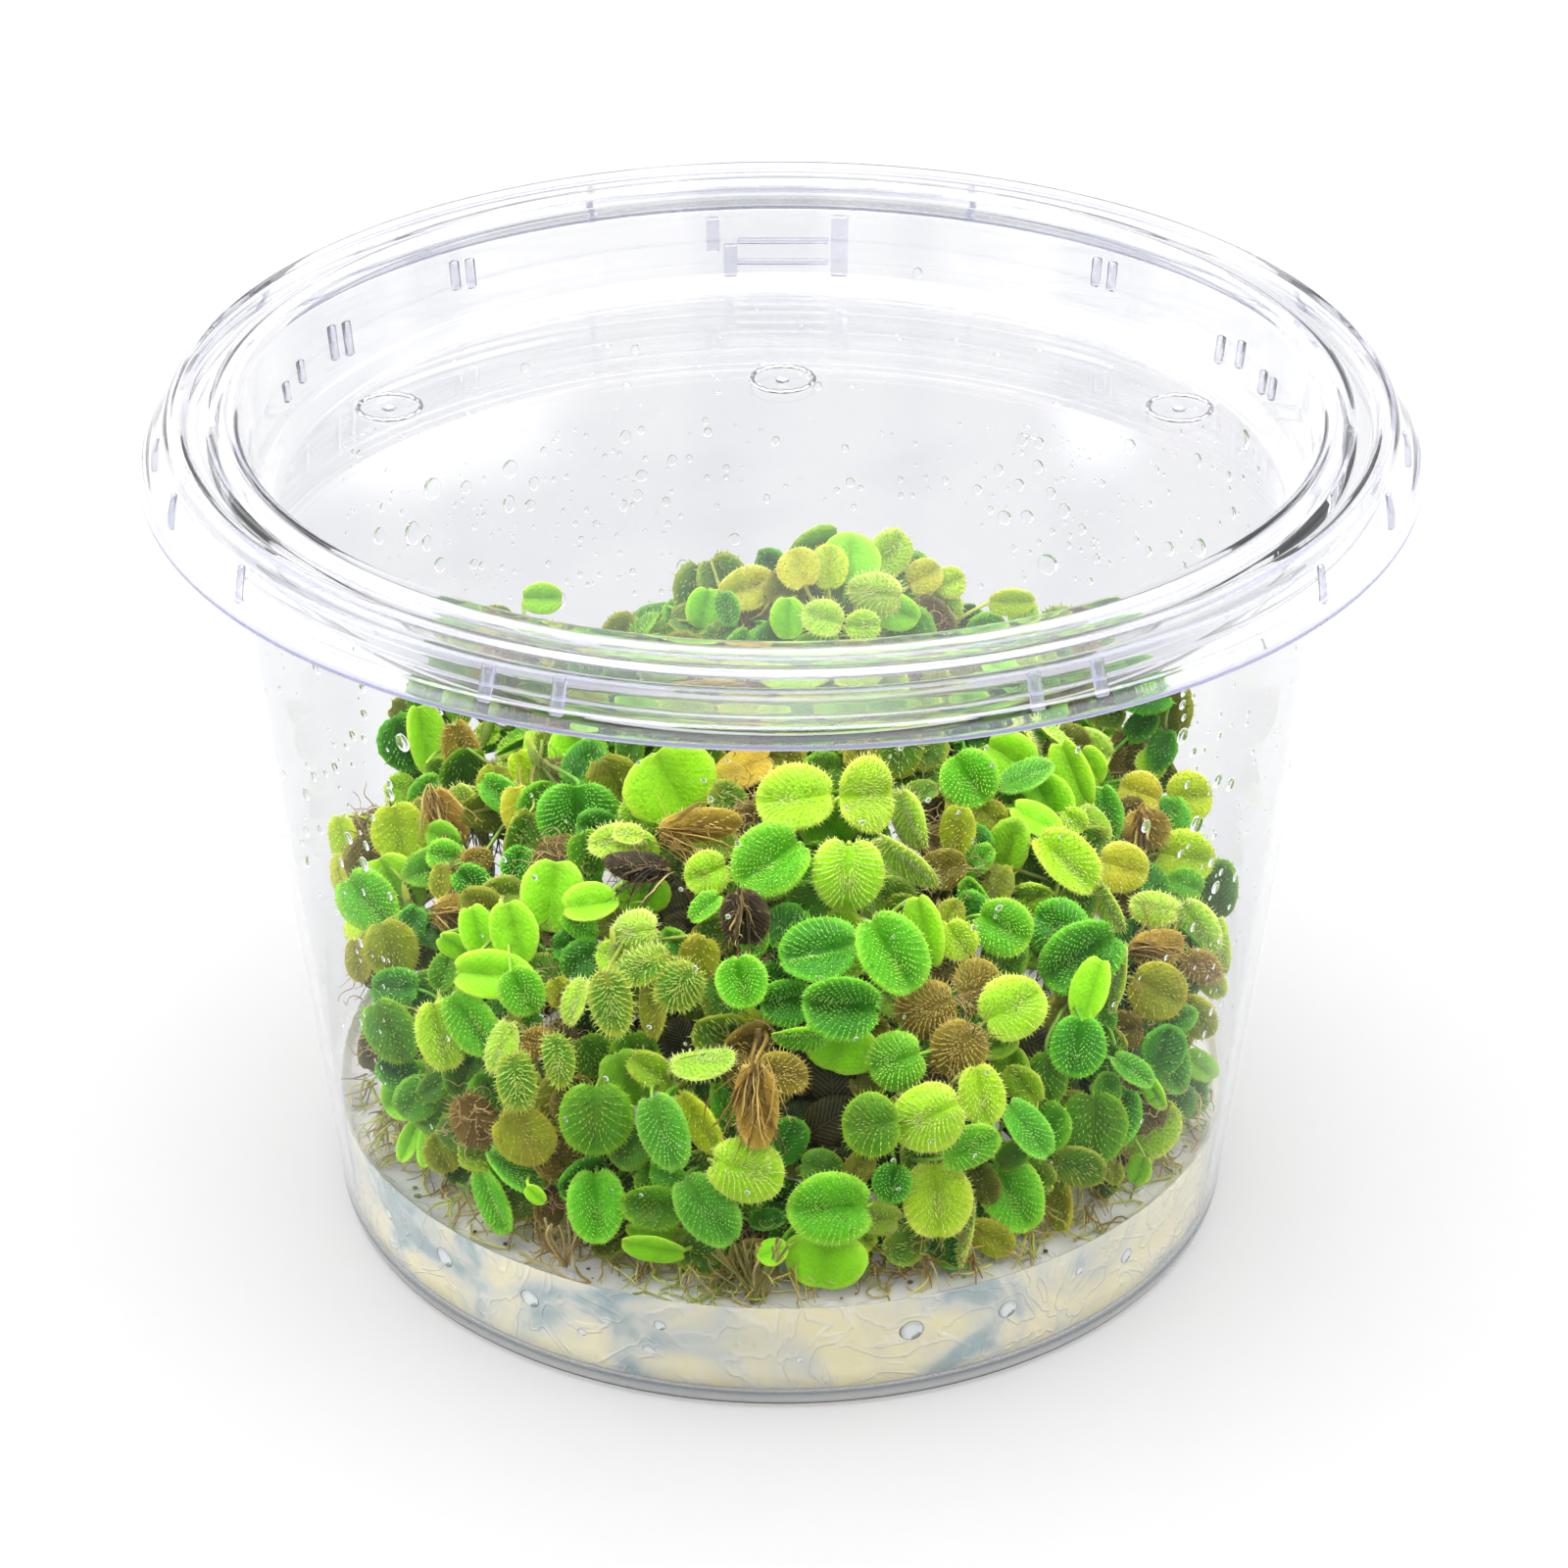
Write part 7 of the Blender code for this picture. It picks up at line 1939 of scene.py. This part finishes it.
def studio():
    mesh = bpy.data.meshes.new("studio_floor")
    mesh.from_pydata([(-4, -4, 0), (4, -4, 0), (4, 4, 0), (-4, 4, 0)], [], [[0, 1, 2, 3]])
    mesh.update()
    mesh.materials.append(floor_material())
    floor = bpy.data.objects.new("studio_floor", mesh)
    floor.location.z = -0.00005
    bpy.context.scene.collection.objects.link(floor)

    world = bpy.data.worlds.new("studio")
    bpy.context.scene.world = world
    world.use_nodes = True
    t = world.node_tree
    t.nodes.clear()
    out = t.nodes.new('ShaderNodeOutputWorld')
    back = t.nodes.new('ShaderNodeBackground')
    co = t.nodes.new('ShaderNodeTexCoord')
    sep = t.nodes.new('ShaderNodeSeparateXYZ')
    t.links.new(co.outputs["Generated"], sep.inputs[0])

    def calc(op, a, b=0.0, c=0.0, clamp=False):
        n = t.nodes.new('ShaderNodeMath')
        n.operation, n.use_clamp = op, clamp
        for i, x in enumerate((a, b, c)):
            if hasattr(x, "links"):
                t.links.new(x, n.inputs[i])
            else:
                n.inputs[i].default_value = x
        return n.outputs[0]

    def bell(x, mid, wide):
        """1 at mid, falling smoothly to 0 at wide away from it."""
        d = calc('ABSOLUTE', calc('SUBTRACT', x, mid))
        n = t.nodes.new('ShaderNodeMapRange')
        n.interpolation_type = 'SMOOTHSTEP'
        t.links.new(d, n.inputs[0])
        n.inputs[1].default_value, n.inputs[2].default_value = 0.0, wide
        n.inputs[3].default_value, n.inputs[4].default_value = 1.0, 0.0
        return n.outputs[0]

    ramp = t.nodes.new('ShaderNodeValToRGB')
    stops = [(0.0, (0.66, 0.66, 0.66)), (0.48, (0.66, 0.66, 0.67)), (0.54, (0.66, 0.66, 0.68)), (0.64, (0.58, 0.585, 0.61)),
             (0.75, (0.58, 0.585, 0.61)), (0.86, (0.84, 0.84, 0.84)), (1.0, (1.0, 1.0, 1.0))]
    el = ramp.color_ramp.elements
    while len(el) < len(stops):
        el.new(0.5)
    for e, (p, c) in zip(el, stops):
        e.position, e.color = p, (*c, 1)
    t.links.new(calc('MULTIPLY_ADD', sep.outputs[2], 0.5, 0.5), ramp.inputs[0])
    # soft boxes overhead, at both sides and behind
    top = calc('MULTIPLY', bell(sep.outputs[2], 1.0, 0.50), 4.3)
    left = calc('MULTIPLY', calc('MULTIPLY', bell(sep.outputs[0], -0.92, 0.30), bell(sep.outputs[2], 0.30, 0.42)), 3.0)
    right = calc('MULTIPLY', calc('MULTIPLY', bell(sep.outputs[0], 0.95, 0.22), bell(sep.outputs[2], 0.30, 0.36)), 2.0)
    rear = calc('MULTIPLY', calc('MULTIPLY', bell(sep.outputs[1], 0.85, 0.22), bell(sep.outputs[0], -0.42, 0.34)), 2.2)
    front = calc('MULTIPLY', calc('MULTIPLY', bell(sep.outputs[2], 0.62, 0.13), bell(sep.outputs[0], 0.0, 0.62)), calc('LESS_THAN', sep.outputs[1], 0.0))
    front = calc('MULTIPLY', front, 2.2)
    # two window-like panes high behind, which the lid's panel mirrors
    ahead = calc('GREATER_THAN', sep.outputs[1], 0.0)
    pane = calc('MULTIPLY', calc('MULTIPLY', bell(sep.outputs[0], -0.083, 0.046), bell(sep.outputs[2], 0.408, 0.030)), 2.6)
    strip = calc('MULTIPLY', calc('MULTIPLY', bell(sep.outputs[0], 0.068, 0.015), bell(sep.outputs[2], 0.411, 0.024)), 1.6)
    panes = calc('MULTIPLY', calc('ADD', pane, strip), ahead)
    extra = calc('ADD', calc('ADD', calc('ADD', calc('ADD', top, front), left), calc('ADD', right, rear)), panes)
    n = t.nodes.new('ShaderNodeMix')
    n.data_type, n.blend_type = 'RGBA', 'ADD'
    n.inputs[0].default_value = 1.0
    facing = t.nodes.new('ShaderNodeMapRange')
    t.links.new(sep.outputs[1], facing.inputs[0])
    facing.inputs[1].default_value, facing.inputs[2].default_value = -0.45, 0.25
    facing.inputs[3].default_value, facing.inputs[4].default_value = 0.70, 1.0
    dim = t.nodes.new('ShaderNodeMix')
    dim.data_type, dim.blend_type = 'RGBA', 'MULTIPLY'
    dim.inputs[0].default_value = 1.0
    t.links.new(ramp.outputs[0], dim.inputs[6])
    grey = t.nodes.new('ShaderNodeCombineColor')
    for i in range(3):
        t.links.new(facing.outputs[0], grey.inputs[i])
    t.links.new(grey.outputs[0], dim.inputs[7])
    t.links.new(dim.outputs[2], n.inputs[6])
    comb = t.nodes.new('ShaderNodeCombineColor')
    for i in range(3):
        t.links.new(extra, comb.inputs[i])
    t.links.new(comb.outputs[0], n.inputs[7])
    t.links.new(n.outputs[2], back.inputs["Color"])
    back.inputs["Strength"].default_value = WORLD_LEVEL
    t.links.new(back.outputs[0], out.inputs[0])
    world.cycles.sampling_method = 'NONE'


def camera():
    cam = bpy.data.cameras.new("front")
    cam.sensor_width = 36.0
    cam.lens = VIEW_SCALE / 1600.0 * 36.0
    cam.shift_x = (800.0 - VIEW_X0) / 1600.0
    cam.clip_start = 0.01
    cam.clip_end = 50.0
    cam.dof.use_dof = False
    obj = bpy.data.objects.new("front", cam)
    obj.location = EYE * 0.001
    obj.rotation_euler = (math.pi / 2 - VIEW_TILT, 0.0, 0.0)
    bpy.context.scene.collection.objects.link(obj)
    bpy.context.scene.camera = obj


# ---------------------------------------------------------------- everything
def ride(obj, node=None):
    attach(obj, "root")
    if node:
        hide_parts(node)
    return obj


def build():
    rng = np.random.default_rng(2024)
    live = [blade_material("leaf_blade"), hair_material("leaf_hair"), thread_material("leaf_thread")]
    gone = [blade_material("dead_blade", True), hair_material("dead_hair", True), thread_material("dead_thread")]

    ride(cup_mesh().build("cup_clear", [plastic_material("cup_clear", (0.945, 0.947, 0.954), 1.10)], 50), "cup")
    # lid_marks: a darker lavender tint on the ribs, tabs and ring marks, painted shade for the lines seen along them
    ride(lid_mesh().build("lid_clear", [plastic_material("lid_clear", (0.955, 0.955, 0.966), 1.07, 0.9),
                                        plastic_material("lid_marks", (0.86, 0.862, 0.94), 1.20, 0.9)], 50), "lid")
    ride(gel_mesh().build("agar_poured", [gel_material("agar"), bubble_material("agar_bubble")], 60), "agar_gel")
    ride(drops_mesh().build("condensation", [water_material("water")]))

    groups_of_rows = PLANTS + DEAD
    rows = [main_leaves(g) for g in groups_of_rows]
    placed, shapes = place_leaves(rows)
    groups = [[placed[(gi, ri)] for ri in range(len(g)) if (gi, ri) in placed] for gi, g in enumerate(rows)]
    groups += back_groups(len(groups), shapes)

    limbs, found = [], []
    counts = [0, 0]
    for gi, leaves in enumerate(groups):
        dead = len(PLANTS) <= gi < len(PLANTS) + len(DEAD)
        counts[dead] += 1
        name = ("dead_frond_%02d" if dead else "plantlet_%02d") % counts[dead]
        hit = joints_of(leaves, gi, shapes, limbs) if leaves else None
        if not hit:
            continue
        node, reach, stem = hit
        for leaf in reach:
            whole = leaf.solid(node)
            if whole:
                limbs.append(Shape(whole))
            elif (leaf.base() - node).length > 0.2:
                limbs.append(Shape(rod(node, leaf.base(), STALK_R, STALK_R, 3, 0.1)))
        limbs.append(Shape(rod(stem[0], stem[1], HUB_R, HUB_R, 4, 0.7) if stem else rod(node - ABOVE * 0.9, node + ABOVE * 0.9, HUB_R, HUB_R, 4)))
        found.append([gi, name, dead, list(leaves), node, stem])

    # the smaller leaves of the front plantlets
    slim = [(gi, Shape(leaf.plate(-0.10))) for gi, name, dead, leaves, node, stem in found for leaf in leaves]
    rest = []
    for entry in found:
        gi = entry[0]
        if gi >= len(groups_of_rows):
            continue
        main = main_leaves(groups_of_rows[gi])
        rest += [(row[10], gi, ri, row, entry) for ri, row in enumerate(groups_of_rows[gi]) if row not in main]
    rest.sort(key=lambda e: (-e[0], e[1], e[2]))
    for _, gi, ri, row, entry in rest:
        leaf = fit_row(row, gi, slim)
        if leaf:
            entry[3].append(leaf)
            slim.append((gi, Shape(leaf.plate(-0.10))))

    front_fill(slim, [e for e in found if e[0] < len(groups_of_rows)])

    # further leaves for the plantlets of the far side
    for entry in found:
        if entry[0] < len(groups_of_rows):
            continue
        c = sum((leaf.c for leaf in entry[3]), Vector()) / len(entry[3])
        n0 = heap_normal(c.x, c.y)
        for i in range(40):
            length = 4.4 + 2.6 * golden(i * 3 + entry[0])
            leaf = skin_leaf(c, n0, 2 * math.pi * golden(i * 5 + entry[0]), math.radians(-20 + 55 * golden(i * 11)), length,
                             length * (0.8 + 0.25 * golden(i * 7)), 6 + 30 * golden(i * 13), 0.0, 'ysglmdh'[i % 7],
                             1.5 + 5.0 * golden(i * 9), 3.0 * golden(i * 15) - 1.8)
            if not hidden(leaf.c, 1.0) or not inside_cup(leaf.plate(0.05)[0]):
                continue
            probe = Shape(leaf.plate(-0.10))
            if any(probe.hits(sh) for _, sh in slim):
                continue
            entry[3].append(leaf)
            slim.append((entry[0], probe))
            if len(entry[3]) >= 8:
                break

    for gi, name, dead, leaves, node, stem in found:
        seed = np.random.default_rng(1000 + gi)
        obj = plant_piece(name + ("_blades" if dead else "_fronds"), leaves, node, stem, seed, dead, gone if dead else live)
        ride(obj, name)

    # plantlets of the sides and back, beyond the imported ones
    for k, (centre, n0, leaves) in enumerate(rear_groups(slim, 34)):
        seed = np.random.default_rng(3000 + k)
        node = centre - n0 * 2.6
        end = node - n0 * 2.0 + Vector((0, 0, -3.0))
        obj = plant_piece("rear_plantlet_%02d" % (k + 1), leaves, node, (node, end) if end.z > GEL_TOP + 1.0 else None, seed, False, live, 0.5, 6)
        ride(obj)

    # leaves darkened with painted shade by their depth, and brown threads, inside the heap, in eight sectors
    inner = cave_backs(slim)
    inner += inner_leaves(slim, 760)
    sectors = [Piece() for _ in range(8)]
    seed = np.random.default_rng(4000)
    for leaf, deep in inner:
        k = int((math.atan2(leaf.c.y, leaf.c.x) + math.pi) / (2 * math.pi) * 8) % 8
        # painted shade: the deeper a leaf lies, the darker its colour
        shade = 0.46 - 0.045 * deep
        blade = leaf_mesh(sectors[k], leaf, seed, fine=False, shade=shade, hair=0.0)
        end = leaf.base() - heap_normal(leaf.c.x, leaf.c.y) * 3.0
        stalk(sectors[k], leaf, blade, end, seed)
    for k in range(40):
        a, q = seed.uniform(0, 2 * math.pi), math.sqrt(seed.random())
        x, y = 36 * q * math.cos(a), 2 + 33 * q * math.sin(a)
        z = heap_height(x, y) - seed.uniform(2.5, 7.0)
        if z < GEL_TOP + 3 or in_opening(Vector((x, y, z))):
            continue
        s = int((math.atan2(y, x) + math.pi) / (2 * math.pi) * 8) % 8
        root_tuft(sectors[s], (x, y, z), seed.normal(size=3) + np.array([0, 0, -1.0]), 6.0, seed, 12, 0.7)
    for k, piece in enumerate(sectors):
        if piece.count:
            ride(piece.build("inner_fronds_%d" % (k + 1), live))

    ride(roots_mesh().build("loose_roots", live))


build()
studio()
camera()

scene = bpy.context.scene
scene.view_settings.view_transform = 'Standard'
scene.view_settings.look = 'None'
scene.cycles.max_bounces = 36
scene.cycles.transmission_bounces = 36
scene.cycles.transparent_max_bounces = 32
scene.cycles.glossy_bounces = 36
scene.cycles.diffuse_bounces = 4
